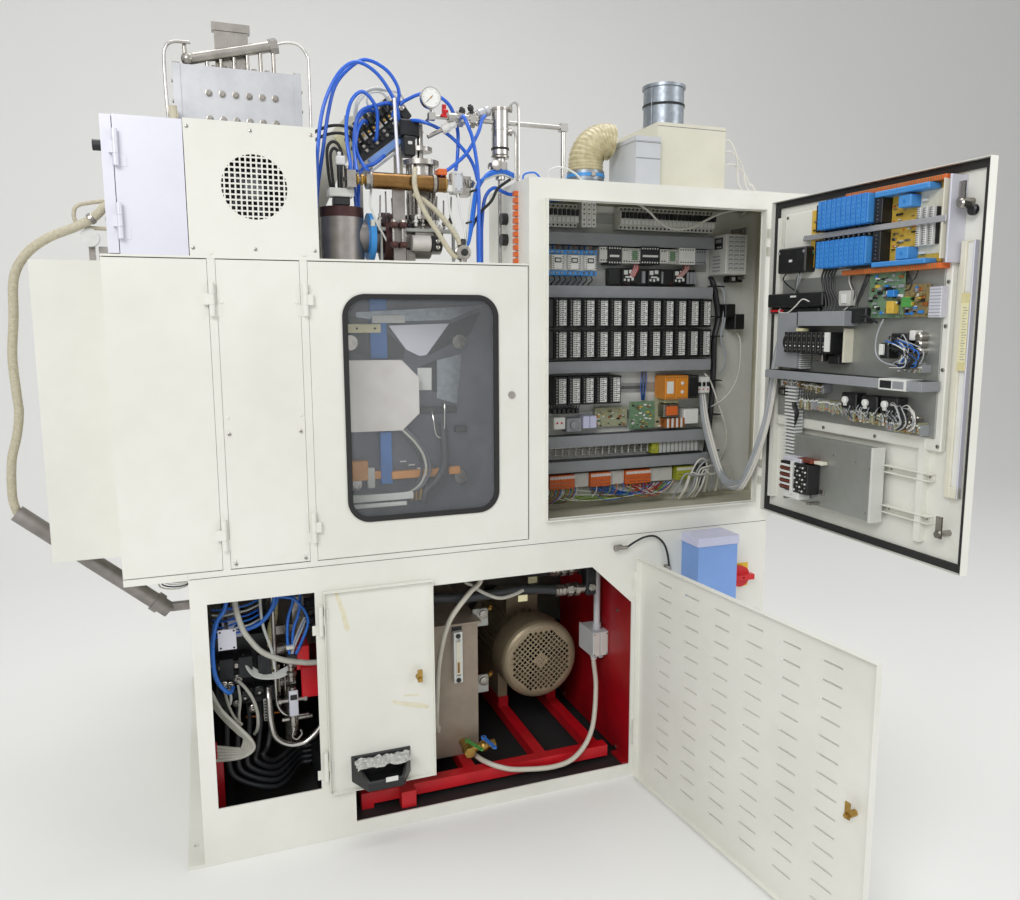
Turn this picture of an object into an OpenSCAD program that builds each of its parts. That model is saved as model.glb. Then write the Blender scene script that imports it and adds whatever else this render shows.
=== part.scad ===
// Extrusion blow moulding machine: a red-framed base with its hydraulics, a guarded mould bay,
// the extruder gear on the roof and a free-standing electrical cabinet with its door open.
// Lengths are millimetres. x runs along the long front, y away from it, z up.

/* [Base] */
// Length of the base along the front
base_l = 2065; // [1900:5:2300]
// Depth of the base
base_d = 1500; // [1300:10:1800]
// Height of the base deck
base_h = 945; // [900:5:1050]
// Thickness of the base sheet
base_t = 5; // [3:0.5:8]
// Height of the bottom rail
rail_h = 45; // [30:1:60]
// Width of the bottom rail
rail_w = 100; // [70:5:140]
// How far the anchor ledges stand out at the ends
ledge_w = 50; // [40:1:70]
// Radius of the anchor holes
anchor_r = 9; // [6:0.5:12]
// Distance of the anchor holes from the ends of the depth
anchor_in = 110; // [80:5:200]

/* [Base openings] */
// Left edge of the left opening
left_bay_x = 48; // [40:1:60]
// Width of the left opening
left_bay_w = 316; // [290:1:330]
// Bottom of the left opening
left_bay_z = 184; // [150:1:220]
// Post between the two openings
bay_post = 109; // [100:1:130]
// Width of the pump bay opening
bay_w = 1015; // [960:5:1040]
// Distance of the openings' tops below the deck
bay_head = 100; // [90:1:130]
// Width of the slanted corner of the pump bay
bay_chamfer_w = 160; // [100:5:220]
// Height of the slanted corner of the pump bay
bay_chamfer_h = 150; // [100:5:220]

/* [Sheet doors] */
// Sheet thickness of the doors
door_t = 2; // [1.5:0.5:3]
// Depth of the doors' folded edges
pan_t = 20; // [15:1:25]
// Radius of the hinge knuckles
knuckle_r = 8; // [6:0.5:10]
// Radius of the hinge pins
pin_r = 4; // [3:0.5:5]
// Running gap between a pin and its knuckle
pin_gap = 0.05; // [0.02:0.01:0.1]
// Length of a hinge
hinge_l = 96; // [80:4:120]
// How far the small door stands open from closed
small_open = 180; // [90:5:180]
// Width of the small door
small_w = 352; // [330:1:360]
// Height of the small door
small_h = 678; // [668:1:690]
// How far the louvred door stands open from closed
louvre_open = 95; // [60:1:110]
// Width of the louvred door
louvred_w = 1046; // [1030:1:1054]
// Gap between the louvred door and the floor
louvred_z = 9; // [5:1:20]
// Columns of louvres
louvre_cols = 6; // [2:1:6]
// Rows of louvres
louvre_rows = 14; // [4:1:14]
// Length of a louvre
louvre_l = 74; // [50:1:90]
// Distance between louvre columns
louvre_px = 148; // [130:1:150]
// Distance between louvre rows
louvre_pz = 53.3; // [40:0.1:54]
// Height of a louvre's slot
louvre_slot = 6; // [4:0.5:8]
// Distance of the first louvre row below the door's top edge
louvre_top = 64; // [50:1:90]
// Least distance of the last louvre row above the door's foot
louvre_foot = 60; // [40:1:75]

/* [Guard] */
// Length of the guard along the front
guard_l = 1260; // [1230:5:1300]
// How far the guard hangs over the base's left end
guard_over = 174; // [150:1:200]
// Depth of the guard
guard_d = 1150; // [1000:10:1250]
// Height of the guard
guard_h = 925; // [900:5:1000]
// Thickness of the guard's sheets
guard_t = 3; // [2:0.5:4]
// Section of the guard's posts
post = 40; // [30:1:50]
// Width of the hinge strips
strip_w = 23; // [20:1:30]
// Distance from the guard's left end to the first strip
left_door_w = 273; // [250:1:300]
// Width of the screwed panel between the strips
panel_w = 234; // [200:1:250]
// Width of the window
window_w = 490; // [440:5:500]
// Height of the window
window_h = 700; // [640:5:720]
// Radius of the window's corners
window_r = 65; // [50:1:90]
// Width of the rubber seal around the window
seal_w = 16; // [12:1:22]
// Thickness of the window pane
pane_t = 5; // [4:0.5:8]
// Width of the end hood
hood_w = 220; // [180:5:240]
// Distance of the end hood behind the front
hood_y = 280; // [200:5:320]
// Depth of the end hood
hood_d = 120; // [80:5:130]

/* [Cabinet] */
// Width of the cabinet
cab_w = 1200; // [1150:5:1200]
// Depth of the cabinet
cab_d = 400; // [380:5:450]
// Height of the cabinet
cab_h = 1200; // [1150:5:1300]
// Sheet thickness of the cabinet
cab_t = 3; // [2:0.5:4]
// Left edge of the door opening, from the cabinet's side
cab_open_x = 61; // [50:1:80]
// Width of the door opening
cab_open_w = 843; // [800:1:860]
// Height of the door opening
cab_open_h = 1062; // [1000:1:1080]
// Height of the door opening above the cabinet's floor
cab_open_z = 67; // [55:1:80]
// How far the cabinet door stands open from closed
cab_door_open = 89; // [60:1:110]
// Depth of the cabinet door's folded edges
cab_pan_t = 25; // [20:1:30]
// Overlap of the cabinet door past its opening
cab_lap = 26; // [24:1:30]
// Pitch of the input and output modules
module_p = 57.2; // [50:0.1:57.5]
// Width of the coupler at the head of a row of modules
coupler_w = 24; // [15:1:26]

/* [Drives] */
// Radius of the pump motor's body
motor_r = 140; // [120:1:150]
// Length of the pump motor's body
motor_l = 360; // [300:5:400]
// Radius of the pump motor's fan cowl
cowl_r = 160; // [150:1:165]
// Depth of the fan cowl
cowl_l = 110; // [90:1:130]
// Side of the square holes in the fan cowl
cowl_hole = 11.5; // [8:0.5:12]
// Pitch of the square holes in the fan cowl
cowl_p = 16; // [14:0.5:20]
// Radius of the solid middle of the fan cowl
cowl_boss_r = 24; // [18:1:30]
// Radius of the clamp unit's tie bars
tie_r = 25; // [20:1:30]
// Half of the opening stroke of the mould platens
platen_stroke = 110; // [60:5:120]
// Side of the square holes of the cover's grille
grille_hole = 10.5; // [8:0.5:12]
// Pitch of the square holes of the cover's grille
grille_p = 15; // [13:0.5:17]
// Radius of the cover's grille
grille_r = 91; // [70:1:100]

/* [Hidden] */

$fn = 48;
cream = "#e6e6de";
red = "#c01822";
steel = "#a9acae";
dark = "#2a2c2e";
rubber = "#161616";
blue = "#1c4fb4";
alu = "#c9cbd6";

// Levels and shared places
gap = 0.5;
running = 0.3;
roof = base_h + guard_h;
cab_top = base_h + cab_h;
guard_x0 = -guard_over;
guard_x1 = guard_x0 + guard_l;
cab_x0 = guard_x1 + 2;
cab_x1 = cab_x0 + cab_w;
bay_x0 = left_bay_x + left_bay_w + bay_post;
bay_x1 = bay_x0 + bay_w;
bay_top = base_h - bay_head - 23;
left_bay_top = base_h - bay_head;
axis_y = -12;
floor_top = rail_h;
cover_x0 = guard_x0 + 230;
cover_x1 = cover_x0 + 360;
filter_x = cab_x0 - 45;
filter_y = 150;
pipe_z = cab_top + 195;
ctl_x1 = cover_x0 - 2;
ctl_x0 = ctl_x1 - 176;
ctl_d = 245;
ctl_h = 370;

module at_frame() translate([-base_l / 2, -base_d / 2, 0]) children();
module block(lo, hi) translate(lo) cube([hi[0] - lo[0], hi[1] - lo[1], hi[2] - lo[2]]);
// A flat outline in x and z, made solid from y to y + t
module wall_xz(y, t) translate([0, y + t, 0]) rotate([90, 0, 0]) linear_extrude(t) children();
// A flat outline in y and z, made solid from x to x + t
module wall_yz(x, t) translate([x, 0, 0]) rotate([90, 0, 90]) linear_extrude(t) children();
module rod_x(p, r, l) translate(p) rotate([0, 90, 0]) cylinder(r = r, h = l);
module rod_y(p, r, l) translate(p) rotate([-90, 0, 0]) cylinder(r = r, h = l);
module rod_z(p, r, l) translate(p) cylinder(r = r, h = l);
module hex_z(p, af, l) translate(p) cylinder(r = af / sqrt(3), h = l, $fn = 6);
module hex_y(p, af, l) translate(p) rotate([-90, 0, 0]) cylinder(r = af / sqrt(3), h = l, $fn = 6);
module hex_x(p, af, l) translate(p) rotate([0, 90, 0]) cylinder(r = af / sqrt(3), h = l, $fn = 6);
// A block where two pipes meet
module elbow(p, r) translate([p[0] - r, p[1] - r, p[2] - r]) cube(2 * r);
// Turns a closed door about its upright axis
module swung(x, y, angle) translate([x, y, 0]) rotate(angle) translate([-x, -y, 0]) children();

// A swept tube: one ring of sides for each point, square to the route, carried along without twist
function unit(v) = v / norm(v);
function turn_at(p, i) = unit(p[min(i + 1, len(p) - 1)] - p[max(i - 1, 0)]);
function first_side(t) = abs(t[2]) > 0.9 ? unit(cross(t, [0, 1, 0])) : unit(cross(t, [0, 0, 1]));
function square_to(a, t) = unit(a - (a * t) * t);
function sides_along(p, i, a) = let(s = square_to(a, turn_at(p, i)))
    i == len(p) - 1 ? [s] : concat([s], sides_along(p, i + 1, s));
function ring_at(p, i, a, r, n) = let(b = cross(turn_at(p, i), a))
    [for (k = [0 : n - 1]) p[i] + r * (a * cos(360 * k / n) + b * sin(360 * k / n))];
module tube(p, r, n = 8) {
    last = len(p) - 1;
    first = sides_along(p, 0, first_side(turn_at(p, 0)));
    rings = [for (i = [0 : last]) each ring_at(p, i, first[i], r, n)];
    sides = [for (i = [0 : last - 1]) each [for (k = [0 : n - 1])
        [i * n + k, (i + 1) * n + k, (i + 1) * n + (k + 1) % n, i * n + (k + 1) % n]]];
    polyhedron(rings, concat([[for (k = [0 : n - 1]) k]], sides,
        [[for (k = [0 : n - 1]) last * n + n - 1 - k]]));
}
// Points of a smooth curve through a route chosen by hand
function smooth(p, n = 3) = concat([for (i = [0 : len(p) - 2]) each [for (k = [0 : n - 1])
    let(u = k / n, a = p[max(i - 1, 0)], b = p[i], c = p[i + 1], d = p[min(i + 2, len(p) - 1)])
    0.5 * (2 * b + (c - a) * u + (2 * a - 5 * b + 4 * c - d) * u * u
        + (3 * b - a - 3 * c + d) * u * u * u)]], [p[len(p) - 1]]);

// Hinges: the fixed half holds the pin and two knuckles, the moving half one knuckle
module hinge_fixed(x, y, z, seat_y, side) {
    third = hinge_l / 3;
    rod_z([x, y, z], pin_r, hinge_l);
    for (k = [0, 2]) {
        rod_z([x, y, z + k * third], knuckle_r, third - gap);
        block([x - 4, y, z + k * third], [x + 4, seat_y, z + (k + 1) * third - gap]);
    }
    block([min(x, x + side * 26), seat_y - 1.5, z], [max(x, x + side * 26), seat_y, z + third - gap]);
}
module hinge_moving(x, y, z, reach) {
    third = hinge_l / 3;
    difference() {
        union() {
            rod_z([x, y, z + third], knuckle_r, third - gap);
            block([min(x, x + reach), y - 5, z + third], [max(x, x + reach), y + 1, z + 2 * third - gap]);
        }
        rod_z([x, y, z], pin_r + pin_gap, hinge_l);
    }
}
// A folded sheet door: skin at y, folded edges t deep behind it
module pan(x0, x1, y, z0, z1, t) difference() {
    block([x0, y, z0], [x1, y + t, z1]);
    block([x0 + door_t, y + door_t, z0 + door_t], [x1 - door_t, y + t + 1, z1 - door_t]);
}
// A quarter-turn lock: barrel through the skin and a tongue that reaches past the sheet behind
module cam_lock(x, y, z, throw, reach) translate([x, y, z]) {
    rod_y([0, -5, 0], 11, 5);
    rod_y([0, 0, 0], lock_r, throw);
    block([-8, throw, -10], [8, throw + 4, reach]);
    hex_y([0, throw + 4, 0], 13, 6);
}
lock_r = 9;

// Base
function bay_outline() = [[bay_x0, rail_h], [bay_x1, rail_h], [bay_x1, bay_top - bay_chamfer_h],
    [bay_x1 - bay_chamfer_w, bay_top], [bay_x0, bay_top]];
small_axis = left_bay_x + left_bay_w + 15;
small_z = left_bay_top - small_h;
louvred_axis = bay_x1 + 12;
louvred_h = left_bay_top - louvred_z;
small_hinges = [small_z + 50, small_z + small_h - 140];
louvred_hinges = [louvred_z + 120, louvred_z + louvred_h - 150];
anchor_x = base_l / 2 + ledge_w / 2;
anchor_y = base_d / 2 - anchor_in;
screw_r = 6;

module base_body() at_frame() color(cream) {
    difference() {
        union() {
            wall_xz(0, base_t) square([base_l, base_h]);
            wall_xz(base_d - base_t, base_t) square([base_l, base_h]);
            wall_yz(0, base_t) square([base_d, base_h]);
            wall_yz(base_l - base_t, base_t) square([base_d, base_h]);
            block([0, 0, base_h - 8], [base_l, base_d, base_h]);
            linear_extrude(rail_h) difference() {
                square([base_l, base_d]);
                translate([rail_w, rail_w]) square([base_l - 2 * rail_w, base_d - 2 * rail_w]);
            }
            block([-ledge_w, 0, 0], [base_l + ledge_w, base_d, 10]);
        }
        wall_xz(-1, base_t + 2) polygon(bay_outline());
        wall_xz(-1, base_t + 2) translate([left_bay_x, left_bay_z])
            square([left_bay_w, left_bay_top - left_bay_z]);
        block([rail_w, rail_w, -1], [base_l - rail_w, base_d - rail_w, 11]);
        for (sx = [-1, 1], sy = [-1, 1])
            rod_z([base_l / 2 + sx * anchor_x, base_d / 2 + sy * anchor_y, -1], anchor_r, 12);
    }
    for (z = small_hinges) hinge_fixed(small_axis, axis_y, z, 0, -1);
    for (z = louvred_hinges) hinge_fixed(louvred_axis, axis_y, z, 0, 1);
}

sub_x0 = bay_x0 + 27;
sub_x1 = bay_x1 - 273;
sub_z0 = 60;
sub_z1 = 102;
tank_x0 = bay_x0 + 90;
tank_x1 = bay_x0 + 487;
tank_y = 190;
tank_d = 620;
tank_h = 500;
motor_x = bay_x1 - 211;
motor_z = 345;
cowl_y = 350;
motor_y = cowl_y + cowl_l + 10;
module red_subframe() at_frame() color(red) difference() {
    union() {
        for (y = [60, 860]) block([sub_x0, y, sub_z0], [bay_x1 - 60, y + 42, sub_z1]);
        for (x = [sub_x0, tank_x0 + 40, tank_x1 - 85, motor_x - 128, motor_x + 86])
            block([x, 60, sub_z0], [x + 42, 902, sub_z1]);
        block([sub_x0, 60, floor_top], [sub_x0 + 42, rail_w, sub_z0]);
        block([sub_x0 + 130, 20, floor_top], [sub_x0 + 180, 62, sub_z1]);
        for (x = [sub_x0, bay_x1 - 102]) block([x, base_d - rail_w, floor_top], [x + 42, base_d - 20, sub_z0 + 20]);
        for (x = [sub_x0, bay_x1 - 102]) block([x, 860, sub_z0], [x + 42, base_d - 20, sub_z1]);
        for (sx = [-1, 1]) block([motor_x + sx * 107 - 21, motor_y + 30, sub_z1],
            [motor_x + sx * 107 + 21, motor_y + 330, sub_z1 + 40]);
    }
    for (sx = [-1, 1], y = [60, 300]) rod_z([motor_x + sx * 107, motor_y + y, sub_z0 - 1], screw_r, 90);
}

conduit_y = 190;
conduit_z = 400;
plate_x = bay_x1 + 4;
module red_partition() at_frame() {
    color(red) {
        block([plate_x, base_t + 3, floor_top], [plate_x + 5, 650, base_h - 8]);
        block([plate_x - 30, base_t + 3, floor_top], [plate_x, rail_w, floor_top + 5]);
    }
    color("#d3d1c6") {
        block([plate_x - 62, conduit_y, conduit_z], [plate_x, conduit_y + 120, conduit_z + 95]);
        block([plate_x - 66, conduit_y - 3, conduit_z - 3], [plate_x - 62, conduit_y + 123, conduit_z + 98]);
        rod_z([plate_x - 30, conduit_y + 40, conduit_z + 95], 16, 22);
        rod_z([plate_x - 30, conduit_y + 40, conduit_z + 117], 12.5, base_h - 8 - conduit_z - 117);
        for (x = [18, 46]) rod_z([plate_x - x, conduit_y + 30, conduit_z - 18], 12, 18);
    }
}

valve_z = 150;
valve_x = tank_x1 - 60;
valve_axes = [valve_x, valve_x + 62];
module oil_tank() at_frame() {
    color("#b8ab98") {
        block([tank_x0, tank_y, sub_z1], [tank_x1, tank_y + tank_d, sub_z1 + tank_h]);
        block([tank_x0 - 12, tank_y - 12, sub_z1 + tank_h], [tank_x1 + 12, tank_y + tank_d + 12, sub_z1 + tank_h + 8]);
        rod_z([tank_x0 + 120, tank_y + 150, sub_z1 + tank_h + 8], 38, 40);
    }
    color("#e8e8e8") difference() {
        block([tank_x1 - 96, tank_y - 22, sub_z1 + 290], [tank_x1 - 64, tank_y, sub_z1 + 480]);
        block([tank_x1 - 88, tank_y - 23, sub_z1 + 315], [tank_x1 - 72, tank_y - 14, sub_z1 + 455]);
    }
    color("#b89a5a") {
        rod_y([valve_x, tank_y - 70, valve_z], 15, 70);
        rod_x([valve_x, tank_y - 55, valve_z], 13, 88);
        hex_y([valve_x, tank_y - 86, valve_z], 36, 16);
        hex_x([valve_x + 88, tank_y - 55, valve_z], 34, 16);
        for (x = valve_axes) {
            translate([x, tank_y - 55, valve_z]) sphere(r = 21);
            rod_z([x, tank_y - 55, valve_z], 5, 36);
        }
    }
}
module valve_lever(x, angle) translate([x, tank_y - 55, valve_z + 28]) rotate([0, 0, angle]) difference() {
    union() {
        rod_z([0, 0, 0], 10, 8);
        block([-7, -84, 2], [7, 0, 6]);
        translate([0, -84, 2]) cylinder(r = 7, h = 4);
    }
    rod_z([0, 0, -1], 5 + pin_gap, 10);
}
module green_lever() at_frame() color("#2f9e3a") valve_lever(valve_axes[0], 20);
module blue_lever() at_frame() color("#2c6fd0") valve_lever(valve_axes[1], 10);

shaft_r = 19;
module pump_motor() at_frame() color("#a6a295") difference() {
    union() {
        rod_y([motor_x, motor_y, motor_z], motor_r - 12, motor_l);
        for (k = [0 : 23]) translate([motor_x, 0, motor_z]) rotate([0, k * 15, 0])
            block([motor_r - 14, motor_y + 18, -3], [motor_r + 6, motor_y + motor_l - 18, 3]);
        for (y = [motor_y, motor_y + motor_l - 16]) rod_y([motor_x, y, motor_z], motor_r + 8, 16);
        for (sx = [-1, 1]) block([motor_x + sx * 107 - 20, motor_y + 40, sub_z1 + 40],
            [motor_x + sx * 107 + 20, motor_y + 320, motor_z - 60]);
        block([motor_x - 70, motor_y + 90, motor_z + motor_r - 20], [motor_x + 70, motor_y + 240, motor_z + motor_r + 60]);
    }
    rod_y([motor_x, motor_y - 1, motor_z], shaft_r + pin_gap, 41);
}
cowl_grille_r = cowl_r - 34;
module motor_cowl() at_frame() color("#b3a483") difference() {
    union() {
        translate([motor_x, cowl_y, motor_z]) rotate([-90, 0, 0]) rotate_extrude() polygon([[0, 0], [cowl_r - 30, 0],
            [cowl_r - 17, 3], [cowl_r - 8, 9], [cowl_r - 2, 18], [cowl_r, 30], [cowl_r, cowl_l + 10],
            [cowl_r - 3, cowl_l + 10], [cowl_r - 3, 31], [cowl_r - 5, 20], [cowl_r - 11, 11.5], [cowl_r - 19, 6],
            [cowl_r - 30, 3], [0, 3]]);
        rod_y([motor_x, cowl_y - 2, motor_z], cowl_boss_r - 4, 4);
        translate([motor_x, motor_y, motor_z]) rotate([-90, 0, 0])
            difference() {
                cylinder(r = cowl_r, h = 8);
                translate([0, 0, -1]) cylinder(r = motor_r + 8, h = 10);
            }
    }
    wall_xz(cowl_y - 1, 5) translate([motor_x, motor_z]) rotate(45) for (i = [-8 : 8], k = [-8 : 8]) {
        away = norm([i, k]) * cowl_p;
        if (away > cowl_boss_r + 6 && away < cowl_grille_r - 3)
            translate([i * cowl_p, k * cowl_p]) square(cowl_hole, center = true);
    }
    for (a = [0 : 90 : 270]) translate([motor_x, cowl_y - 3, motor_z]) rotate([0, a, 0]) rod_y([11, 0, 0], 2.5, 7);
}
module motor_fan() at_frame() color("#54565a") {
    rod_y([motor_x, cowl_y + 30, motor_z], shaft_r, cowl_l + 18);
    rod_y([motor_x, cowl_y + 34, motor_z], 40, 44);
    for (k = [0 : 6]) translate([motor_x, 0, motor_z]) rotate([0, k * 360 / 7, 0])
        block([30, cowl_y + 38, -3], [cowl_r - 16, cowl_y + 76, 3]);
}
module hydraulic_pump() at_frame() color("#4d5054") {
    y = motor_y + motor_l;
    rod_y([motor_x, y, motor_z], motor_r - 20, 60);
    rod_y([motor_x, y + 60, motor_z], motor_r - 55, 130);
    rod_y([motor_x, y + 190, motor_z], motor_r - 70, 60);
    rod_x([motor_x - motor_r, y + 130, motor_z], 26, motor_r);
    rod_z([motor_x, y + 130, motor_z], 30, motor_r - 20);
}

// Hydraulic and air hoses of the base
manifold_x0 = left_bay_x + 12;
hose_y = 130;
fit_z = bay_top - 60;
fit_x = bay_x1 - bay_chamfer_w - 40;
press_routes = [
    [[small_axis - 21.5, 300, 650], [small_axis - 6, 300, 650], [small_axis + 10, 300, 650], [small_axis + 40, 294, 660], [bay_x0 + 130, 150, 745], [bay_x0 + 420, 135, 720],
        [bay_x0 + 640, 130, 725], [fit_x, hose_y, fit_z - 60]],
    [[small_axis - 21.5, 300, 715], [small_axis - 6, 300, 715], [small_axis + 10, 300, 715], [small_axis + 40, 293, 724], [bay_x0 + 200, 190, 790], [bay_x0 + 460, 190, 790],
        [fit_x, hose_y + 60, fit_z]]];
collect_x = left_bay_x + left_bay_w + 6;
function feed_route(k) = [[manifold_x0 + 28 + 36 * k, 236, 419.5], [manifold_x0 + 28 + 36 * k, 236, 380],
    [manifold_x0 + 28 + 36 * k, 232, 340], [manifold_x0 + 26 + 32 * k, 205, 260], [manifold_x0 + 48 + 22 * k, 178, 180 + 16 * k],
    [left_bay_x + 190, 190 + 8 * k, 115 + 20 * k], [collect_x - 50, 320, 110 + 20 * k], [collect_x - 12, 330, 110 + 20 * k],
    [collect_x - gap, 330, 110 + 20 * k]];
module base_hoses() at_frame() {
    color(rubber) for (r = press_routes) tube(smooth(r, 3), 17);
    color(steel) {
        hex_x([fit_x, hose_y, fit_z - 60], 44, 46);
        hex_x([fit_x, hose_y + 60, fit_z], 44, 46);
        rod_x([fit_x + 46, hose_y, fit_z - 60], 15, 24);
        rod_x([fit_x + 46, hose_y + 60, fit_z], 15, 24);
        block([fit_x + 70, hose_y - 24, fit_z - 84], [fit_x + 110, hose_y + 24, base_h - 8]);
        block([fit_x + 70, hose_y + 36, fit_z - 24], [fit_x + 110, hose_y + 84, base_h - 8]);
    }
    color("#9c9f98") for (k = [0 : 4]) tube(smooth(feed_route(k), 2), 8);
    color(steel) block([collect_x, base_t, 90], [collect_x + 30, 360, 215]);
}

cable_routes = [
    [[plate_x - 46, conduit_y + 30, conduit_z - 18.4], [plate_x - 46, conduit_y + 30, conduit_z - 24],
        [plate_x - 46, conduit_y + 30, conduit_z - 36], [plate_x - 70, 150, 290],
        [plate_x - 120, 80, 165], [plate_x - 200, 42, 95], [plate_x - 290, 38, 72], [plate_x - 430, 40, 88], [990, 50, 108],
        [945, 100, 116], [930, 160, 115], [930, tank_y - 16, 115], [930, tank_y - 7, 115], [930, tank_y - gap, 115]],
    [[945, 100, base_h - 28.5], [945, 100, 890], [945, 100, 790], [900, 98, 745], [825, 96, 650], [789, 96, 515], [779, 96, 380],
        [783, 125, 280], [798, 165, 226], [800, tank_y - 15, 224], [800, tank_y - 7, 224], [800, tank_y - gap, 224]]];
module motor_cables() at_frame() color("#cfc9b8") {
    for (r = cable_routes) tube(smooth(r, 3), 9);
    rod_z([945, 100, base_h - 28], 14, 20);
}

module valve_manifold() at_frame() {
    color(dark) {
        block([manifold_x0, 260, 400], [manifold_x0 + 200, 380, 640]);
        for (k = [0 : 4]) block([manifold_x0 + 14 + 36 * k, 212, 420], [manifold_x0 + 42 + 36 * k, 260, 470]);
        for (k = [0 : 2]) block([manifold_x0 + 14 + 60 * k, 190, 520], [manifold_x0 + 56 + 60 * k, 260, 590]);
        block([manifold_x0 + 20, 380, 380], [manifold_x0 + 180, 420, 660]);
    }
    color(alu) block([manifold_x0 + 30, 250, 640], [manifold_x0 + 90, 400, 700]);
    color(steel) {
        for (z = [440, 560]) rod_x([manifold_x0 + 200, 300, z], 24, 60);
        rod_z([manifold_x0 + 240, 300, floor_top + 175], 20, 205);
        for (x = [30, 150]) block([manifold_x0 + x, 384, 660], [manifold_x0 + x + 30, 414, base_h - 8]);
        block([small_axis - 62, 270, 610], [small_axis - 22, 340, 750]);
        block([manifold_x0 + 200, 320, 605], [small_axis - 62, 334, 635]);
    }
    color(red) block([manifold_x0 + 258, 190, 520], [manifold_x0 + 300, 320, 600]);
}

// Small base door, drawn closed and swung open
small_x1 = small_axis - knuckle_r - 2;
small_x0 = small_x1 - small_w;
lock_x = small_x0 + 52;
small_lock_z = small_z + 353;
lock_throw = pan_t + 2 + base_t + 1;
module small_swung() swung(small_axis, axis_y, small_open) children();
module small_door() at_frame() color(cream) small_swung() {
    difference() {
        union() {
            pan(small_x0, small_x1, -2 - pan_t, small_z, small_z + small_h, pan_t);
            for (z = small_hinges) hinge_moving(small_axis, axis_y, z, -knuckle_r - 4);
        }
        rod_y([lock_x, -3 - pan_t, small_lock_z], lock_r + pin_gap, 6);
        for (z = small_hinges) rod_z([small_axis, axis_y, z - 1], pin_r + pin_gap, hinge_l + 2);
    }
}
module small_door_lock() at_frame() color("#b8922f") small_swung()
    cam_lock(lock_x, -2 - pan_t, small_lock_z, lock_throw, lock_x - left_bay_x + 12);
tray_x0 = small_x0 + 85;
tray_z = left_bay_z + 10;
module door_tray() at_frame() color(dark) small_swung() difference() {
    hull() {
        block([tray_x0, -pan_t, tray_z], [tray_x0 + 196, -pan_t + 4, tray_z + 86]);
        block([tray_x0 + 40, 60, tray_z], [tray_x0 + 156, 64, tray_z + 26]);
    }
    hull() {
        block([tray_x0 + 8, -pan_t + 8, tray_z + 18], [tray_x0 + 188, -pan_t + 10, tray_z + 95]);
        block([tray_x0 + 46, 54, tray_z + 18], [tray_x0 + 150, 58, tray_z + 40]);
    }
}

// Louvred door, drawn closed and swung open
louvred_x1 = louvred_axis - knuckle_r - 2;
louvred_x0 = louvred_x1 - louvred_w;
louvre_x1 = louvred_axis - 124;
louvre_z1 = louvred_z + louvred_h - louvre_top;
louvre_last = min(louvre_rows, floor((louvred_h - louvre_top - louvre_foot) / louvre_pz) + 1) - 1;
hood_h = 7;
module louvred_swung() swung(louvred_axis, axis_y, louvre_open) children();
module louvre_hood() rotate([90, 0, 90]) linear_extrude(louvre_l)
    polygon([[0, 10], [-hood_h, 1], [-hood_h, -louvre_slot], [1 - hood_h, -louvre_slot], [1 - hood_h, 0.5], [0, 8.5]]);
louvred_lock_x = louvred_x0 + 55;
louvred_lock_z = louvred_z + 410;
module louvred_door() at_frame() color(cream) louvred_swung() {
    y = -2 - pan_t;
    difference() {
        union() {
            difference() {
                pan(louvred_x0, louvred_x1, y, louvred_z, louvred_z + louvred_h, pan_t);
                wall_xz(y - 1, 4) for (i = [0 : louvre_cols - 1], k = [0 : louvre_last])
                    translate([louvre_x1 - louvre_l - i * louvre_px, louvre_z1 - k * louvre_pz])
                        square([louvre_l, louvre_slot]);
            }
            for (z = louvred_hinges) hinge_moving(louvred_axis, axis_y, z, -knuckle_r - 4);
            for (i = [0 : louvre_cols - 1], k = [0 : louvre_last])
                translate([louvre_x1 - louvre_l - i * louvre_px, y, louvre_z1 - k * louvre_pz]) louvre_hood();
        }
        rod_y([louvred_lock_x, y - 1, louvred_lock_z], lock_r + pin_gap, 6);
        for (z = louvred_hinges) rod_z([louvred_axis, axis_y, z - 1], pin_r + pin_gap, hinge_l + 2);
    }
}
module louvred_door_lock() at_frame() color("#b8922f") louvred_swung()
    cam_lock(louvred_lock_x, -2 - pan_t, louvred_lock_z, lock_throw, louvred_lock_x - bay_x0 + 10);

// Things on the base's front at the right
blue_w = 165;
isolator_in = 125;
box_to_switch = 82;
isolator_x = base_l - isolator_in;
blue_x = isolator_x - box_to_switch - blue_w;
module blue_box() at_frame() {
    color("#7fa3dc") block([blue_x, -110, base_h - 270], [blue_x + blue_w, 0, base_h - 60]);
    color("#cfcfe6") block([blue_x - 4, -114, base_h - 60], [blue_x + blue_w + 4, 0, base_h - 28]);
}
isolator_z = base_h - 220;
module isolator_plate() at_frame() {
    color("#e8c21c") difference() {
        block([isolator_x - 45, -5, isolator_z - 45], [isolator_x + 45, 0, isolator_z + 45]);
        rod_y([isolator_x, -6, isolator_z], 9 + pin_gap, 4);
    }
}
module isolator_knob() at_frame() color("#d21a1a") difference() {
    union() {
        rod_y([isolator_x, -24, isolator_z], 40, 18);
        rod_y([isolator_x, -7, isolator_z], 9, 4);
        block([isolator_x - 48, -44, isolator_z - 10], [isolator_x + 48, -22, isolator_z + 10]);
    }
    rod_y([isolator_x, -45, isolator_z], 4, 8);
}
probe_x = blue_x - 65;
probe_z = base_h - 145;
probe_route = [for (p = [[-173, 87], [-138, 105], [-98, 118], [-58, 115], [-23, 85], [-6, 40], [0, 0]])
    [probe_x + p[0], -20, probe_z + p[1]]];
module probe_cable() at_frame() {
    color(rubber) tube(smooth(probe_route, 3), 4);
    color(steel) {
        rod_x([probe_x - 210, -20, probe_z + 87], 7, 37);
        hex_x([probe_x - 223, -20, probe_z + 87], 20, 13);
        block([probe_x - 204, -13.3, probe_z + 80], [probe_x - 188, 0, probe_z + 94]);
        block([probe_x - 10, -20, probe_z - 20], [probe_x + 10, 0, probe_z]);
    }
}

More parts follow.
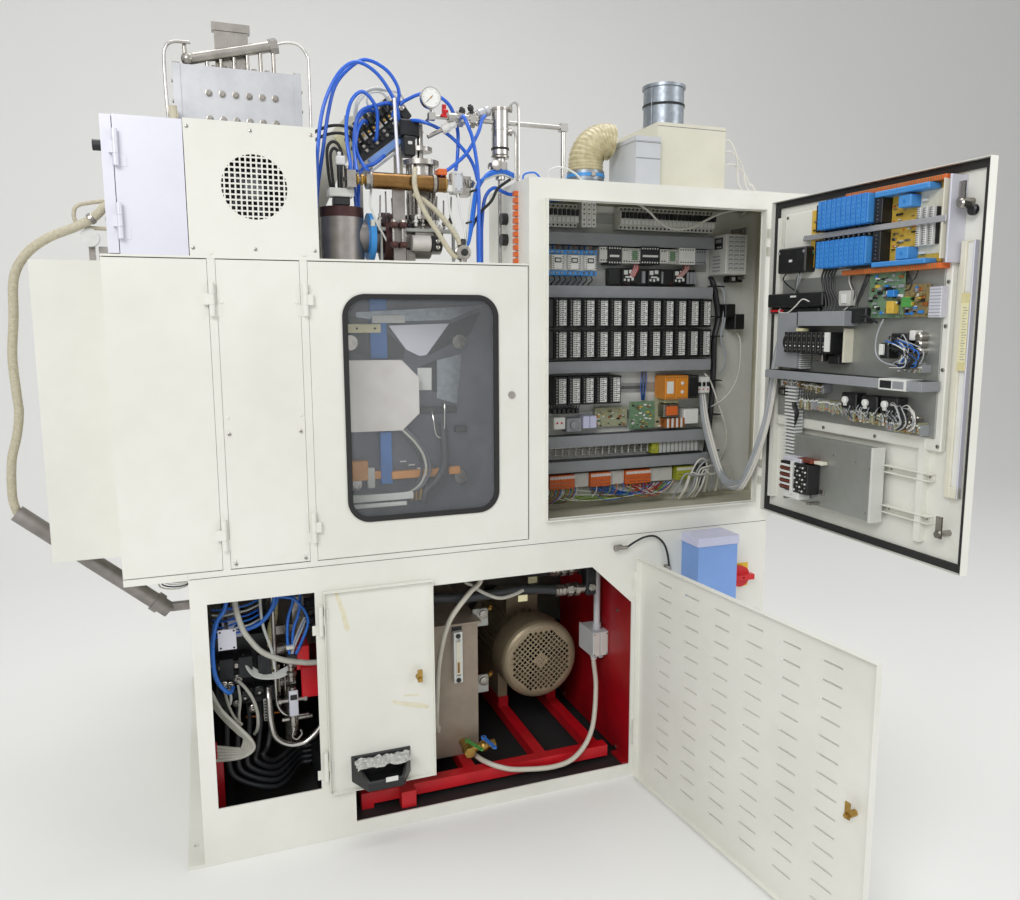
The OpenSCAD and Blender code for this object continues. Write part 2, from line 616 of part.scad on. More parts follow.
// Guard
door_y = 0;
guard_z0 = base_h + 3;
guard_z1 = roof - 9;
strip1_x = guard_x0 + left_door_w;
panel_x = strip1_x + strip_w;
strip2_x = panel_x + panel_w;
window_door_x = strip2_x + strip_w;
guard_hinges = [guard_z0 + 60, guard_z1 - 160];
guard_axis_y = -11;
left_axis = strip1_x + 9;
window_axis = strip2_x + strip_w - 9;
post_y = pan_t + 4;
window_lock_x = guard_x1 - 61;
window_lock_z = guard_z0 + 495;
strike_y = post_y + 6;
win_x = window_door_x + 104;
win_z = guard_z0 + 114;
module guard_frame() at_frame() color(cream) {
    x0 = guard_x0;
    x1 = guard_x1;
    difference() {
        union() {
            for (x = [x0 + 6, strip1_x + strip_w / 2 - post / 2, strip2_x + strip_w / 2 - post / 2, x1 - post])
                block([x, post_y, base_h], [x + post, post_y + post, roof - 6]);
            for (x = [strip1_x, strip2_x]) block([x + gap, 0, base_h], [x + strip_w - gap, post_y, roof - 6]);
            for (z = [base_h, roof - 6 - post]) block([x0 + 6, post_y, z], [x1, post_y + post, z + post]);
            block([x0, -1, roof - 6], [x1, guard_d, roof]);
            block([x0, post_y, base_h], [x0 + guard_t, guard_d, roof - 6]);
            block([x1 - guard_t, post_y, base_h], [x1, guard_d, roof - 6]);
            block([x0, guard_d - guard_t, base_h], [x1, guard_d, roof - 6]);
            for (x = [x0, x1 - post]) block([x, guard_d - post, base_h], [x + post, guard_d, roof - 6]);
            block([x0, 0, base_h - 20], [-gap, guard_d, base_h]);
        }
        block([x0 + post, post + 60, base_h - 21], [-post, guard_d - 60, base_h + 1]);
    }
    block([x1 - post - 12, strike_y, window_lock_z - 14], [x1 - post, strike_y + 4, window_lock_z + 14]);
    for (z = guard_hinges) {
        hinge_fixed(left_axis, guard_axis_y, z, 0, 1);
        hinge_fixed(window_axis, guard_axis_y, z, 0, -1);
    }
}
module fixed_panel() at_frame() color(cream) {
    block([panel_x + gap, 0, guard_z0], [strip2_x - gap, 2, guard_z1]);
    for (x = [panel_x + 12, strip2_x - 12], z = [guard_z0 + 24, (guard_z0 + guard_z1) / 2, guard_z1 - 120])
        translate([x, -3, z]) rotate([-90, 0, 0]) cylinder(r1 = 4, r2 = 5.5, h = 3);
}
module left_door() at_frame() color(cream) difference() {
    union() {
        pan(guard_x0, strip1_x - gap, door_y, guard_z0, guard_z1, pan_t);
        for (z = guard_hinges) difference() {
            hinge_moving(left_axis, guard_axis_y, z, strip1_x - left_axis - 12);
            block([strip1_x - gap, -3, z - 5], [left_axis + 20, 4, z + hinge_l + 5]);
        }
        for (z = guard_hinges)
            block([strip1_x - 14, guard_axis_y - 3, z + hinge_l / 3], [strip1_x - 4, 1, z + 2 * hinge_l / 3 - gap]);
    }
    for (z = guard_hinges) rod_z([left_axis, guard_axis_y, z - 1], pin_r + pin_gap, hinge_l + 2);
}
module window_shape(grow) translate([win_x - grow, win_z - grow]) {
    w = window_w + 2 * grow;
    h = window_h + 2 * grow;
    r = window_r + grow;
    hull() for (x = [r, w - r], z = [r, h - r]) translate([x, z]) circle(r = r);
}
module window_door() at_frame() color(cream) difference() {
    union() {
        pan(window_door_x + gap, guard_x1 - 3, door_y, guard_z0, guard_z1, pan_t);
        for (z = guard_hinges) difference() {
            hinge_moving(window_axis, guard_axis_y, z, window_door_x - window_axis + 12);
            block([window_axis - 20, -3, z - 5], [window_door_x + gap, 4, z + hinge_l + 5]);
        }
        for (z = guard_hinges)
            block([window_door_x + 4, guard_axis_y - 3, z + hinge_l / 3],
                [window_door_x + 14, 1, z + 2 * hinge_l / 3 - gap]);
    }
    wall_xz(-1, door_t + 2) window_shape(0);
    rod_y([window_lock_x, -1, window_lock_z], lock_r + pin_gap, 6);
    for (z = guard_hinges) rod_z([window_axis, guard_axis_y, z - 1], pin_r + pin_gap, hinge_l + 2);
}
module window_seal() at_frame() color(rubber) {
    wall_xz(-5, 5) difference() {
        window_shape(6);
        window_shape(6 - seal_w);
    }
    wall_xz(0, door_t) difference() {
        window_shape(-running);
        window_shape(6 - seal_w);
    }
    wall_xz(door_t, pane_t + 5) difference() {
        window_shape(6);
        window_shape(-1);
    }
}
module window_pane() at_frame() color("#dfe6e8", 0.35)
    wall_xz(door_t + 1, pane_t) window_shape(-1 - running);
module window_lock() at_frame() color(steel) {
    rod_y([window_lock_x, -4, window_lock_z], 12, 4);
    rod_y([window_lock_x, 0, window_lock_z], lock_r, strike_y + 5);
    block([window_lock_x - 6, strike_y + 5, window_lock_z - 8], [window_lock_x + 6, strike_y + 8, window_lock_z + 19.5]);
}
disc_x = guard_x0 - 51;
module end_hood() at_frame() color(cream) {
    x0 = guard_x0 - hood_w;
    z0 = base_h;
    difference() {
        block([x0, hood_y, z0], [guard_x0, hood_y + hood_d, roof]);
        block([x0 + guard_t, hood_y + guard_t, z0 - 1], [guard_x0 - guard_t, hood_y + hood_d - guard_t, roof - guard_t]);
    }
    color("#f0f0f0") rod_y([disc_x, hood_y + 4, roof + 68], 27, 22);
    color(steel) {
        rod_y([disc_x, hood_y + 26, roof + 68], 10, 40);
        block([disc_x - 9, hood_y + 46, roof], [disc_x + 9, hood_y + 56, roof + 72]);
        block([disc_x + 20, hood_y + 30, roof], [disc_x + 44, hood_y + 60, roof + 44]);
    }
}
lance_a = [-512, 450, 1077];
lance_b = [-78, 450, 696];
module suction_lance() at_frame() color("#5f6163") {
    along = lance_b - lance_a;
    translate(lance_a) rotate([0, acos(along[2] / norm(along)), 0]) difference() {
        union() {
            cylinder(r = 27, h = norm(along));
            translate([0, 0, norm(along) - 60]) cylinder(r = 34, h = 24);
        }
        translate([0, 0, -1]) cylinder(r = 24, h = norm(along) - 40);
    }
    block([lance_b[0] - 34, lance_b[1] - 14, lance_b[2] - 2], [0, lance_b[1] + 14, lance_b[2] + 24]);
    block([-8, lance_b[1] - 40, lance_b[2] - 40], [0, lance_b[1] + 40, lance_b[2] + 50]);
}
lance_hose_route = [[ctl_x0 - 36 - gap, ctl_d + 30, roof + 160], [ctl_x0 - 44, ctl_d + 30, roof + 160],
    [ctl_x0 - 54, ctl_d + 30, roof + 159], [-212, 276, 1994], [-260, 280, 1967], [-338, 290, 1933],
    [-403, 310, 1884], [-442, 330, 1815], [-455, 350, 1699], [-471, 370, 1580], [-471, 385, 1466],
    [-471, 395, 1405], [-484, 405, 1332], [-507, 420, 1251], [-518, 440, 1140], [-513, 449, 1090], [-506, 450, 1073], [-492, 450, 1060]];
module lance_hose() at_frame() color("#d6cfb4") {
    tube(smooth(lance_hose_route, 2), 14, 10);
}

// Clamp unit behind the window
clamp_x = win_x + window_w / 2;
clamp_y0 = 230;
clamp_y1 = 920;
clamp_z = base_h + 430;
tie_dx = 190;
tie_dz = 240;
platen_t = 60;
platen_open = 170;
platen_hw = 150;
platen_hh = 200;
clamp_mid = (clamp_y0 + clamp_y1) / 2;
module tie_places() for (sx = [-1, 1], sz = [-1, 1])
    translate([clamp_x + sx * tie_dx, 0, clamp_z + sz * tie_dz]) children();
module clamp_frame() at_frame() {
    color(steel) tie_places() rod_y([0, clamp_y0, 0], tie_r, clamp_y1 - clamp_y0);
    color("#3b6fb0") difference() {
        union() for (y = [clamp_y0 + 20, clamp_y1 - 90])
            block([clamp_x - tie_dx - 70, y, base_h], [clamp_x + tie_dx + 70, y + 50, clamp_z + tie_dz + 70]);
        tie_places() rod_y([0, clamp_y0, 0], tie_r, clamp_y1 - clamp_y0);
        for (y = [clamp_y0 + 20]) block([clamp_x - tie_dx + 30, y - 1, clamp_z - tie_dz + 40],
            [clamp_x + tie_dx - 30, y + 51, clamp_z + tie_dz - 30]);
    }
}
module platen(y, facing) difference() {
    union() {
        wall_xz(y, platen_t) polygon([
            [clamp_x - tie_dx - 50, clamp_z - tie_dz + 40], [clamp_x - tie_dx + 40, clamp_z - tie_dz - 50],
            [clamp_x + tie_dx - 40, clamp_z - tie_dz - 50], [clamp_x + tie_dx + 50, clamp_z - tie_dz + 40],
            [clamp_x + tie_dx + 50, clamp_z + tie_dz - 40], [clamp_x + tie_dx - 40, clamp_z + tie_dz + 50],
            [clamp_x - tie_dx + 40, clamp_z + tie_dz + 50], [clamp_x - tie_dx - 50, clamp_z + tie_dz - 40]]);
        tie_places() rod_y([0, facing > 0 ? y - 20 : y + platen_t, 0], tie_r + 14, 20);
    }
    tie_places() rod_y([0, y - 30, 0], tie_r + pin_gap, platen_t + 60);
}
front_platen_y = clamp_mid - platen_open - platen_t;
module front_platen() at_frame() color("#dcdcd8") platen(front_platen_y, 1);
module rear_platen() at_frame() color("#dcdcd8") platen(clamp_mid + platen_open, -1);
pin_x = clamp_x + 10;
head_z = clamp_z + 365;
pin_top = roof - 12;
module blow_pin() at_frame() color(steel) {
    rod_z([pin_x, clamp_mid, clamp_z + 290], 14, pin_top - clamp_z - 290);
    rod_z([pin_x, clamp_mid, clamp_z + 250], 9, 40);
    rod_z([pin_x, clamp_mid, head_z - 35], 30, 24);
}

// Extruder head and its gear on the guard's roof
head_y = 250;
drum_x = guard_x0 + 700;
drum_r = 70;
barrel_z = roof + 92;
column_x = drum_x + 268;
module extruder() at_frame() {
    color("#8f9092") {
        rod_z([drum_x, head_y, roof], drum_r, 150);
        rod_x([drum_x, head_y, barrel_z], 50, 330);
        rod_x([column_x - 38, head_y, barrel_z], 66, 62);
        difference() {
            union() {
                rod_z([pin_x, clamp_mid, head_z + 30], 60, roof - 6 - head_z - 30);
                rod_z([pin_x, clamp_mid, head_z], 44, 31);
            }
            rod_z([pin_x, clamp_mid, head_z - 1], 14 + pin_gap, pin_top + 4 - head_z);
        }
        rod_z([column_x, head_y, barrel_z + 40], 40, roof + 330 - barrel_z - 40);
        rod_z([column_x, head_y, roof + 330], 10, 150);
    }
    color("#5c3038") {
        rod_z([drum_x, head_y, roof + 150], drum_r + 1, 32);
        for (x = [drum_x + 130, drum_x + 168]) rod_x([x, head_y, barrel_z], 82, 26);
        block([drum_x + 126, head_y - 34, barrel_z - 92], [drum_x + 198, head_y + 34, barrel_z - 70]);
    }
    color("#2f86d6") difference() {
        rod_x([drum_x + 82, head_y, barrel_z], 78, 18);
        rod_x([drum_x + 81, head_y, barrel_z], 50, 20);
    }
    color(steel) {
        rod_z([column_x, head_y, roof + 330], 62, 16);
        rod_z([column_x, head_y, roof + 376], 40, 14);
        for (a = [45 : 90 : 315]) translate([column_x, head_y, 0]) rotate(a) rod_z([50, 0, barrel_z + 70], 6, roof + 330 - barrel_z - 70);
        translate([column_x, head_y, barrel_z + 60]) cylinder(r = 62, h = 14);
        for (x = [-18, 18]) rod_z([drum_x + x, head_y, roof + 182], 6, 30);
        block([drum_x - 26, head_y - 14, roof + 212], [drum_x + 26, head_y + 14, roof + 242]);
    }
    color(steel) block([drum_x + 205, head_y - 40, roof], [drum_x + 235, head_y + 40, barrel_z - 40]);
}
brass_y = 150;
brass_z = roof + 260;
module brass_cylinder() at_frame() {
    color("#b98a4a") {
        rod_x([drum_x + 80, brass_y, brass_z], 26, 200);
        rod_x([drum_x + 290, brass_y, brass_z], 26, 34);
    }
    color(steel) {
        rod_x([drum_x + 280, brass_y, brass_z], 30, 10);
        hex_x([drum_x + 62, brass_y, brass_z], 50, 18);
        rod_x([drum_x + 20, brass_y, brass_z], 9, 42);
        block([drum_x + 2, brass_y - 16, brass_z - 26], [drum_x + 30, brass_y + 16, brass_z + 26]);
        rod_x([drum_x + 324, brass_y, brass_z], 18, 44);
        block([drum_x + 2, brass_y + 16, brass_z - 15], [drum_x + 26, head_y - 14 - running, brass_z - 1]);
        block([drum_x + 150, brass_y + 20, brass_z - 14], [drum_x + 190, head_y - 40, brass_z + 8]);
        block([drum_x + 150, head_y - 96, roof], [drum_x + 190, head_y - 84, brass_z - 12]);
    }
    color("#8f9296") {
        block([drum_x + 368, brass_y - 24, brass_z - 36], [drum_x + 406, brass_y + 24, brass_z + 26]);
    }
}
term_z = roof + 470;
module valve_terminal() at_frame() {
    translate([drum_x + 150, head_y + 60, term_z]) rotate([0, -38, 0]) {
        color(dark) {
            block([-130, -26, -52], [80, 26, -12]);
            for (k = [0 : 7]) block([-112 + 22 * k, -20, -12], [-94 + 22 * k, 20, 18]);
        }
        color(alu) block([-136, -34, -60], [86, 34, -52]);
        color("#c9c4b4") block([-150, 30, -70], [90, 34, 60]);
    }
    color(steel) block([drum_x + 60, head_y + 94, roof], [drum_x + 90, head_y + 106, term_z - 60]);
    color(steel) block([drum_x + 200, head_y + 94, roof], [drum_x + 230, head_y + 106, term_z + 40]);
}
tube_routes = [
    [[436, 200, roof + gap], [436, 200, 1920], [436, 200, 1980], [440, 200, 2080], [448, 198, 2212], [470, 195, 2350], [520, 195, 2455],
        [580, 205, 2500], [650, 222, 2475], [708, 244, 2405], [727, 260, 2346], [726, 273, 2341], [726, 284 - gap, 2341]],
    [[drum_x + 16, brass_y, brass_z + 26 + gap], [drum_x + 16, brass_y, brass_z + 50], [536, 158, 2235], [538, 175, 2310], [560, 190, 2380],
        [600, 200, 2410], [645, 222, 2365], [649, 252, 2288], [647, 264, 2280], [647, 274, 2280], [647, 284 - gap, 2280]],
    [[filter_x - 140, filter_y - 22 - gap, pipe_z], [filter_x - 140, 105, pipe_z - 2], [filter_x - 130, 90, 2305], [930, 92, 2260],
        [948, 100, 2160], [950, 100, 2000], [950, 100, 1920], [950, 100, roof + gap]],
    [[cab_x0 - gap, 150, 2110], [cab_x0 - 8, 150, 2110], [cab_x0 - 18, 150, 2111], [1052, 146, 2116], [1015, 142, 2126], [985, 142, 2090], [975, 145, 2010],
        [975, 150, 1940], [975, 150, roof + gap]]];
module air_tubes() at_frame() color(blue) for (r = tube_routes) tube(smooth(r, 3), 6);

module filter_line() at_frame() {
    color(steel) {
        rod_z([filter_x, filter_y, cab_top + 90], 28, 150);
        rod_z([filter_x, filter_y, cab_top + 10], 16, 80);
        hex_z([filter_x, filter_y, cab_top + 40], 44, 26);
        rod_x([filter_x - 80, filter_y, pipe_z], 8, 300);
        elbow([filter_x + 230, filter_y, pipe_z], 13);
        rod_z([filter_x + 230, filter_y, cab_top], 8, pipe_z - cab_top - 10);
        hex_z([filter_x + 230, filter_y, cab_top], 30, 14);
        rod_z([filter_x + 30, filter_y + 90, roof], 6, pipe_z - roof - 9);
        elbow([filter_x + 30, filter_y + 90, pipe_z], 11);
        rod_y([filter_x + 30, filter_y, pipe_z], 6, 85);
        rod_x([filter_x - 180, filter_y, pipe_z], 17, 100);
        hex_x([filter_x - 150, filter_y, pipe_z], 44, 20);
        hex_x([filter_x - 110, filter_y, pipe_z], 44, 20);
        elbow([column_x + 14, filter_y, pipe_z], 11);
        rod_x([column_x + 20, filter_y, pipe_z], 6, filter_x - 200 - column_x);
        rod_y([column_x + 14, filter_y + 5, pipe_z], 6, head_y - filter_y - 15 - running);
    }
    color("#f1f1f1") rod_y([column_x + 4, filter_y - 34, pipe_z + 50], 31, 22);
    color(steel) {
        rod_y([column_x + 4, filter_y - 36, pipe_z + 50], 33, 20);
        rod_z([column_x + 14, filter_y, pipe_z + 5], 6, 31);
        block([column_x + 4, filter_y - 20, pipe_z + 30], [column_x + 24, filter_y + 8, pipe_z + 44]);
    }
    color("#c4231d") block([column_x + 50, filter_y - 6, pipe_z + 6], [column_x + 62, filter_y + 6, pipe_z + 40]);
}

// Cover box with its grille, motor and fan
cover_h = 374;
cover_d = 290;
grille_x = cover_x0 + 184;
grille_z = roof + 197;
grille_n = floor(grille_r / grille_p) + 1;
module cover_box() at_frame() color(cream) {
    difference() {
        union() {
            block([cover_x0, 0, roof], [cover_x1, cover_d, roof + cover_h]);
        }
        block([cover_x0 + guard_t, guard_t, roof - 1], [cover_x1 - guard_t, cover_d - guard_t, roof + cover_h - guard_t]);
        wall_xz(-1, guard_t + 2) translate([grille_x, grille_z]) intersection() {
            circle(r = grille_r);
            for (i = [-grille_n : grille_n], k = [-grille_n : grille_n])
                translate([i * grille_p, k * grille_p]) square(grille_hole, center = true);
        }
    }
    for (x = [cover_x0 + 55, cover_x1 - 45]) translate([x, -3, roof + 10]) rotate([-90, 0, 0]) cylinder(r = 5, h = 3);
}
drive_r = 95;
module drive_motor() at_frame() color("#6f7275") difference() {
    union() {
        rod_y([grille_x, 90, grille_z], drive_r, cover_d - 96);
        block([grille_x - 70, 110, roof], [grille_x + 70, 240, grille_z - 60]);
    }
    rod_y([grille_x, 89, grille_z], 12 + pin_gap, 41);
}
module drive_fan() at_frame() color("#b9babb") {
    rod_y([grille_x, 40, grille_z], 12, 85);
    rod_y([grille_x, 36, grille_z], 28, 34);
    for (k = [0 : 4]) translate([grille_x, 0, grille_z]) rotate([0, k * 72, 0]) rotate([25, 0, 0])
        translate([0, 55, -20]) block([20, -17, -2], [grille_r - 8, 17, 2]);
}

// Control box, its door and knob, left of the cover
ctl_door_t = 28;
ctl_axis_x = ctl_x0 - 3;
ctl_axis_y = -12;
ctl_hinges = [roof + 40, roof + ctl_h - 40 - hinge_l];
ctl_pin_r = 3;
module control_box() at_frame() color(alu) {
    difference() {
        block([ctl_x0, 0, roof], [ctl_x1, ctl_d + 50, roof + ctl_h]);
        block([ctl_x0 - 1, guard_t, roof + guard_t], [ctl_x1 - guard_t, ctl_d, roof + ctl_h - guard_t]);
    }
    for (z = ctl_hinges) hinge_fixed(ctl_axis_x + 8, ctl_axis_y, z, 0, 1);
    rod_x([ctl_x0 - 24, ctl_d + 30, roof + 160], 17, 24);
    hex_x([ctl_x0 - 36, ctl_d + 30, roof + 160], 34, 12);
    rod_z([ctl_x0 - 14, ctl_d + 30, roof], 9, 150);
}
module control_box_door() at_frame() color(alu) difference() {
    union() {
        block([ctl_x0 - 2 - ctl_door_t, -1, roof + 2], [ctl_x0 - 2, ctl_d - 2, roof + ctl_h - 2]);
        for (z = ctl_hinges) {
            hinge_moving(ctl_axis_x + 8, ctl_axis_y, z, -14);
            block([ctl_x0 - 12, ctl_axis_y - 5, z + hinge_l / 3], [ctl_x0 - 2, 1, z + 2 * hinge_l / 3 - gap]);
        }
    }
    block([ctl_x0 - ctl_door_t, 2, roof + 5], [ctl_x0 + 1, ctl_d - 5, roof + ctl_h - 5]);
    rod_x([ctl_x0 - 3 - ctl_door_t, 100, roof + 304], 8 + pin_gap, 6);
    for (z = ctl_hinges) rod_z([ctl_axis_x + 8, ctl_axis_y, z - 1], pin_r + pin_gap, hinge_l + 2);
}
module control_knob() at_frame() color(dark) {
    x = ctl_x0 - 2 - ctl_door_t;
    rod_x([x - 6, 100, roof + 304], 24, 6);
    rod_x([x - 30, 100, roof + 304], 15, 24);
    rod_x([x, 100, roof + 304], 8, 10);
}

// Bolted plate behind the cover, with its stand pipes and manifold
bolt_y = cover_d + 14;
bolt_x0 = cover_x0 - 22;
bolt_x1 = cover_x0 + 362;
bolt_h = 600;
bolt_p = 40;
bolt_n = 6;
man_a = [cover_x0 + 24, bolt_y + 12, roof + bolt_h + 18];
man_b = [cover_x0 + 268, bolt_y + 12, roof + bolt_h + 80];
function man_z(x) = man_a[2] + (man_b[2] - man_a[2]) * (x - man_a[0]) / (man_b[0] - man_a[0]);
module bolt_plate() at_frame() {
    color("#b9bbc4") {
        block([bolt_x0 + 22, bolt_y, roof], [bolt_x1 - 22, bolt_y + 24, roof + bolt_h]);
        for (x = [bolt_x0, bolt_x1 - 22]) block([x, bolt_y - 3, roof], [x + 22, bolt_y + 40, roof + bolt_h + 4]);
    }
    color(steel) {
        for (k = [0 : bolt_n - 1], z = [roof + bolt_h - 80, roof + bolt_h - 157]) {
            x = bolt_x0 + 102 + k * bolt_p;
            difference() {
                rod_y([x, bolt_y - 6, z], 7, 6);
                hex_y([x, bolt_y - 7, z], 6, 4);
            }
        }
        for (k = [0 : bolt_n - 1]) rod_z([bolt_x0 + 102 + k * bolt_p, bolt_y + 12, roof + bolt_h], 6,
            man_z(bolt_x0 + 102 + k * bolt_p) - roof - bolt_h);
        along = man_b - man_a;
        translate(man_a) rotate([0, acos(along[2] / norm(along)), 0]) cylinder(r = 17, h = norm(along));
        translate(man_b) rotate([0, acos(along[2] / norm(along)), 0]) cylinder(r = 24, h = 26, $fn = 6);
        translate(man_a) sphere(r = 20);
        rod_z([man_a[0] - 8, man_a[1], man_a[2]], 6, 44);
        block([cover_x0 + 105, bolt_y + 24, roof + bolt_h - 60], [cover_x0 + 205, bolt_y + 40, roof + bolt_h + 130]);
        block([cover_x0 + 98, bolt_y + 20, roof + bolt_h + 116], [cover_x0 + 212, bolt_y + 52, roof + bolt_h + 140]);
    }
    color("#c2924a") {
        rod_z([bolt_x0 - 4, bolt_y - 40, roof + ctl_h + 4], 12, 90);
    }
    color(steel) block([bolt_x0 - 12, bolt_y - 44, roof + ctl_h + 60], [bolt_x0 + 10, bolt_y - 3, roof + ctl_h + 76]);
}

// Electrical cabinet
rim_t = 4;
op_x0 = cab_x0 + cab_open_x;
op_x1 = op_x0 + cab_open_w;
op_z0 = base_h + cab_open_z;
op_z1 = op_z0 + cab_open_h;
cab_axis_x = op_x1 + 34;
cab_axis_y = -10 - cab_pan_t;
leaf_x1 = cab_axis_x - knuckle_r - 2;
leaf_x0 = op_x0 - cab_lap;
leaf_z0 = op_z0 - cab_lap;
leaf_z1 = op_z1 + cab_lap;
cab_hinges = [op_z0 + 60, op_z1 - 60 - hinge_l];
rim_in = 2;
gasket_w = cab_lap - door_t - rim_in;
gasket_t = 8;
rim_h = -cab_axis_y - door_t - gasket_t - gap;
module rim(a, b) {
    translate([op_x0 - a, op_z0 - a]) square([cab_open_w + 2 * a, cab_open_h + 2 * a]);
}
module cabinet() at_frame() color(cream) {
    difference() {
        union() {
            block([cab_x0, 0, base_h], [cab_x1, cab_d, cab_top]);
            wall_xz(-rim_h, rim_h + 1) rim(rim_in + rim_t);
        }
        block([cab_x0 + cab_t, cab_t, base_h + cab_t], [cab_x1 - cab_t, cab_d - cab_t, cab_top - cab_t]);
        wall_xz(-rim_h - 1, rim_h + 1) rim(rim_in);
        wall_xz(-1, cab_t + 2) rim(0);
        for (z = [1020, 1090]) rod_x([cab_x0 - 1, 210, z + base_h], 12, cab_t + 2);
    }
    for (z = cab_hinges) {
        hinge_fixed(cab_axis_x, cab_axis_y, z, 0, 1);
    }
    color(dark) for (z = [1020, 1090]) rod_x([cab_x0 - 22, 210, z + base_h], 20, 22);
    color("#e07a22") for (k = [0 : 10]) block([cab_x0 - 14, 96, roof + 8 + k * 22], [cab_x0, 116, roof + 24 + k * 22]);
}
plate_y = cab_d - 30;
row_x0 = cab_x0 + 190;
row_x1 = cab_x0 + 915;
duct_z = [1044, 850, 566, 280, 183];
rail_z = [1127, 954, 770, 652, 478, 372, 123];
rail_t = 8;
module cabinet_fittings() at_frame() {
    color("#c8cac6") {
        block([cab_x0 + 40, plate_y, base_h + 30], [cab_x1 - 40, plate_y + 3, cab_top - 25]);
        for (x = [cab_x0 + 60, cab_x1 - 80], z = [base_h + 50, cab_top - 65])
            block([x, plate_y + 3, z], [x + 20, cab_d - cab_t, z + 20]);
    }
    color("#9a9c9c") for (z = duct_z) difference() {
        block([row_x0 - 90, plate_y - 60, base_h + z - 22], [row_x1, plate_y, base_h + z + 22]);
        block([row_x0 - 91, plate_y - 57, base_h + z - 19], [row_x1 + 1, plate_y - 3, base_h + z + 19]);
    }
    color(steel) for (z = rail_z)
        block([row_x0 - 90, plate_y - rail_t, base_h + z - 17], [row_x1, plate_y, base_h + z + 17]);
}
// One row of like devices on a rail
module device_row(x, n, p, z, h, d) for (k = [0 : n - 1])
    block([x + k * p, plate_y - rail_t - d, base_h + z - h / 2], [x + (k + 1) * p - 0.8, plate_y - rail_t, base_h + z + h / 2]);
module cabinet_devices() at_frame() {
    color("#e2e2de") {
        device_row(row_x0 - 10, 8, 17.5, rail_z[0], 84, 62);
        device_row(row_x0 + 142, 3, 20, rail_z[0], 84, 62);
        device_row(row_x0 + 304, 24, 17.5, rail_z[0], 84, 62);
    }
    color("#4c8fd0") device_row(row_x0 - 2, 3, 66, rail_z[1], 92, 95);
    color("#d9d9d2") device_row(row_x0 + 215, 18, 27, rail_z[1] + 22, 44, 60);
    color(dark) device_row(row_x0 + 270, 9, 43, rail_z[1] - 44, 56, 40);
    color("#d8792a") {
        device_row(row_x0 + 22, 17, 6.2, rail_z[6], 52, 42);
        device_row(row_x0 + 197, 14, 6.2, rail_z[6], 52, 42);
        device_row(row_x0 + 352, 18, 6.2, rail_z[6], 52, 42);
        device_row(row_x0 + 520, 3, 34, rail_z[4], 92, 84);
    }
    color("#3f7f4a") device_row(row_x0 + 20, 1, 150, rail_z[5], 84, 40);
    color("#7d8a58") device_row(row_x0 + 190, 1, 130, rail_z[5], 84, 44);
    color("#d9d9d2") device_row(row_x0 + 350, 8, 40, rail_z[5], 70, 60);
    color("#d2cf3a") device_row(row_x0 + 586, 12, 6.2, rail_z[6], 48, 40);
    color("#dcdcd6") block([row_x1 + 12, plate_y - 120, base_h + 925], [row_x1 + 215, plate_y, base_h + 1085]);
    color(dark) block([row_x1 + 30, plate_y - 70, base_h + 680], [row_x1 + 110, plate_y, base_h + 820]);
}
module_x = row_x0 + coupler_w + 3;
module io_modules() at_frame() color("#17181a") {
    for (z = [rail_z[2], rail_z[3]]) translate([module_x, plate_y - rail_t, base_h + z]) {
        for (k = [0 : 11]) translate([k * module_p, 0, 0]) difference() {
            block([0, -70, -54], [module_p - 5, 0, 54]);
            for (f = [-55, 44]) block([4, -71, f], [module_p - 9, -60, f + 11]);
        }
        block([-coupler_w - 1, -62, -50], [-1, 0, 50]);
    }
    for (k = [0 : 4]) block([module_x + k * module_p, plate_y - rail_t - 70, base_h + rail_z[4] - 54],
        [module_x - 5 + (k + 1) * module_p, plate_y - rail_t, base_h + rail_z[4] + 54]);
}

// Cabinet door, drawn closed and swung open
module cab_swung() swung(cab_axis_x, cab_axis_y, cab_door_open) children();
leaf_y = cab_axis_y;
inner_y = leaf_y + door_t;
latch_x = leaf_x0 + 66;
latch_zs = [leaf_z1 - 105, leaf_z0 + 105];
cab_throw = -leaf_y + cab_t + 1;
cab_reach = latch_x - op_x0 + 10;
module cabinet_door() at_frame() color(cream) cab_swung() {
    difference() {
        union() {
            pan(leaf_x0, leaf_x1, leaf_y, leaf_z0, leaf_z1, cab_pan_t);
            for (z = cab_hinges) hinge_moving(cab_axis_x, cab_axis_y, z, -knuckle_r - 6);
            for (x = [leaf_x0 + 150, leaf_x1 - 60]) difference() {
                block([x, inner_y, leaf_z0 + 60], [x + 22, inner_y + 22, leaf_z1 - 60]);
                block([x + 2, inner_y - 1, leaf_z0 + 59], [x + 20, inner_y + 20, leaf_z1 - 59]);
            }
        }
        for (z = latch_zs) rod_y([latch_x, leaf_y - 1, z], lock_r + pin_gap, 6);
        for (z = cab_hinges) rod_z([cab_axis_x, cab_axis_y, z - 1], pin_r + pin_gap, hinge_l + 2);
    }
}
module door_gasket() at_frame() color(rubber) cab_swung() wall_xz(inner_y, gasket_t) difference() {
    translate([leaf_x0 + door_t, leaf_z0 + door_t])
        square([leaf_x1 - leaf_x0 - 2 * door_t, leaf_z1 - leaf_z0 - 2 * door_t]);
    translate([leaf_x0 + door_t + gasket_w, leaf_z0 + door_t + gasket_w])
        square([leaf_x1 - leaf_x0 - 2 * (door_t + gasket_w), leaf_z1 - leaf_z0 - 2 * (door_t + gasket_w)]);
}
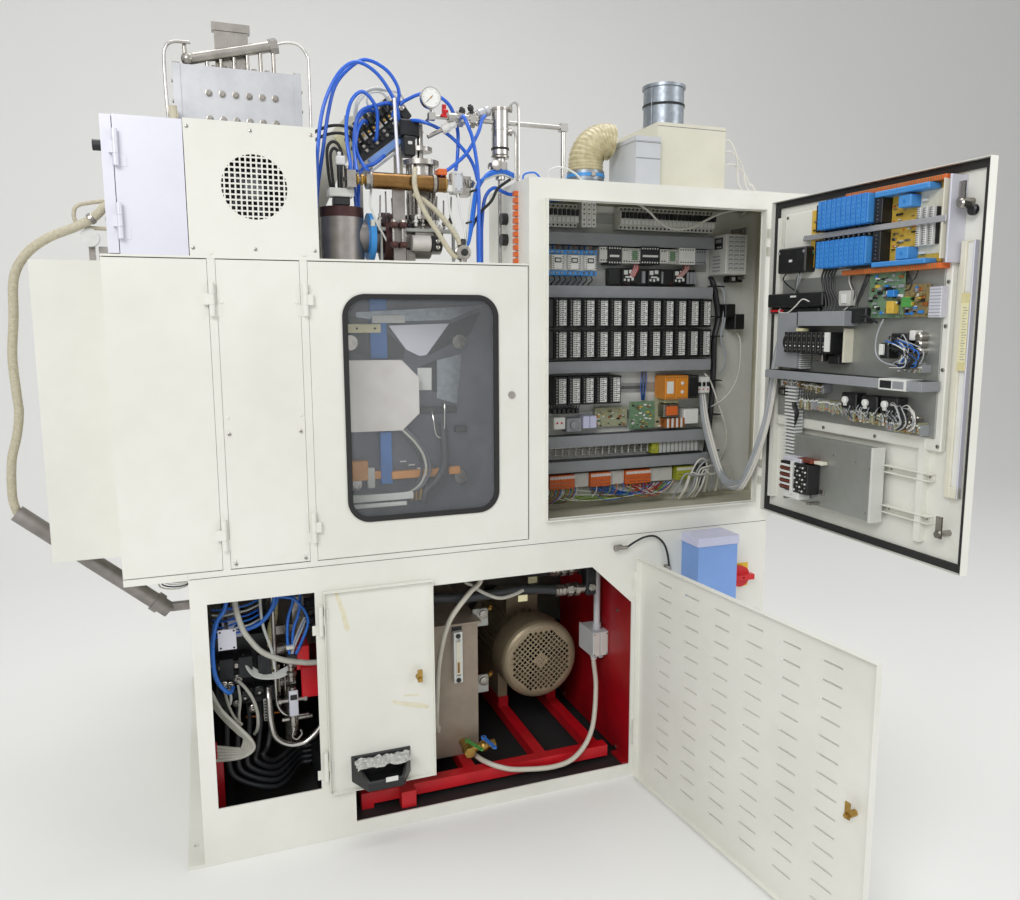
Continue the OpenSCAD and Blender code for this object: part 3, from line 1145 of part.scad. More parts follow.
// Places on the door: distance from the hinge axis and height above the leaf's foot
module on_door(d0, d1, z0, z1, y0, y1) block([cab_axis_x - d1, inner_y + y0, leaf_z0 + z0],
    [cab_axis_x - d0, inner_y + y1, leaf_z0 + z1]);
module door_equipment() at_frame() cab_swung() {
    color("#b4b6b4") {
        on_door(90, 760, 355, 730, 22, 25);
        on_door(90, 620, 480, 520, 25, 55);
        on_door(180, 440, 690, 712, 25, 50);
        on_door(222, 585, 85, 305, 22, 60);
        on_door(580, 752, 240, 262, 22, 32);
        on_door(590, 752, 120, 142, 22, 32);
    }
    color(dark) {
        on_door(85, 205, 865, 955, 0, 60);
        on_door(80, 300, 735, 790, 0, 50);
        on_door(150, 380, 595, 665, 25, 85);
        for (k = [0 : 2]) on_door(400 + 75 * k, 460 + 75 * k, 430, 470, 25, 60);
    }
    color("#3d7a48") on_door(490, 640, 715, 835, 25, 45);
    color("#7b6a3a") on_door(645, 735, 715, 800, 25, 45);
    color("#e6e6e6") on_door(640, 700, 560, 640, 25, 60);
    color("#8c1f22") on_door(150, 218, 95, 215, 0, 70);
    color(dark) on_door(140, 220, 250, 460, 0, 20);
    color("#ece7da") on_door(775, 868, 215, 920, 0, 14);
}
module relay_rack() at_frame() cab_swung() {
    color("#c9a35a") on_door(240, 760, 865, 1085, 22, 27);
    color("#2f6fc4") for (row = [0, 1], k = [0 : 5]) on_door(262 + 28 * k, 284 + 28 * k, 880 + 105 * row, 975 + 105 * row, 27, 74);
    color("#d9b23e") for (row = [0, 1], k = [0 : 4]) on_door(450 + 40 * k, 478 + 40 * k, 880 + 105 * row, 975 + 105 * row, 27, 60);
    color(dark) for (k = [0 : 1]) on_door(430, 444, 880 + 105 * k, 975 + 105 * k, 27, 66);
    color("#d0d2d4") on_door(240, 760, 975.5, 984.5, 27, 40);
    color("#e0e0e0") for (k = [0 : 5]) on_door(660 + 15 * k, 668 + 15 * k, 890, 1070, 27, 50);
}
module latch(z) cab_swung() {
    rod_y([latch_x, leaf_y - 6, z], 16, 6);
    block([latch_x - 6, leaf_y - 12, z - 15], [latch_x + 6, leaf_y - 6, z + 15]);
    rod_y([latch_x, leaf_y, z], lock_r, cab_throw);
    block([latch_x - 10, leaf_y + cab_throw, z - 12], [latch_x + 10, leaf_y + cab_throw + 5, z + cab_reach]);
    hex_y([latch_x, leaf_y + cab_throw + 5, z], 18, 6);
}
module upper_latch() at_frame() color(steel) latch(latch_zs[0]);
module lower_latch() at_frame() color(steel) latch(latch_zs[1]);

// Boxes and ducts on the cabinet's roof
box_x = cab_x0 + 505;
box_w = 276;
grey_x = box_x - 96;
duct_x = box_x + 72;
duct_r = 72;
elbow_x = cab_x0 + 290;
elbow_y = 190;
elbow_r = 66;
bend_r = 80;
module roof_boxes() at_frame() {
    color("#dfdcce") difference() {
        block([box_x, 60, cab_top], [box_x + box_w, 360, cab_top + 222]);
        rod_z([duct_x, 150, cab_top + 60], duct_r - 2, 200);
    }
    color("#c9cccb") {
        block([grey_x, 40, cab_top], [box_x - 1, 240, cab_top + 150]);
        block([grey_x - 3, 37, cab_top + 150], [box_x - 1, 243, cab_top + 165]);
    }
}
module roof_ducts() at_frame() {
    color("#8b9296") difference() {
        union() {
            rod_z([duct_x, 150, cab_top + 222], duct_r, 142);
            rod_z([duct_x, 150, cab_top + 354], duct_r + 5, 10);
            rod_z([duct_x, 150, cab_top + 292], duct_r + 2, 6);
        }
        rod_z([duct_x, 150, cab_top + 221], duct_r - 2, 150);
    }
    color("#8b9296") difference() {
        rod_z([elbow_x, elbow_y, cab_top], elbow_r, 90);
        rod_z([elbow_x, elbow_y, cab_top + 4], elbow_r - 3, 90);
    }
    color("#b9ac8c") translate([elbow_x + bend_r, elbow_y, cab_top + 90]) rotate([90, 0, 0]) rotate([0, 0, 180])
        mirror([0, 1, 0]) rotate([0, 0, -2]) rotate_extrude(angle = 102) translate([bend_r, 0]) difference() {
            circle(r = elbow_r - 3.3);
            circle(r = elbow_r - 7);
        }
}

base_body();
red_subframe();
red_partition();
oil_tank();
pump_motor();
motor_cowl();
motor_fan();
hydraulic_pump();
base_hoses();
motor_cables();
green_lever();
blue_lever();
valve_manifold();
small_door();
small_door_lock();
door_tray();
louvred_door();
louvred_door_lock();
blue_box();
isolator_plate();
isolator_knob();
probe_cable();
guard_frame();
fixed_panel();
left_door();
window_door();
window_seal();
window_pane();
window_lock();
end_hood();
suction_lance();
lance_hose();
clamp_frame();
front_platen();
rear_platen();
blow_pin();
extruder();
brass_cylinder();
valve_terminal();
air_tubes();
filter_line();
cover_box();
drive_motor();
drive_fan();
control_box();
control_box_door();
control_knob();
bolt_plate();
cabinet();
cabinet_fittings();
cabinet_devices();
io_modules();
cabinet_door();
door_gasket();
door_equipment();
relay_rack();
upper_latch();
lower_latch();
roof_boxes();
roof_ducts();
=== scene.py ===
"""Looks of the extrusion blow moulding machine: finishes, wiring, tubing and small fittings.

Places are given in millimetres of the source's own plan, whose corner is the base's front left
foot: x along the long front, y away from it, z up. The function placed turns them into the frame.
"""

import math
import random
from itertools import product

import bmesh
import bpy
from mathutils import Matrix, Vector


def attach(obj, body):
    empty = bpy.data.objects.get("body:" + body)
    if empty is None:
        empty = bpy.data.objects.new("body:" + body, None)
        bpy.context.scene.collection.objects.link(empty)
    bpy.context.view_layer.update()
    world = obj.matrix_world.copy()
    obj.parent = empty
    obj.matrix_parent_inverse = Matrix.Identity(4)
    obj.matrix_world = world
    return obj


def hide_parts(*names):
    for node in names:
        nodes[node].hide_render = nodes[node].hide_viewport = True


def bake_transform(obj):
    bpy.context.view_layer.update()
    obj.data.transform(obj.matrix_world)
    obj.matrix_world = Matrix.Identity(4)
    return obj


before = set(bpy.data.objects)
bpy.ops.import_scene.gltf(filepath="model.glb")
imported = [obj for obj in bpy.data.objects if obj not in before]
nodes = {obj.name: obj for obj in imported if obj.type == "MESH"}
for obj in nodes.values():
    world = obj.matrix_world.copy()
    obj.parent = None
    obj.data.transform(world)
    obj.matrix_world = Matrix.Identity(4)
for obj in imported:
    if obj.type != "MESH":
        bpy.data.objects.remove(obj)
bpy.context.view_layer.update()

# The base's half length and half depth bring the plan's corner to the frame's origin
HALF_LENGTH = 1032.5
HALF_DEPTH = 750.0


def placed(point):
    return Vector((point[0] - HALF_LENGTH, point[1] - HALF_DEPTH, point[2])) / 1000


# Camera: the photograph's own view, solved from the square doors and the cabinet's width
EYE = (71.5, -2557.5, 1677.7)
YAW, PITCH, ROLL = math.radians(20.66), math.radians(8.05), math.radians(-0.18)
FOCAL_PIXELS = 826.8
FRAME_WIDTH = 1020
SENSOR_MM = 36
AXIS_RIGHT_OF_MIDDLE = 4.8
AXIS_ABOVE_MIDDLE = 9.8


def set_camera():
    ahead = Vector((math.sin(YAW) * math.cos(PITCH), math.cos(YAW) * math.cos(PITCH), -math.sin(PITCH)))
    right = Vector((math.cos(YAW), -math.sin(YAW), 0))
    up = right.cross(ahead)
    level_right = math.cos(ROLL) * right + math.sin(ROLL) * up
    level_up = -math.sin(ROLL) * right + math.cos(ROLL) * up
    camera = bpy.data.objects.new("camera", bpy.data.cameras.new("camera"))
    turn = Matrix((level_right, level_up, -ahead)).transposed().to_4x4()
    camera.matrix_world = Matrix.Translation(placed(EYE)) @ turn
    camera.data.sensor_width = SENSOR_MM
    camera.data.lens = SENSOR_MM * FOCAL_PIXELS / FRAME_WIDTH
    camera.data.shift_x = -AXIS_RIGHT_OF_MIDDLE / FRAME_WIDTH
    camera.data.shift_y = -AXIS_ABOVE_MIDDLE / FRAME_WIDTH
    camera.data.clip_start = 0.05
    camera.data.clip_end = 60
    bpy.context.scene.collection.objects.link(camera)
    bpy.context.scene.camera = camera


set_camera()


def linear(code):
    parts = [int(code[i:i + 2], 16) / 255 for i in (1, 3, 5)]
    return [c / 12.92 if c <= 0.04045 else ((c + 0.055) / 1.055) ** 2.4 for c in parts] + [1.0]


def add(tree, kind, inputs=None, **settings):
    """Adds a node: settings are its own, inputs are values or the sockets that feed it."""
    made = tree.nodes.new("ShaderNode" + kind)
    for name, value in settings.items():
        setattr(made, name, value)
    for name, value in (inputs or {}).items():
        if isinstance(value, bpy.types.NodeSocket):
            tree.links.new(value, made.inputs[name])
        else:
            made.inputs[name].default_value = value
    return made


# Each finish: main tone, second tone, share of the second tone, size of its patches in mm,
# roughness, metallic, size of the grain in mm, its relief in mm. Real grain is a tenth of a
# millimetre or less: it is drawn 1 to 12 mm wide, so that it shows from the camera.
FINISHES = {
    # Cream powder coat on folded sheet: an even satin with a fine orange peel
    "cream_powder_coat": ("#e9e9e1", "#dcdcd2", 0.7, 420, 0.42, 0, 3.0, 0.02),
    # The same coat inside the cabinet, painted darker and a little yellower: painted shade of the cabinet's
    # inside
    "cream_coat_painted_shade": ("#dcdac8", "#c9c6b2", 0.8, 300, 0.5, 0, 3.0, 0.02),
    # What old tape leaves on the door's coat: thin, yellowed and matt
    "tape_residue": ("#e2dec8", "#d4cdab", 0.6, 20, 0.6, 0, 2.0, 0.02),
    # Crumpled clear film, painted grey with darker patches as painted shade of its folds
    "crumpled_film": ("#c9cac6", "#8f908d", 0.8, 9, 0.22, 0, 3.0, 0.15),
    # Inside of the base: near black, as painted shade of its unlit inside
    "base_inside_painted_shade": ("#17191b", "#232323", 0.8, 200, 0.6, 0, 4.0, 0.05),
    # Red enamel, brushed on: glossy with broad runs
    "red_enamel": ("#a90f1c", "#7c0913", 0.7, 260, 0.33, 0, 12.0, 0.08),
    # The red enamel painted brighter, on the carrier and a bracket in the bay: painted light
    "red_enamel_painted_light": ("#cf1724", "#ab101c", 0.7, 180, 0.35, 0, 10.0, 0.08),
    # Beige hammer paint of the oil tank: small dimples with a dull sheen
    "tank_hammer_paint": ("#9d9080", "#8b7f70", 0.7, 90, 0.38, 0.15, 5.0, 0.15),
    # Grey gold metallic lacquer on the motor's cast and pressed parts
    "motor_lacquer": ("#a3967c", "#8f836a", 0.6, 120, 0.4, 0.35, 4.0, 0.06),
    # Machine blue enamel of the clamp's castings: even, with a soft orange peel
    "machine_blue_enamel": ("#3f76bd", "#2f5f9f", 0.6, 160, 0.42, 0, 6.0, 0.05),
    # Phosphated cast iron of valve blocks, wet with oil
    "valve_phosphate": ("#1c1d20", "#2e3033", 0.7, 40, 0.42, 0.4, 3.0, 0.08),
    # Heat-browned steel of the band clamps: dull purple brown
    "heat_browned_steel": ("#43292c", "#5b4038", 0.7, 50, 0.5, 0.6, 4.0, 0.06),
    # Turned steel: bright, with a light grey cast
    "turned_steel": ("#a5a19b", "#807c76", 0.7, 40, 0.26, 0.95, 2.0, 0.01),
    # Dull steel of the extruder's barrel and drum, stained by heat
    "barrel_steel": ("#96918d", "#79736f", 0.7, 80, 0.42, 0.8, 5.0, 0.03),
    # Polished stainless pipe: long bright lines along it
    "stainless_pipe": ("#bab8b4", "#94918b", 0.5, 90, 0.2, 0.98, 1.5, 0.006),
    # Ground mould platen, pale with cutting marks
    "ground_platen_steel": ("#dcd9d4", "#c6bfba", 0.6, 150, 0.45, 0.25, 4.0, 0.02),
    # Drawn bronze of the cylinder: warm brown, bright along its top
    "drawn_bronze": ("#8d6c42", "#6b4c2c", 0.7, 60, 0.24, 0.95, 3.0, 0.02),
    # Turned brass of valves and lock barrels: yellow with a fine cut
    "turned_brass": ("#b3924e", "#94743a", 0.6, 20, 0.33, 0.9, 1.5, 0.01),
    # Anodised aluminium sheet with a cool, almost lilac cast
    "anodised_sheet": ("#dcdce6", "#cfcfdb", 0.6, 260, 0.38, 0.25, 2.0, 0.01),
    # Rolled aluminium plate, rubbed dull
    "rolled_aluminium": ("#bfc0c3", "#a9aaae", 0.7, 90, 0.4, 0.6, 2.5, 0.02),
    # Spangled zinc on duct sheet: its crystals as lighter and darker patches
    "galvanised_sheet": ("#8f969d", "#7a8188", 0.8, 18, 0.35, 0.75, 6.0, 0.01),
    # Zinc-passivated steel of mounting plates: dull grey, faintly straw
    "zinc_plate": ("#a9aba8", "#96988f", 0.6, 120, 0.4, 0.6, 4.0, 0.02),
    # White lacquer on a mounting plate: even and a little dusty
    "white_plate_lacquer": ("#d6d7d2", "#c6c7c1", 0.6, 220, 0.45, 0, 4.0, 0.01),
    # Ochre lacquer of the bars across the mould bay: even, half glossy
    "bar_ochre_lacquer": ("#d9933f", "#b97628", 0.6, 60, 0.42, 0, 4.0, 0.03),
    # Grey primer of the sheets inside the guard, dull behind the window
    "inner_sheet_grey": ("#5c5d68", "#3f4048", 0.8, 160, 0.5, 0.1, 4.0, 0.03),
    # Black rubber of seals: matt, faintly dusty
    "black_rubber": ("#1b1b1c", "#2a2a2b", 0.6, 30, 0.62, 0, 1.5, 0.05),
    # Rubber cover of hydraulic hoses: dark, pressed with a fabric's mark
    "hose_cover_rubber": ("#26282b", "#34363a", 0.6, 40, 0.55, 0, 2.0, 0.12),
    # Blue polyurethane tube: glossy and slightly clear
    "blue_tube": ("#2a5fc4", "#1f4ba6", 0.5, 60, 0.22, 0, 4.0, 0.01),
    # The same tube in the shade of the base
    "bright_blue_tube": ("#2f78dc", "#2563bd", 0.5, 60, 0.25, 0, 4.0, 0.01),
    # Milky nylon tube: pale with a soft gloss
    "milky_tube": ("#d9dbd6", "#c4c7c0", 0.5, 50, 0.3, 0, 4.0, 0.01),
    # Grey spiral-wound conduit: dull, with its winding
    "grey_conduit": ("#b7b6ac", "#a1a096", 0.6, 30, 0.5, 0, 2.0, 0.1),
    # Braided polyester jacket of hoses: straw coloured, with a coarse weave
    "braided_jacket": ("#c9c2ab", "#aaa28a", 0.6, 8, 0.6, 0, 2.0, 0.3),
    # PVC sheaths of cables in four colours: smooth, with a soft sheen
    "cable_sheath": ("#cdc9bb", "#bcb8a9", 0.5, 60, 0.42, 0, 3.0, 0.01),
    "white_sheath": ("#dedcd4", "#cfcdc4", 0.5, 60, 0.42, 0, 3.0, 0.01),
    "grey_sheath": ("#a8acb0", "#969aa0", 0.5, 60, 0.45, 0, 3.0, 0.01),
    "black_sheath": ("#17181a", "#232427", 0.5, 40, 0.45, 0, 3.0, 0.01),
    # PVC insulation of single wires, one colour for each circuit: smooth, half dull
    "blue_wire": ("#2766b8", "#1f559d", 0.4, 20, 0.4, 0, 2.0, 0.01),
    "green_wire": ("#7f9c3a", "#68852f", 0.4, 20, 0.4, 0, 2.0, 0.01),
    "red_wire": ("#b02a2a", "#8f1f20", 0.4, 20, 0.4, 0, 2.0, 0.01),
    "brown_wire": ("#6d4a35", "#57392a", 0.4, 20, 0.4, 0, 2.0, 0.01),
    "white_wire": ("#dcdcd8", "#c8c8c3", 0.4, 20, 0.4, 0, 2.0, 0.01),
    "orange_wire": ("#c9762d", "#ad6224", 0.4, 20, 0.4, 0, 2.0, 0.01),
    # Moulded polyamide and ABS of the switchgear: even colours, no gloss
    "black_moulding": ("#151617", "#202123", 0.5, 30, 0.42, 0, 1.5, 0.02),
    "light_grey_moulding": ("#cfcfc9", "#bebeb7", 0.5, 60, 0.45, 0, 1.5, 0.02),
    "white_moulding": ("#e6e6e2", "#d6d6d1", 0.4, 40, 0.4, 0, 1.5, 0.01),
    "trunking_grey": ("#93969a", "#85888c", 0.5, 90, 0.5, 0, 2.0, 0.01),
    "contactor_blue": ("#4a94d8", "#3c82c4", 0.4, 30, 0.38, 0, 1.5, 0.01),
    "relay_blue": ("#2f82cf", "#2470b8", 0.4, 30, 0.35, 0, 1.5, 0.01),
    "relay_yellow": ("#d8b54a", "#c39f38", 0.5, 20, 0.4, 0, 1.5, 0.01),
    "terminal_orange": ("#d8692c", "#c2581f", 0.4, 20, 0.42, 0, 1.5, 0.01),
    "terminal_yellow": ("#bcb93a", "#7f9a3a", 0.8, 8, 0.42, 0, 1.5, 0.01),
    "module_orange": ("#d98a2b", "#c67a1f", 0.4, 30, 0.4, 0, 1.5, 0.01),
    # Plain label paper: white and matt
    "label_white": ("#dfe0dc", "#cdceca", 0.4, 10, 0.55, 0, 1.0, 0.01),
    # Laminated circuit boards, green mask or plain phenolic: mottled by their tracks
    "green_board": ("#5c7f62", "#7f9474", 0.7, 12, 0.45, 0, 2.0, 0.02),
    "pale_board": ("#a3a587", "#8a8c6c", 0.7, 12, 0.5, 0, 2.0, 0.02),
    "brown_board": ("#8f7f55", "#6d5d3a", 0.7, 10, 0.5, 0, 2.0, 0.02),
    # Enamelled copper winding: dark red turns
    "copper_winding": ("#8d4a38", "#6c3027", 0.6, 4, 0.4, 0.5, 1.0, 0.05),
    # Moulded signal colours of switch, levers and strap: clean, half glossy
    "switch_red": ("#d11a22", "#b8141b", 0.4, 30, 0.32, 0, 1.5, 0.01),
    "switch_yellow": ("#e6c22a", "#d4b01f", 0.4, 30, 0.4, 0, 1.5, 0.01),
    "lever_green": ("#4f9a4a", "#3f823b", 0.4, 20, 0.45, 0, 1.5, 0.01),
    "lever_blue": ("#3a7bd0", "#2f68b3", 0.4, 20, 0.45, 0, 1.5, 0.01),
    "strap_azure": ("#3a93dc", "#2f80c4", 0.4, 20, 0.42, 0, 1.5, 0.01),
    # Moulded polystyrene of the terminal box and its lid
    "box_blue": ("#7ea4e2", "#7397d6", 0.4, 120, 0.32, 0, 3.0, 0.01),
    "box_lilac": ("#cdcfe8", "#c0c3de", 0.4, 120, 0.35, 0, 3.0, 0.01),
    "box_grey": ("#c7cacd", "#babdc0", 0.4, 140, 0.42, 0, 3.0, 0.01),
    # Powder coat of the roof's fan box: warmer and duller than the cream
    "fan_box_coat": ("#d8d5c4", "#cbc8b5", 0.5, 160, 0.45, 0, 3.0, 0.01),
    # Ribbed PVC hose: straw tinted, its ribs shining
    "ribbed_hose": ("#c8bd98", "#a3976f", 0.7, 20, 0.28, 0, 4.0, 0.05),
    # Printed gauge face and dark printed lines: flat and clean
    "dial_white": ("#f2f2ee", "#e4e4df", 0.4, 20, 0.35, 0, 1.5, 0.01),
    "dial_line": ("#30302f", "#3a3a39", 0.4, 20, 0.5, 0, 1.5, 0.01),
    # Old tape left on sheets: yellowed, its edges darker
    "old_tape": ("#dbd2a4", "#cdc288", 0.6, 20, 0.5, 0, 2.0, 0.02),
    # Yellowed paper of tags and strips: matt
    "tag_paper": ("#e8e2b8", "#d9d2a4", 0.5, 12, 0.6, 0, 1.5, 0.01),
    # Document pocket: rigid PVC with stained edges
    "pocket_pvc": ("#e3e0cf", "#d2cdb8", 0.6, 120, 0.45, 0, 3.0, 0.01),
    # Drawn copper bar: warm and half bright
    "copper_bar": ("#c87940", "#a86231", 0.5, 20, 0.35, 0.8, 1.5, 0.01),
}


def surface(tree, name, place):
    """Colour, roughness, metallic and relief height of one finish at a place."""
    main, second, share, patch, rough, metal, grain, relief = FINISHES[name]
    patches = add(tree, "TexNoise", {"Vector": place, "Scale": 1000 / patch, "Detail": 4.0,
            "Roughness": 0.6})
    spread = add(tree, "MapRange", {0: patches.outputs[0], 1: 0.38, 2: 0.66, 3: 0.0, 4: share})
    colour = add(tree, "Mix", {0: spread.outputs[0], 6: linear(main), 7: linear(second)}, data_type="RGBA")
    fine = add(tree, "TexNoise", {"Vector": place, "Scale": 1000 / grain, "Detail": 2.0})
    sheen = add(tree, "MapRange", {0: patches.outputs[0], 1: 0.3, 2: 0.7, 3: max(rough - 0.05, 0.05),
            4: min(rough + 0.08, 1)})
    return colour.outputs[2], sheen.outputs[0], metal, fine.outputs[0], relief


def within(tree, place, low, high):
    """One inside a box of the plan, nothing outside."""
    middle = placed([(a + b) / 2 for a, b in zip(low, high)])
    half = [(b - a) / 2000 for a, b in zip(low, high)]
    away = add(tree, "VectorMath", {0: place, 1: middle}, operation="SUBTRACT")
    away = add(tree, "VectorMath", {0: away.outputs[0]}, operation="ABSOLUTE")
    away = add(tree, "VectorMath", {0: away.outputs[0], 1: half}, operation="DIVIDE")
    parts = add(tree, "SeparateXYZ", {0: away.outputs[0]})
    most = add(tree, "Math", {0: parts.outputs[0], 1: parts.outputs[1]}, operation="MAXIMUM")
    most = add(tree, "Math", {0: most.outputs[0], 1: parts.outputs[2]}, operation="MAXIMUM")
    return add(tree, "Math", {0: most.outputs[0], 1: 1.0}, operation="LESS_THAN").outputs[0]


def new_tree(name):
    material = bpy.data.materials.new(name)
    material.use_nodes = True
    material.node_tree.nodes.clear()
    return material, material.node_tree


def finish(name, zones=(), label=None):
    """One finish, or one with others in boxes of the plan, for a part painted in several."""
    label = label or name
    if label in bpy.data.materials:
        return bpy.data.materials[label]
    material, tree = new_tree(label)
    place = add(tree, "TexCoord").outputs["Object"]
    colour, rough, metal, height, relief = surface(tree, name, place)
    for other, low, high in zones:
        inside = within(tree, place, low, high)
        other_colour, other_rough, other_metal, _, _ = surface(tree, other, place)
        colour = add(tree, "Mix", {0: inside, 6: colour, 7: other_colour}, data_type="RGBA").outputs[2]
        rough = add(tree, "Mix", {0: inside, 2: rough, 3: other_rough}).outputs[0]
        metal = add(tree, "Mix", {0: inside, 2: metal, 3: other_metal}).outputs[0]
    bump = add(tree, "Bump", {"Strength": 0.6, "Distance": relief / 1000, "Height": height})
    shader = add(tree, "BsdfPrincipled", {"Base Color": colour, "Roughness": rough, "Metallic": metal,
            "Normal": bump.outputs[0]})
    add(tree, "OutputMaterial", {"Surface": shader.outputs[0]})
    return material


def clear_finish(name, tone, rough):
    """Clear polycarbonate: thin haze and a faint sheen, which its low IOR holds back."""
    material, tree = new_tree(name)
    place = add(tree, "TexCoord").outputs["Object"]
    haze = add(tree, "TexNoise", {"Vector": place, "Scale": 9.0, "Detail": 3.0})
    dull = add(tree, "MapRange", {0: haze.outputs[0], 1: 0.4, 2: 0.7, 3: rough, 4: rough + 0.06})
    shader = add(tree, "BsdfPrincipled", {"Base Color": linear(tone), "Roughness": dull.outputs[0],
            "IOR": 1.1, "Alpha": 0.06})
    add(tree, "OutputMaterial", {"Surface": shader.outputs[0]})
    material.surface_render_method = "BLENDED"
    return material


# Directions in the plan, as someone in front of the machine sees them
RIGHT, LEFT = (1, 0, 0), (-1, 0, 0)
INWARD, OUTWARD = (0, 1, 0), (0, -1, 0)
UP, DOWN = (0, 0, 1), (0, 0, -1)

# The eight corners of a block, and the faces of one with broken and one with sharp edges
CORNERS = list(product((0, 1), repeat=3))


def corner_point(corner, axis):
    """Which point of a chamfered block lies at a corner, on the face across an axis."""
    return 3 * CORNERS.index(corner) + axis


def chamfered_faces():
    faces = []
    for axis in range(3):
        b, c = [i for i in range(3) if i != axis]
        for side in (0, 1):
            ring = []
            for sb, sc in ((0, 0), (1, 0), (1, 1), (0, 1)):
                corner = [0, 0, 0]
                corner[axis], corner[b], corner[c] = side, sb, sc
                ring.append(corner_point(tuple(corner), axis))
            faces.append(ring)
        for sb, sc in product((0, 1), repeat=2):
            ends = []
            for s in (0, 1):
                corner = [0, 0, 0]
                corner[axis], corner[b], corner[c] = s, sb, sc
                ends.append(tuple(corner))
            faces.append([corner_point(ends[0], b), corner_point(ends[1], b), corner_point(ends[1], c),
                          corner_point(ends[0], c)])
    faces += [[corner_point(corner, axis) for axis in range(3)] for corner in CORNERS]
    return faces


CHAMFERED = chamfered_faces()
PLAIN = [[0, 1, 3, 2], [4, 6, 7, 5], [0, 4, 5, 1], [2, 3, 7, 6], [0, 2, 6, 4], [1, 5, 7, 3]]


def eased(route, steps=5):
    """A smooth line through the points of a route."""
    points = [Vector(p) for p in route]
    line = []
    for i in range(len(points) - 1):
        a, b = points[max(i - 1, 0)], points[i]
        c, d = points[i + 1], points[min(i + 2, len(points) - 1)]
        for k in range(steps):
            u = k / steps
            line.append(0.5 * (2 * b + (c - a) * u + (2 * a - 5 * b + 4 * c - d) * u * u
                    + (3 * b - a - 3 * c + d) * u ** 3))
    return line + [points[-1]]


# Edges sharper than this stay sharp to the light
SHARP_ABOVE = math.radians(35)


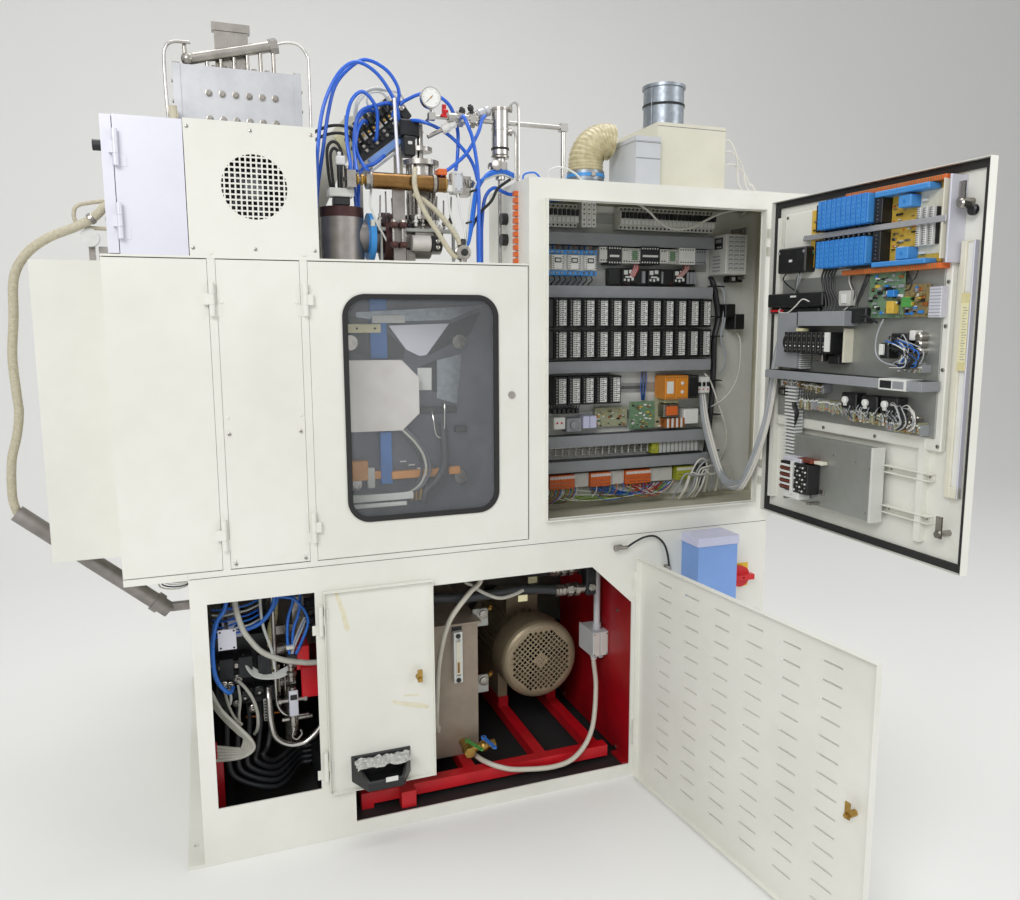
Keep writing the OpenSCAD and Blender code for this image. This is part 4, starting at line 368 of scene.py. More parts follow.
class Piece:
    """One piece of the machine, gathered solid by solid in the plan's millimetres."""

    def __init__(self, turn=None):
        self.points, self.faces, self.marks, self.finishes = [], [], [], []
        self.turn = turn

    def solid(self, points, faces, tone):
        if tone not in self.finishes:
            self.finishes.append(tone)
        mark = self.finishes.index(tone)
        start = len(self.points)
        self.points += [self.turn @ Vector(p) if self.turn else Vector(p) for p in points]
        self.faces += [[start + i for i in face] for face in faces]
        self.marks += [mark] * len(faces)

    def block(self, low, high, tone, edge=0.8):
        """A block with broken edges, or a plain one where edge is nothing."""
        if not edge:
            self.solid([[(low, high)[s][i] for i, s in enumerate(c)] for c in CORNERS], PLAIN, tone)
            return
        edge = min([edge] + [0.45 * (b - a) for a, b in zip(low, high)])
        points = []
        for corner in CORNERS:
            for axis in range(3):
                points.append([(high[i] - (edge if i != axis else 0)) if corner[i]
                        else (low[i] + (edge if i != axis else 0)) for i in range(3)])
        self.solid(points, CHAMFERED, tone)

    def lathe(self, start, way, profile, tone, sides=20):
        """A turned solid: the profile gives distance along the axis and radius, from end to end."""
        start, way = Vector(start), Vector(way).normalized()
        across = way.orthogonal().normalized()
        other = way.cross(across)
        points, faces = [], []
        for along, radius in profile:
            for k in range(sides):
                angle = math.tau * (k + 0.5) / sides
                spoke = math.cos(angle) * across + math.sin(angle) * other
                points.append(start + along * way + radius * spoke)
        for i in range(len(profile) - 1):
            for k in range(sides):
                m = (k + 1) % sides
                faces.append([i * sides + k, (i + 1) * sides + k, (i + 1) * sides + m, i * sides + m])
        faces.append(list(range(sides))[::-1])
        faces.append([(len(profile) - 1) * sides + k for k in range(sides)])
        self.solid(points, faces, tone)

    def pin(self, start, way, radius, length, tone, sides=20):
        """A plain turned pin or disc, from its start along its way."""
        self.lathe(start, way, [(0, radius), (length, radius)], tone, sides)

    def rod(self, start, end, radius, tone, sides=16, edge=0.8):
        """A round bar with broken edges between two places."""
        start, end = Vector(start), Vector(end)
        length = (end - start).length
        edge = min(edge, 0.4 * radius, 0.4 * length)
        self.lathe(start, end - start, [(0, radius - edge), (edge, radius), (length - edge, radius),
                (length, radius - edge)], tone, sides)

    def tube(self, line, radius, tone, sides=8):
        """A tube along a line. The radius is one number, or one for each point."""
        line = [Vector(p) for p in line]
        count = len(line)
        radii = radius if isinstance(radius, (list, tuple)) else [radius] * count
        side = None
        points, faces = [], []
        for i, here in enumerate(line):
            way = (line[min(i + 1, count - 1)] - line[max(i - 1, 0)]).normalized()
            side = way.orthogonal() if side is None else side - side.dot(way) * way
            side = side.normalized()
            other = way.cross(side)
            for k in range(sides):
                angle = math.tau * k / sides
                points.append(here + radii[i] * (math.cos(angle) * side + math.sin(angle) * other))
        for i in range(count - 1):
            for k in range(sides):
                m = (k + 1) % sides
                faces.append([i * sides + k, (i + 1) * sides + k, (i + 1) * sides + m, i * sides + m])
        faces.append(list(range(sides))[::-1])
        faces.append([(count - 1) * sides + k for k in range(sides)])
        self.solid(points, faces, tone)

    def hose(self, route, radius, tone, steps=5, sides=8):
        self.tube(eased(route, steps), radius, tone, sides)

    def ribbed(self, line, radius, depth, pitch, tone, sides=16):
        """A tube with rings pressed into it, one for each pitch along its length."""
        line = [Vector(p) for p in line]
        run, places = 0.0, []
        for a, b in zip(line, line[1:]):
            length = (b - a).length
            steps = max(1, round(length / (pitch / 4)))
            for k in range(steps):
                places.append((a.lerp(b, k / steps), run + length * k / steps))
            run += length
        places.append((line[-1], run))
        radii = [radius - depth * (0.5 - 0.5 * math.cos(math.tau * at / pitch)) for _, at in places]
        self.tube([p for p, _ in places], radii, tone, sides)

    def bolt(self, head, way, size, tone, sides=6):
        """A bolt's head: a hexagon with a turned crown, or a round socket head."""
        self.lathe(head, way, [(0, size), (0.5 * size, size), (0.7 * size, 0.82 * size)], tone, sides)

    def done(self, name, body="machine", slot=None, stands_for=()):
        mesh = bpy.data.meshes.new(name)
        mesh.from_pydata([placed(p) for p in self.points], [], self.faces)
        for tone in self.finishes:
            mesh.materials.append(finish(tone) if isinstance(tone, str) else tone)
        mesh.polygons.foreach_set("material_index", self.marks)
        shell = bmesh.new()
        shell.from_mesh(mesh)
        bmesh.ops.recalc_face_normals(shell, faces=shell.faces)
        shell.to_mesh(mesh)
        shell.free()
        mesh.polygons.foreach_set("use_smooth", [True] * len(mesh.polygons))
        mesh.set_sharp_from_angle(angle=SHARP_ABOVE)
        made = bpy.data.objects.new(name, mesh)
        bpy.context.scene.collection.objects.link(made)
        if body:
            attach(made, body)
        if stands_for:
            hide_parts(*stands_for)
        return made


# Levels of the source that the pieces stand on
DECK = 945
RAIL_FRONT = 362
MODULES_LEFT = 1305
MODULE_PITCH = 57.2
RAILS = [DECK + z for z in (1127, 954, 770, 652, 478, 372, 123)]
DUCTS = [DECK + z for z in (1044, 850, 566, 280, 183)]


# Behind the cabinet's door
def breaker_rows(kit):
    z = RAILS[0]
    for left, count, pitch in ((1268, 8, 17.5), (1582, 24, 17.5)):
        for k in range(count):
            x = left + pitch * k
            right = x + pitch - 0.8
            kit.block([x, 322, z - 42], [right, RAIL_FRONT, z + 42], "light_grey_moulding")
            kit.block([x, 306, z - 26], [right, 322, z + 26], "light_grey_moulding")
            kit.block([x + 3, 294, z - 2], [right - 3, 306, z + 21], "black_moulding")
            kit.block([x + 2, 305.2, z - 23], [right - 2, 306.2, z - 7], "label_white", 0)
            for side in (-1, 1):
                kit.pin([(x + right) / 2, 320.8, z + side * 34], INWARD, 4.2, 1.2, "black_moulding", 10)
    for k in range(3):
        x = 1420 + 20 * k
        kit.block([x, 306, z - 40], [x + 19, RAIL_FRONT, z + 50], "white_moulding", 1.2)
        for level in (-30, -14, 8, 24, 40):
            kit.pin([x + 9.5, 305.2, z + level], INWARD, 3, 1, "black_moulding", 8)


def contactors(kit):
    z = RAILS[1]
    for k in range(3):
        x = 1276 + 66 * k
        kit.block([x, 288, z - 30], [x + 65, RAIL_FRONT, z + 30], "white_moulding", 1.5)
        for low, high in ((-46, -30), (30, 46)):
            kit.block([x, 282, z + low], [x + 65, RAIL_FRONT, z + high], "contactor_blue", 1.5)
            for hole in range(3):
                kit.pin([x + 12 + 20 * hole, 280.8, z + (low + high) / 2], INWARD, 5, 1.4,
                        "black_moulding", 10)
                kit.pin([x + 12 + 20 * hole, 280.2, z + (low + high) / 2], INWARD, 2.6, 1,
                        "turned_steel", 8)
        kit.block([x + 8, 268, z - 26], [x + 56, 288, z + 26], "white_moulding", 2)
        kit.block([x + 19, 266.8, z - 2], [x + 45, 268.2, z + 16], "black_moulding", 0)
        kit.block([x + 23, 266.2, z + 2], [x + 41, 266.9, z + 12], "light_grey_moulding", 0)
        for mark in range(6):
            kit.block([x + 11, 267.4, z - 22 + 8 * mark], [x + 17, 268.2, z - 19 + 8 * mark],
                      "dial_line", 0)
            kit.block([x + 48, 267.4, z - 22 + 8 * mark], [x + 54, 268.2, z - 19 + 8 * mark],
                      "dial_line", 0)


def relay_shelf(kit):
    relay_blocks = (
        (1493, 1526, 1905, 1962, "light_grey_moulding"), (1528, 1584, 1897, 1966, "black_moulding"),
        (1590, 1668, 1903, 1960, "light_grey_moulding"), (1669, 1752, 1900, 1968, "black_moulding"),
        (1755, 1836, 1906, 1960, "light_grey_moulding"), (1839, 1912, 1904, 1968, "white_moulding"),
        (1914, 1962, 1905, 1961, "trunking_grey"),
    )
    for x0, x1, z0, z1, tone in relay_blocks:
        kit.block([x0, 302, z0], [x1, RAIL_FRONT, z1], tone, 1.5)
        for k in range(int((x1 - x0) // 11)):
            for level in (z0 + 8, z1 - 8):
                kit.pin([x0 + 7 + 11 * k, 300.8, level], INWARD, 3, 1.6,
                        "label_white" if tone == "black_moulding" else "black_moulding", 8)
        if tone == "black_moulding":
            kit.block([x0 + 8, 301, z0 + 28], [x1 - 8, 302.4, z0 + 36], "label_white", 0)
    for x in (1616, 1781):
        kit.block([x, 292, 1912], [x + 42, 302, 1952], "white_moulding", 1)
        kit.block([x + 9, 289, 1914], [x + 33, 300, 1950], "green_board", 1)
        for row, column in product(range(5), (0, 1)):
            kit.pin([x + 5 + 32 * column, 291, 1917 + 7.6 * row], INWARD, 2, 1.4, "dial_line", 8)
    kit.block([1548, 332, 1823], [1934, RAIL_FRONT, 1886], "black_moulding", 1.5)
    for x in (1600, 1712, 1826):
        kit.block([x, 318, 1830], [x + 60, 334, 1882], "black_moulding", 2)
        label_fields = (
            (6, 22, 30, 46), (28, 44, 34, 48), (12, 40, 18, 24), (6, 14, 6, 14), (22, 30, 4, 14),
            (38, 48, 8, 20),
        )
        for a, b, low, high in label_fields:
            kit.block([x + a, 317, 1832 + low], [x + b, 318.4, 1832 + high], "label_white", 0)
    for x in (1690, 1770, 1888, 1905, 1920):
        kit.block([x, 322, 1830], [x + 12, 334, 1876], "trunking_grey", 1)


def io_faces(kit):
    for z, count in ((RAILS[2], 12), (RAILS[3], 12), (RAILS[4], 5)):
        for k in range(count):
            x = MODULES_LEFT + MODULE_PITCH * k
            kit.block([x + 20, 291, z - 46], [x + 48, 292.6, z + 46], "label_white", 0)
            for mark in range(11):
                at = z - 42 + 8 * mark
                kit.block([x + 22, 290.6, at], [x + 27, 291.1, at + 3.4], "dial_line", 0)
                kit.block([x + 29, 290.6, at + 1],
                          [x + 36 + (mark * 5 + k) % 4, 291.1, at + 4.6], "dial_line", 0)
                if (mark + k) % 3:
                    kit.block([x + 41, 290.6, at], [x + 46, 291.1, at + 3.4], "dial_line", 0)
            kit.block([x + 3, 286, z - 50], [x + 14, 292.4, z + 50], "black_moulding", 1)
            for mark in range(9):
                kit.pin([x + 8.5, 284.8, z - 44 + 11 * mark], INWARD, 2.4, 1.4, "turned_steel", 8)
            kit.block([x + 15, 284, z + 47], [x + 50, 292.4, z + 54], "black_moulding", 1)


def lower_boards(kit):
    rail = RAILS[4]
    for k in range(14):
        kit.block([1612 + 9 * k, 361, rail - 6], [1617 + 9 * k, 361.9, rail + 6], "dial_line", 0)
    power_units = (
        (1776, 1822, "module_orange", 0), (1824, 1882, "module_orange", 1),
        (1884, 1930, "valve_phosphate", 0),
    )
    for x0, x1, tone, lamp in power_units:
        kit.block([x0, 280, 1377], [x1, RAIL_FRONT, 1470], tone, 2)
        for k in range(int((x1 - x0) // 10)):
            for level in (1383, 1464):
                kit.pin([x0 + 7 + 10 * k, 278.8, level], INWARD, 2.6, 1.4, "turned_steel", 8)
        if lamp:
            for z in (1440, 1405):
                kit.lathe([x0 + 30, 277, z], INWARD, [(0, 5), (1, 7), (3.4, 7)], "label_white", 14)
        else:
            kit.block([x0 + 8, 279.2, 1400], [x1 - 8, 280.2, 1448],
                      "label_white" if tone == "module_orange" else "black_moulding", 0)
    for k in range(3):
        x = 1936 + 20 * k
        kit.block([x, 300, 1396], [x + 19, RAIL_FRONT, 1460], "white_moulding", 1.5)
        kit.block([x + 4, 293, 1424], [x + 15, 300, 1440], "black_moulding", 1)
        kit.pin([x + 9.5, 299, 1411], INWARD, 3, 1.2, "switch_red", 10)
    z = RAILS[5]
    kit.block([1312, 310, 1276], [1360, RAIL_FRONT, 1322], "white_moulding", 2)
    for x in (1326, 1344):
        kit.pin([x, 308.8, 1300], INWARD, 4, 1.4, "switch_red", 12)
    kit.block([1368, 316, 1262], [1432, RAIL_FRONT, 1316], "trunking_grey", 3)
    kit.lathe([1400, 306, 1288], INWARD, [(0, 15), (2, 18), (10, 18)], "trunking_grey", 20)
    for x in (1436, 1466):
        kit.block([x, 312, 1274], [x + 28, RAIL_FRONT, 1322], "box_lilac", 2)
    kit.block([1503, 350, 1272], [1646, 353, 1348], "pale_board", 0.5)
    kit.block([1650, 338, 1258], [1764, 341, 1368], "green_board", 0.5)
    kit.block([1766, 344, 1258], [1872, 347, 1384], "pale_board", 0.5)
    chance = random.Random(11)
    boards = (
        (1506, 1640, 1276, 1342, 350, 34), (1654, 1760, 1262, 1362, 338, 40),
        (1770, 1866, 1262, 1300, 344, 16),
    )
    for x0, x1, z0, z1, y, count in boards:
        for _ in range(count):
            x, at = chance.uniform(x0, x1 - 14), chance.uniform(z0, z1 - 10)
            wide, tall, deep = chance.choice(((6, 3, 4), (10, 5, 6), (5, 9, 9), (13, 6, 5), (4, 4, 12)))
            tone = chance.choice(("black_moulding", "turned_steel", "relay_yellow", "copper_bar",
                    "label_white", "white_moulding", "green_board"))
            kit.block([x, y - deep, at], [x + wide, y, at + tall], tone, 0.6)
    kit.block([1782, 296, 1304], [1852, 344, 1356], "turned_steel", 2)
    kit.block([1792, 288, 1312], [1842, 300, 1348], "terminal_orange", 2)
    kit.block([1786, 300, 1360], [1850, 344, 1380], "pale_board", 2)
    for k in range(9):
        kit.block([1794 + 10.4 * k, 306, 1260], [1803 + 10.4 * k, 344, 1298],
                  ("copper_bar", "label_white")[k % 2], 0.8)
    kit.block([1882, 306, 1272], [1950, RAIL_FRONT, 1332], "white_moulding", 2.5)
    for x in (1318, 1337, 1356, 1375, 1394, 1413):
        kit.block([x, 330, 1332], [x + 14, RAIL_FRONT, 1352], "black_moulding", 1)


def terminal_rows(kit):
    for z in (1197, 1188, 1179, 1170):
        kit.rod([1296, 344, z], [1742, 344, z], 2.2, "turned_steel", 8)
    for k in range(16):
        x = 1300 + 29 * k
        kit.block([x, 338, 1164], [x + 3, RAIL_FRONT, 1202], "light_grey_moulding", 0.5)
    for k in range(5):
        kit.block([1750 + 6.4 * k, 328, 1156], [1755.6 + 6.4 * k, RAIL_FRONT, 1202], "terminal_yellow", 0.6)
    for k in range(30):
        kit.block([1786 + 6.2 * k, 332, 1156], [1791.4 + 6.2 * k, RAIL_FRONT, 1202],
                  ("light_grey_moulding", "trunking_grey")[k % 3 == 2], 0.6)
    for k in range(75):
        kit.block([1298 + 9 * k, 306, 1150], [1303 + 9 * k, 310.2, 1156], "black_moulding", 0)
    z = RAILS[6]
    runs = (
        (1300, 17, "terminal_orange"), (1410, 10, "light_grey_moulding"), (1475, 14, "terminal_orange"),
        (1566, 10, "light_grey_moulding"), (1630, 18, "terminal_orange"), (1744, 17, "light_grey_moulding"),
        (1864, 12, "terminal_yellow"),
    )
    for left, count, tone in runs:
        for k in range(count):
            x = left + 6.2 * k
            deep = 318 if tone != "light_grey_moulding" else 334
            kit.block([x, deep, z - 27], [x + 5.4, RAIL_FRONT, z + 27], tone, 0.5)
            if tone != "light_grey_moulding":
                kit.block([x + 0.4, deep - 1, z + 12], [x + 5, deep + 0.4, z + 23], "label_white", 0)
                kit.pin([x + 2.7, deep - 0.8, z - 4], INWARD, 1.8, 1, "turned_steel", 8)
                kit.pin([x + 2.7, deep - 0.8, z - 18], INWARD, 1.8, 1, "turned_steel", 8)


def trunking_slots(kit):
    """The gaps between the fingers of the wiring ducts, on their upper and lower edges, drawn as dark
    marks: painted shade of the gaps.
    """
    for z in DUCTS:
        for k in range(72):
            x = 1192 + 11.2 * k
            for side in (-1, 1):
                kit.block([x, 314, z + side * 22.4 - 0.4],
                          [x + 4.5, RAIL_FRONT, z + side * 22.4 + 0.4], "dial_line", 0)


def drive_inverter(kit):
    kit.block([2020, 252, 1866], [2119, 368, 2022], "light_grey_moulding", 3)
    kit.block([2018.8, 276, 1966], [2020.4, 330, 2010], "black_moulding", 0)
    kit.block([2018.2, 284, 1990], [2019.2, 322, 2004], "trunking_grey", 0)
    for k in range(3):
        kit.pin([2018, 288 + 12 * k, 1974], RIGHT, 3, 1.6, "label_white", 10)
    for k in range(5):
        kit.block([2018.8, 290, 1880 + 14 * k], [2020.4, 340, 1885 + 14 * k], "trunking_grey", 0)
    for column, row in product(range(3), range(8)):
        x, z = 2032 + 26 * column, 1882 + 17 * row
        kit.block([x, 250.8, z], [x + 21, 252.6, z + 12], "trunking_grey", 0)
        kit.block([x + 2, 250.2, z + 2], [x + 19, 251.2, z + 5], "label_white", 0)
    kit.block([2119, 262, 1850], [2124, 366, 2052], "turned_steel", 1)
    for z in (1862, 1900, 1960, 2035):
        kit.lathe([2118, 280, z], LEFT, [(-1, 4), (0.5, 4)], "turned_steel", 10)
    kit.block([2060, 300, 1700], [2108, 366, 1752], "black_moulding", 3)
    kit.block([2104, 296, 1650], [2150, 366, 1712], "black_moulding", 3)
    kit.block([2090, 320, 1840], [2150, 366, 1864], "black_moulding", 2)
    kit.block([2098, 316, 1846], [2112, 322, 1860], "label_white", 0)
    kit.lathe([2012, 330, 1508], INWARD, [(0, 20), (3, 24), (16, 24)], "black_moulding", 24)


def dress_cabinet():
    kit = Piece()
    breaker_rows(kit)
    contactors(kit)
    relay_shelf(kit)
    lower_boards(kit)
    kit.done("switchgear", slot="white_plastic", stands_for=["cabinet_devices"])
    kit = Piece()
    terminal_rows(kit)
    kit.done("terminals", slot="white_plastic")
    kit = Piece()
    io_faces(kit)
    trunking_slots(kit)
    kit.done("module_faces", slot="black_plastic")
    kit = Piece()
    drive_inverter(kit)
    kit.done("inverter", slot="white_plastic")


# The turn from one wire of a round bundle to the next, in radians
GOLDEN_TURN = 2.39996


def wire(kit, route, radius, tone, steps=4, sides=6):
    kit.hose(route, radius, tone, steps, sides)


def cabinet_wiring():
    chance = random.Random(23)
    kit = Piece()
    tones = ("green_wire", "blue_wire", "white_wire", "green_wire", "blue_wire", "red_wire", "white_wire",
             "brown_wire", "orange_wire")
    for k in range(64):
        left = (1303, 1478, 1633)[k % 3] + (k // 3) * 5.0
        tone = tones[(k * 7) % len(tones)]
        drop = 1040 - chance.uniform(18, 52)
        end = 1760 + chance.uniform(-30, 90)
        depth = 340 + chance.uniform(-14, 16)
        wire(kit, [[left, 340, 1043], [left + 1, 336, 1030], [left + 8, depth - 6, drop + 14],
                   [left + 60, depth - 8, drop - 2 + chance.uniform(-8, 6)],
                   [(left + end) / 2 + 40, depth, 984 + chance.uniform(0, 16)],
                   [end - 40, depth, 990 + chance.uniform(0, 14)], [end + 14, depth + 2, 1034]], 1.5, tone)
    for k in range(26):
        x = (1296 + 7 * k) if k < 18 else (1500 + 30 * (k - 18))
        wire(kit, [[x, 330, 1046], [x + 2, 322, 1036], [x - 6, 318, 1016],
                   [x - 22, 330, 1000 - (k % 4) * 3], [x - 40, 350, 978]], 1.6,
             tones[(k * 5 + 2) % len(tones)])
    kit.done("terminal_wires", slot="cable_grey")
    kit = Piece()
    for k in range(7):
        x, y = 1252 + 5 * (k % 4), 336 - 6 * (k // 4) - 2 * (k % 3)
        wire(kit, [[x + 10, 360, 1500], [x + 6, y, 1470 + 3 * k], [x, y, 1387],
                   [x + 8 + chance.uniform(-3, 3), y, 1306], [x + 3, y, 1225],
                   [x + chance.uniform(-4, 4), y, 1143], [x - 8, y, 1062], [x - 14, y, 1010],
                   [x + 6, y + 10, 980]], 3.0, "blue_wire", 4, 7)
    for k in range(3):
        wire(kit, [[1180, 330 - 6 * k, 2090 + 6 * k], [1220, 322 - 6 * k, 2112 + 4 * k],
                   [1300, 322, 2120 + 4 * k], [1360, 330, 2128]], 3.0, "blue_wire", 4, 7)
    wire(kit, [[1560, 356, 2132], [1590, 300, 2128], [1604, 214, 2110], [1644, 204, 2085],
               [1680, 200, 2053], [1726, 200, 2030], [1771, 200, 2024], [1826, 200, 2033],
               [1881, 200, 2058], [1955, 204, 2090], [2040, 214, 2108], [2110, 260, 2112],
               [2150, 340, 2110], [2160, 366, 2100]], 4.0, "white_sheath", 4, 8)
    for k in range(9):
        x = 1290 + 22 * k
        wire(kit, [[x, 330, 1950], [x - 4, 322, 1962], [x + 6, 330, 1972], [x + 2, 350, 1984]], 2.2,
             ("black_sheath", "blue_wire", "orange_wire")[k % 3], 3)
        wire(kit, [[x, 320, 1852], [x + 3, 314, 1838], [x - 5, 324, 1826], [x, 350, 1816]], 2.2,
             "black_sheath", 3)
    for k in range(10):
        x = 1612 + 2.5 * k
        wire(kit, [[x + 40, 330, 1905], [x + 34, 316, 1888], [x + 22, 318, 1862], [x + 10, 326, 1836],
                   [x, 350, 1818]], 1.7, ("red_wire", "white_wire", "red_wire")[k % 3], 3)
        x += 214
        wire(kit, [[x + 50, 330, 1905], [x + 44, 314, 1888], [x + 20, 318, 1862], [x + 2, 326, 1838],
                   [x - 6, 350, 1818]], 1.7, ("red_wire", "brown_wire", "white_wire")[k % 3], 3)
    for k in range(5):
        wire(kit, [[1706 + 5 * k, 350, 1500], [1702 + 6 * k, 340, 1470], [1698 + 6 * k, 338, 1430],
                   [1704 + 4 * k, 342, 1392], [1712 + 3 * k, 352, 1372]], 1.8,
             ("blue_wire", "black_sheath")[k % 2], 3)
    for k in range(12):
        x = 1304 + 11 * k
        wire(kit, [[x, 350, 1372], [x + 4, 334, 1366], [x - 3, 330, 1350], [x + 2, 344, 1336]], 1.6,
             "black_sheath", 3)
    kit.done("device_wires", slot="cable_grey")


def cabinet_looms():
    chance = random.Random(31)
    kit = Piece()
    for k in range(9):
        a, b = 7 * math.cos(k * 2.4), 9 * math.sin(k * 2.4)
        wire(kit, [[2018 + a, 356, 1860], [2030 + a, 346 + b, 1829], [2052 + a, 340 + b, 1703],
                   [2034 + a, 336 + b, 1618], [2034 + a, 336 + b, 1507], [2030 + a, 336 + b, 1361],
                   [2014 + a, 336 + b, 1187], [1998 + a, 338 + b, 1090], [1990 + a, 350, 1004]], 4.2,
             "black_sheath", 4, 7)
    for k in range(2):
        wire(kit, [[2040, 330, 1838], [2060 + 8 * k, 322, 1800], [2070 - 10 * k, 316, 1700],
                   [2052, 316, 1620], [2070 + 8 * k, 318, 1560], [2080 - 6 * k, 322, 1500],
                   [2062, 336, 1466]], 3.2, "grey_sheath", 4, 7)
    for z in (1820, 1700, 1620, 1440, 1300, 1150):
        kit.block([2006, 318, z], [2066, 354, z + 5], "black_sheath", 1)
    wire(kit, [[1990, 330, 1472], [2010, 318, 1440], [2034, 312, 1380], [2064, 312, 1309],
               [2086, 312, 1256], [2104, 330, 1180], [2096, 360, 1100]], 3.4, "white_sheath", 4, 7)
    wire(kit, [[2140, 340, 1640], [2136, 300, 1600], [2120, 280, 1484], [2080, 270, 1409],
               [2040, 290, 1360], [2020, 340, 1330]], 2.6, "white_sheath", 4, 7)
    for k in range(8):
        x = 1862 + 14 * k + chance.uniform(-12, 12)
        top = 1112 + chance.uniform(-56, 36)
        lean = chance.uniform(0.7, 1.15)
        wire(kit, [[x, 330, 962], [x + 6, 300 - 5 * (k % 5), 1010], [x + 30 * lean, 280, 1070 + 3 * k],
                   [x + 66 * lean, 272, top], [x + 112 * lean, 276, top - 6 + 2 * k],
                   [x + 140 * lean, 290, 1060], [x + 160 * lean, 330, 980]], 3.6,
             ("white_sheath", "grey_sheath")[k % 3 == 0], 4, 7)
    kit.done("wall_looms", slot="cable_grey")
    # The loom that crosses the hinge, drawn in the open door's shape and left on no body
    kit = Piece()
    for k in range(13):
        turn = k * GOLDEN_TURN
        spread = 4.2 * math.sqrt(k)
        a, b = spread * math.cos(turn), spread * math.sin(turn)
        far = chance.uniform(-4, 4)
        wire(kit, [[1978 + a, 340, 1440], [1976 + a, 320 + b * 0.4, 1380 + far],
                   [1966 + a, 280 + b * 0.6, 1290], [1958 + a, 220 + b, 1190],
                   [1954 + a, 150 + b, 1100 + b], [1952 + a, 90 + b, 1062 + b],
                   [1954 + a, 40 + b, 1062 + b], [1954 + a, -6, 1092 + b], [1956 + a, -40 + b, 1150],
                   [1961 + a * 0.7, -78 + b, 1240], [1972 + a * 0.5, -100 + b, 1340],
                   [1980 + a * 0.5, -112 + b, 1440 + far], [1984 + a * 0.4, -122 + b, 1540],
                   [1986 + a * 0.4, -140 + b * 0.7, 1616 + a], [1986, -160, 1648 + a],
                   [1988, -196, 1664 + 3 * k]], 5.6,
             ("grey_sheath", "white_sheath", "grey_sheath")[k % 3], 4, 8)
    loom = kit.done("door_loom", None, "cable_grey")
    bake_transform(loom)


dress_cabinet()
cabinet_wiring()
cabinet_looms()


# On the inner face of the cabinet's door. The door is drawn closed and turned about its hinge:
# places are the distance from the hinge, the height above the leaf's foot and the depth off it
DOOR_HINGE = Vector((2026, -35, 0))
DOOR_FACE = -33
DOOR_FOOT = 986
DOOR_OPEN = math.radians(89)
DOOR_TURN = (Matrix.Translation(DOOR_HINGE) @ Matrix.Rotation(DOOR_OPEN, 4, "Z")
             @ Matrix.Translation(-DOOR_HINGE))


def on_door(far, up, out):
    return [DOOR_HINGE.x - far, DOOR_FACE + out, DOOR_FOOT + up]


class DoorPiece(Piece):
    """A piece on the cabinet's door, drawn with the door closed and turned with it."""

    def __init__(self):
        super().__init__(DOOR_TURN)

    def plate(self, near, far, low, high, back, front, tone, edge=0.8):
        self.block(on_door(far, low, back), on_door(near, high, front), tone, edge)

    def stud(self, far, up, out, radius, length, tone, sides=12):
        profile = [(0, radius), (0.75 * length, radius), (length, 0.7 * radius)]
        self.lathe(on_door(far, up, out), INWARD, profile, tone, sides)

    def lead(self, points, radius, tone):
        self.hose([on_door(*p) for p in points], radius, tone, 4, 6)


def relay_rows(kit):
    for low, high, foot, head in ((982, 1070, 950, 982), (862, 945, 945, 962)):
        for k in range(10):
            near = 333 + 21.6 * k
            kit.plate(near, near + 14, low, high, 27, 88, "relay_blue", 1.2)
            kit.plate(near + 14, near + 20.6, low + 3, high - 3, 27, 84, "contactor_blue", 0.8)
            for mark in range(5):
                at = low + 8 + 14 * mark
                kit.plate(near + 3, near + 11, at, at + 6, 88, 88.8, "contactor_blue", 0)
            kit.plate(near, near + 12, foot, head, 27, 62, "black_moulding", 0.8)
            kit.plate(near + 12, near + 21, foot + 2, head - 2, 27, 52, "brown_board", 0.8)
            kit.stud(near + 6, (foot + head) / 2, 62, 3, 1.5, "turned_steel", 8)
    for low, high in ((980, 1066), (868, 955)):
        kit.plate(292, 328, low, high, 27, 60, "black_moulding", 1.5)
        kit.plate(552, 584, low, high, 27, 66, "black_moulding", 1.5)
        for k in range(7):
            kit.stud(568, low + 10 + 11 * k, 66, 2.2, 1.2, "turned_steel", 8)
    kit.plate(200, 812, 962, 971, 24, 34, "turned_steel", 1)
    kit.plate(240, 812, 958, 975, 60, 64, "rolled_aluminium", 1)


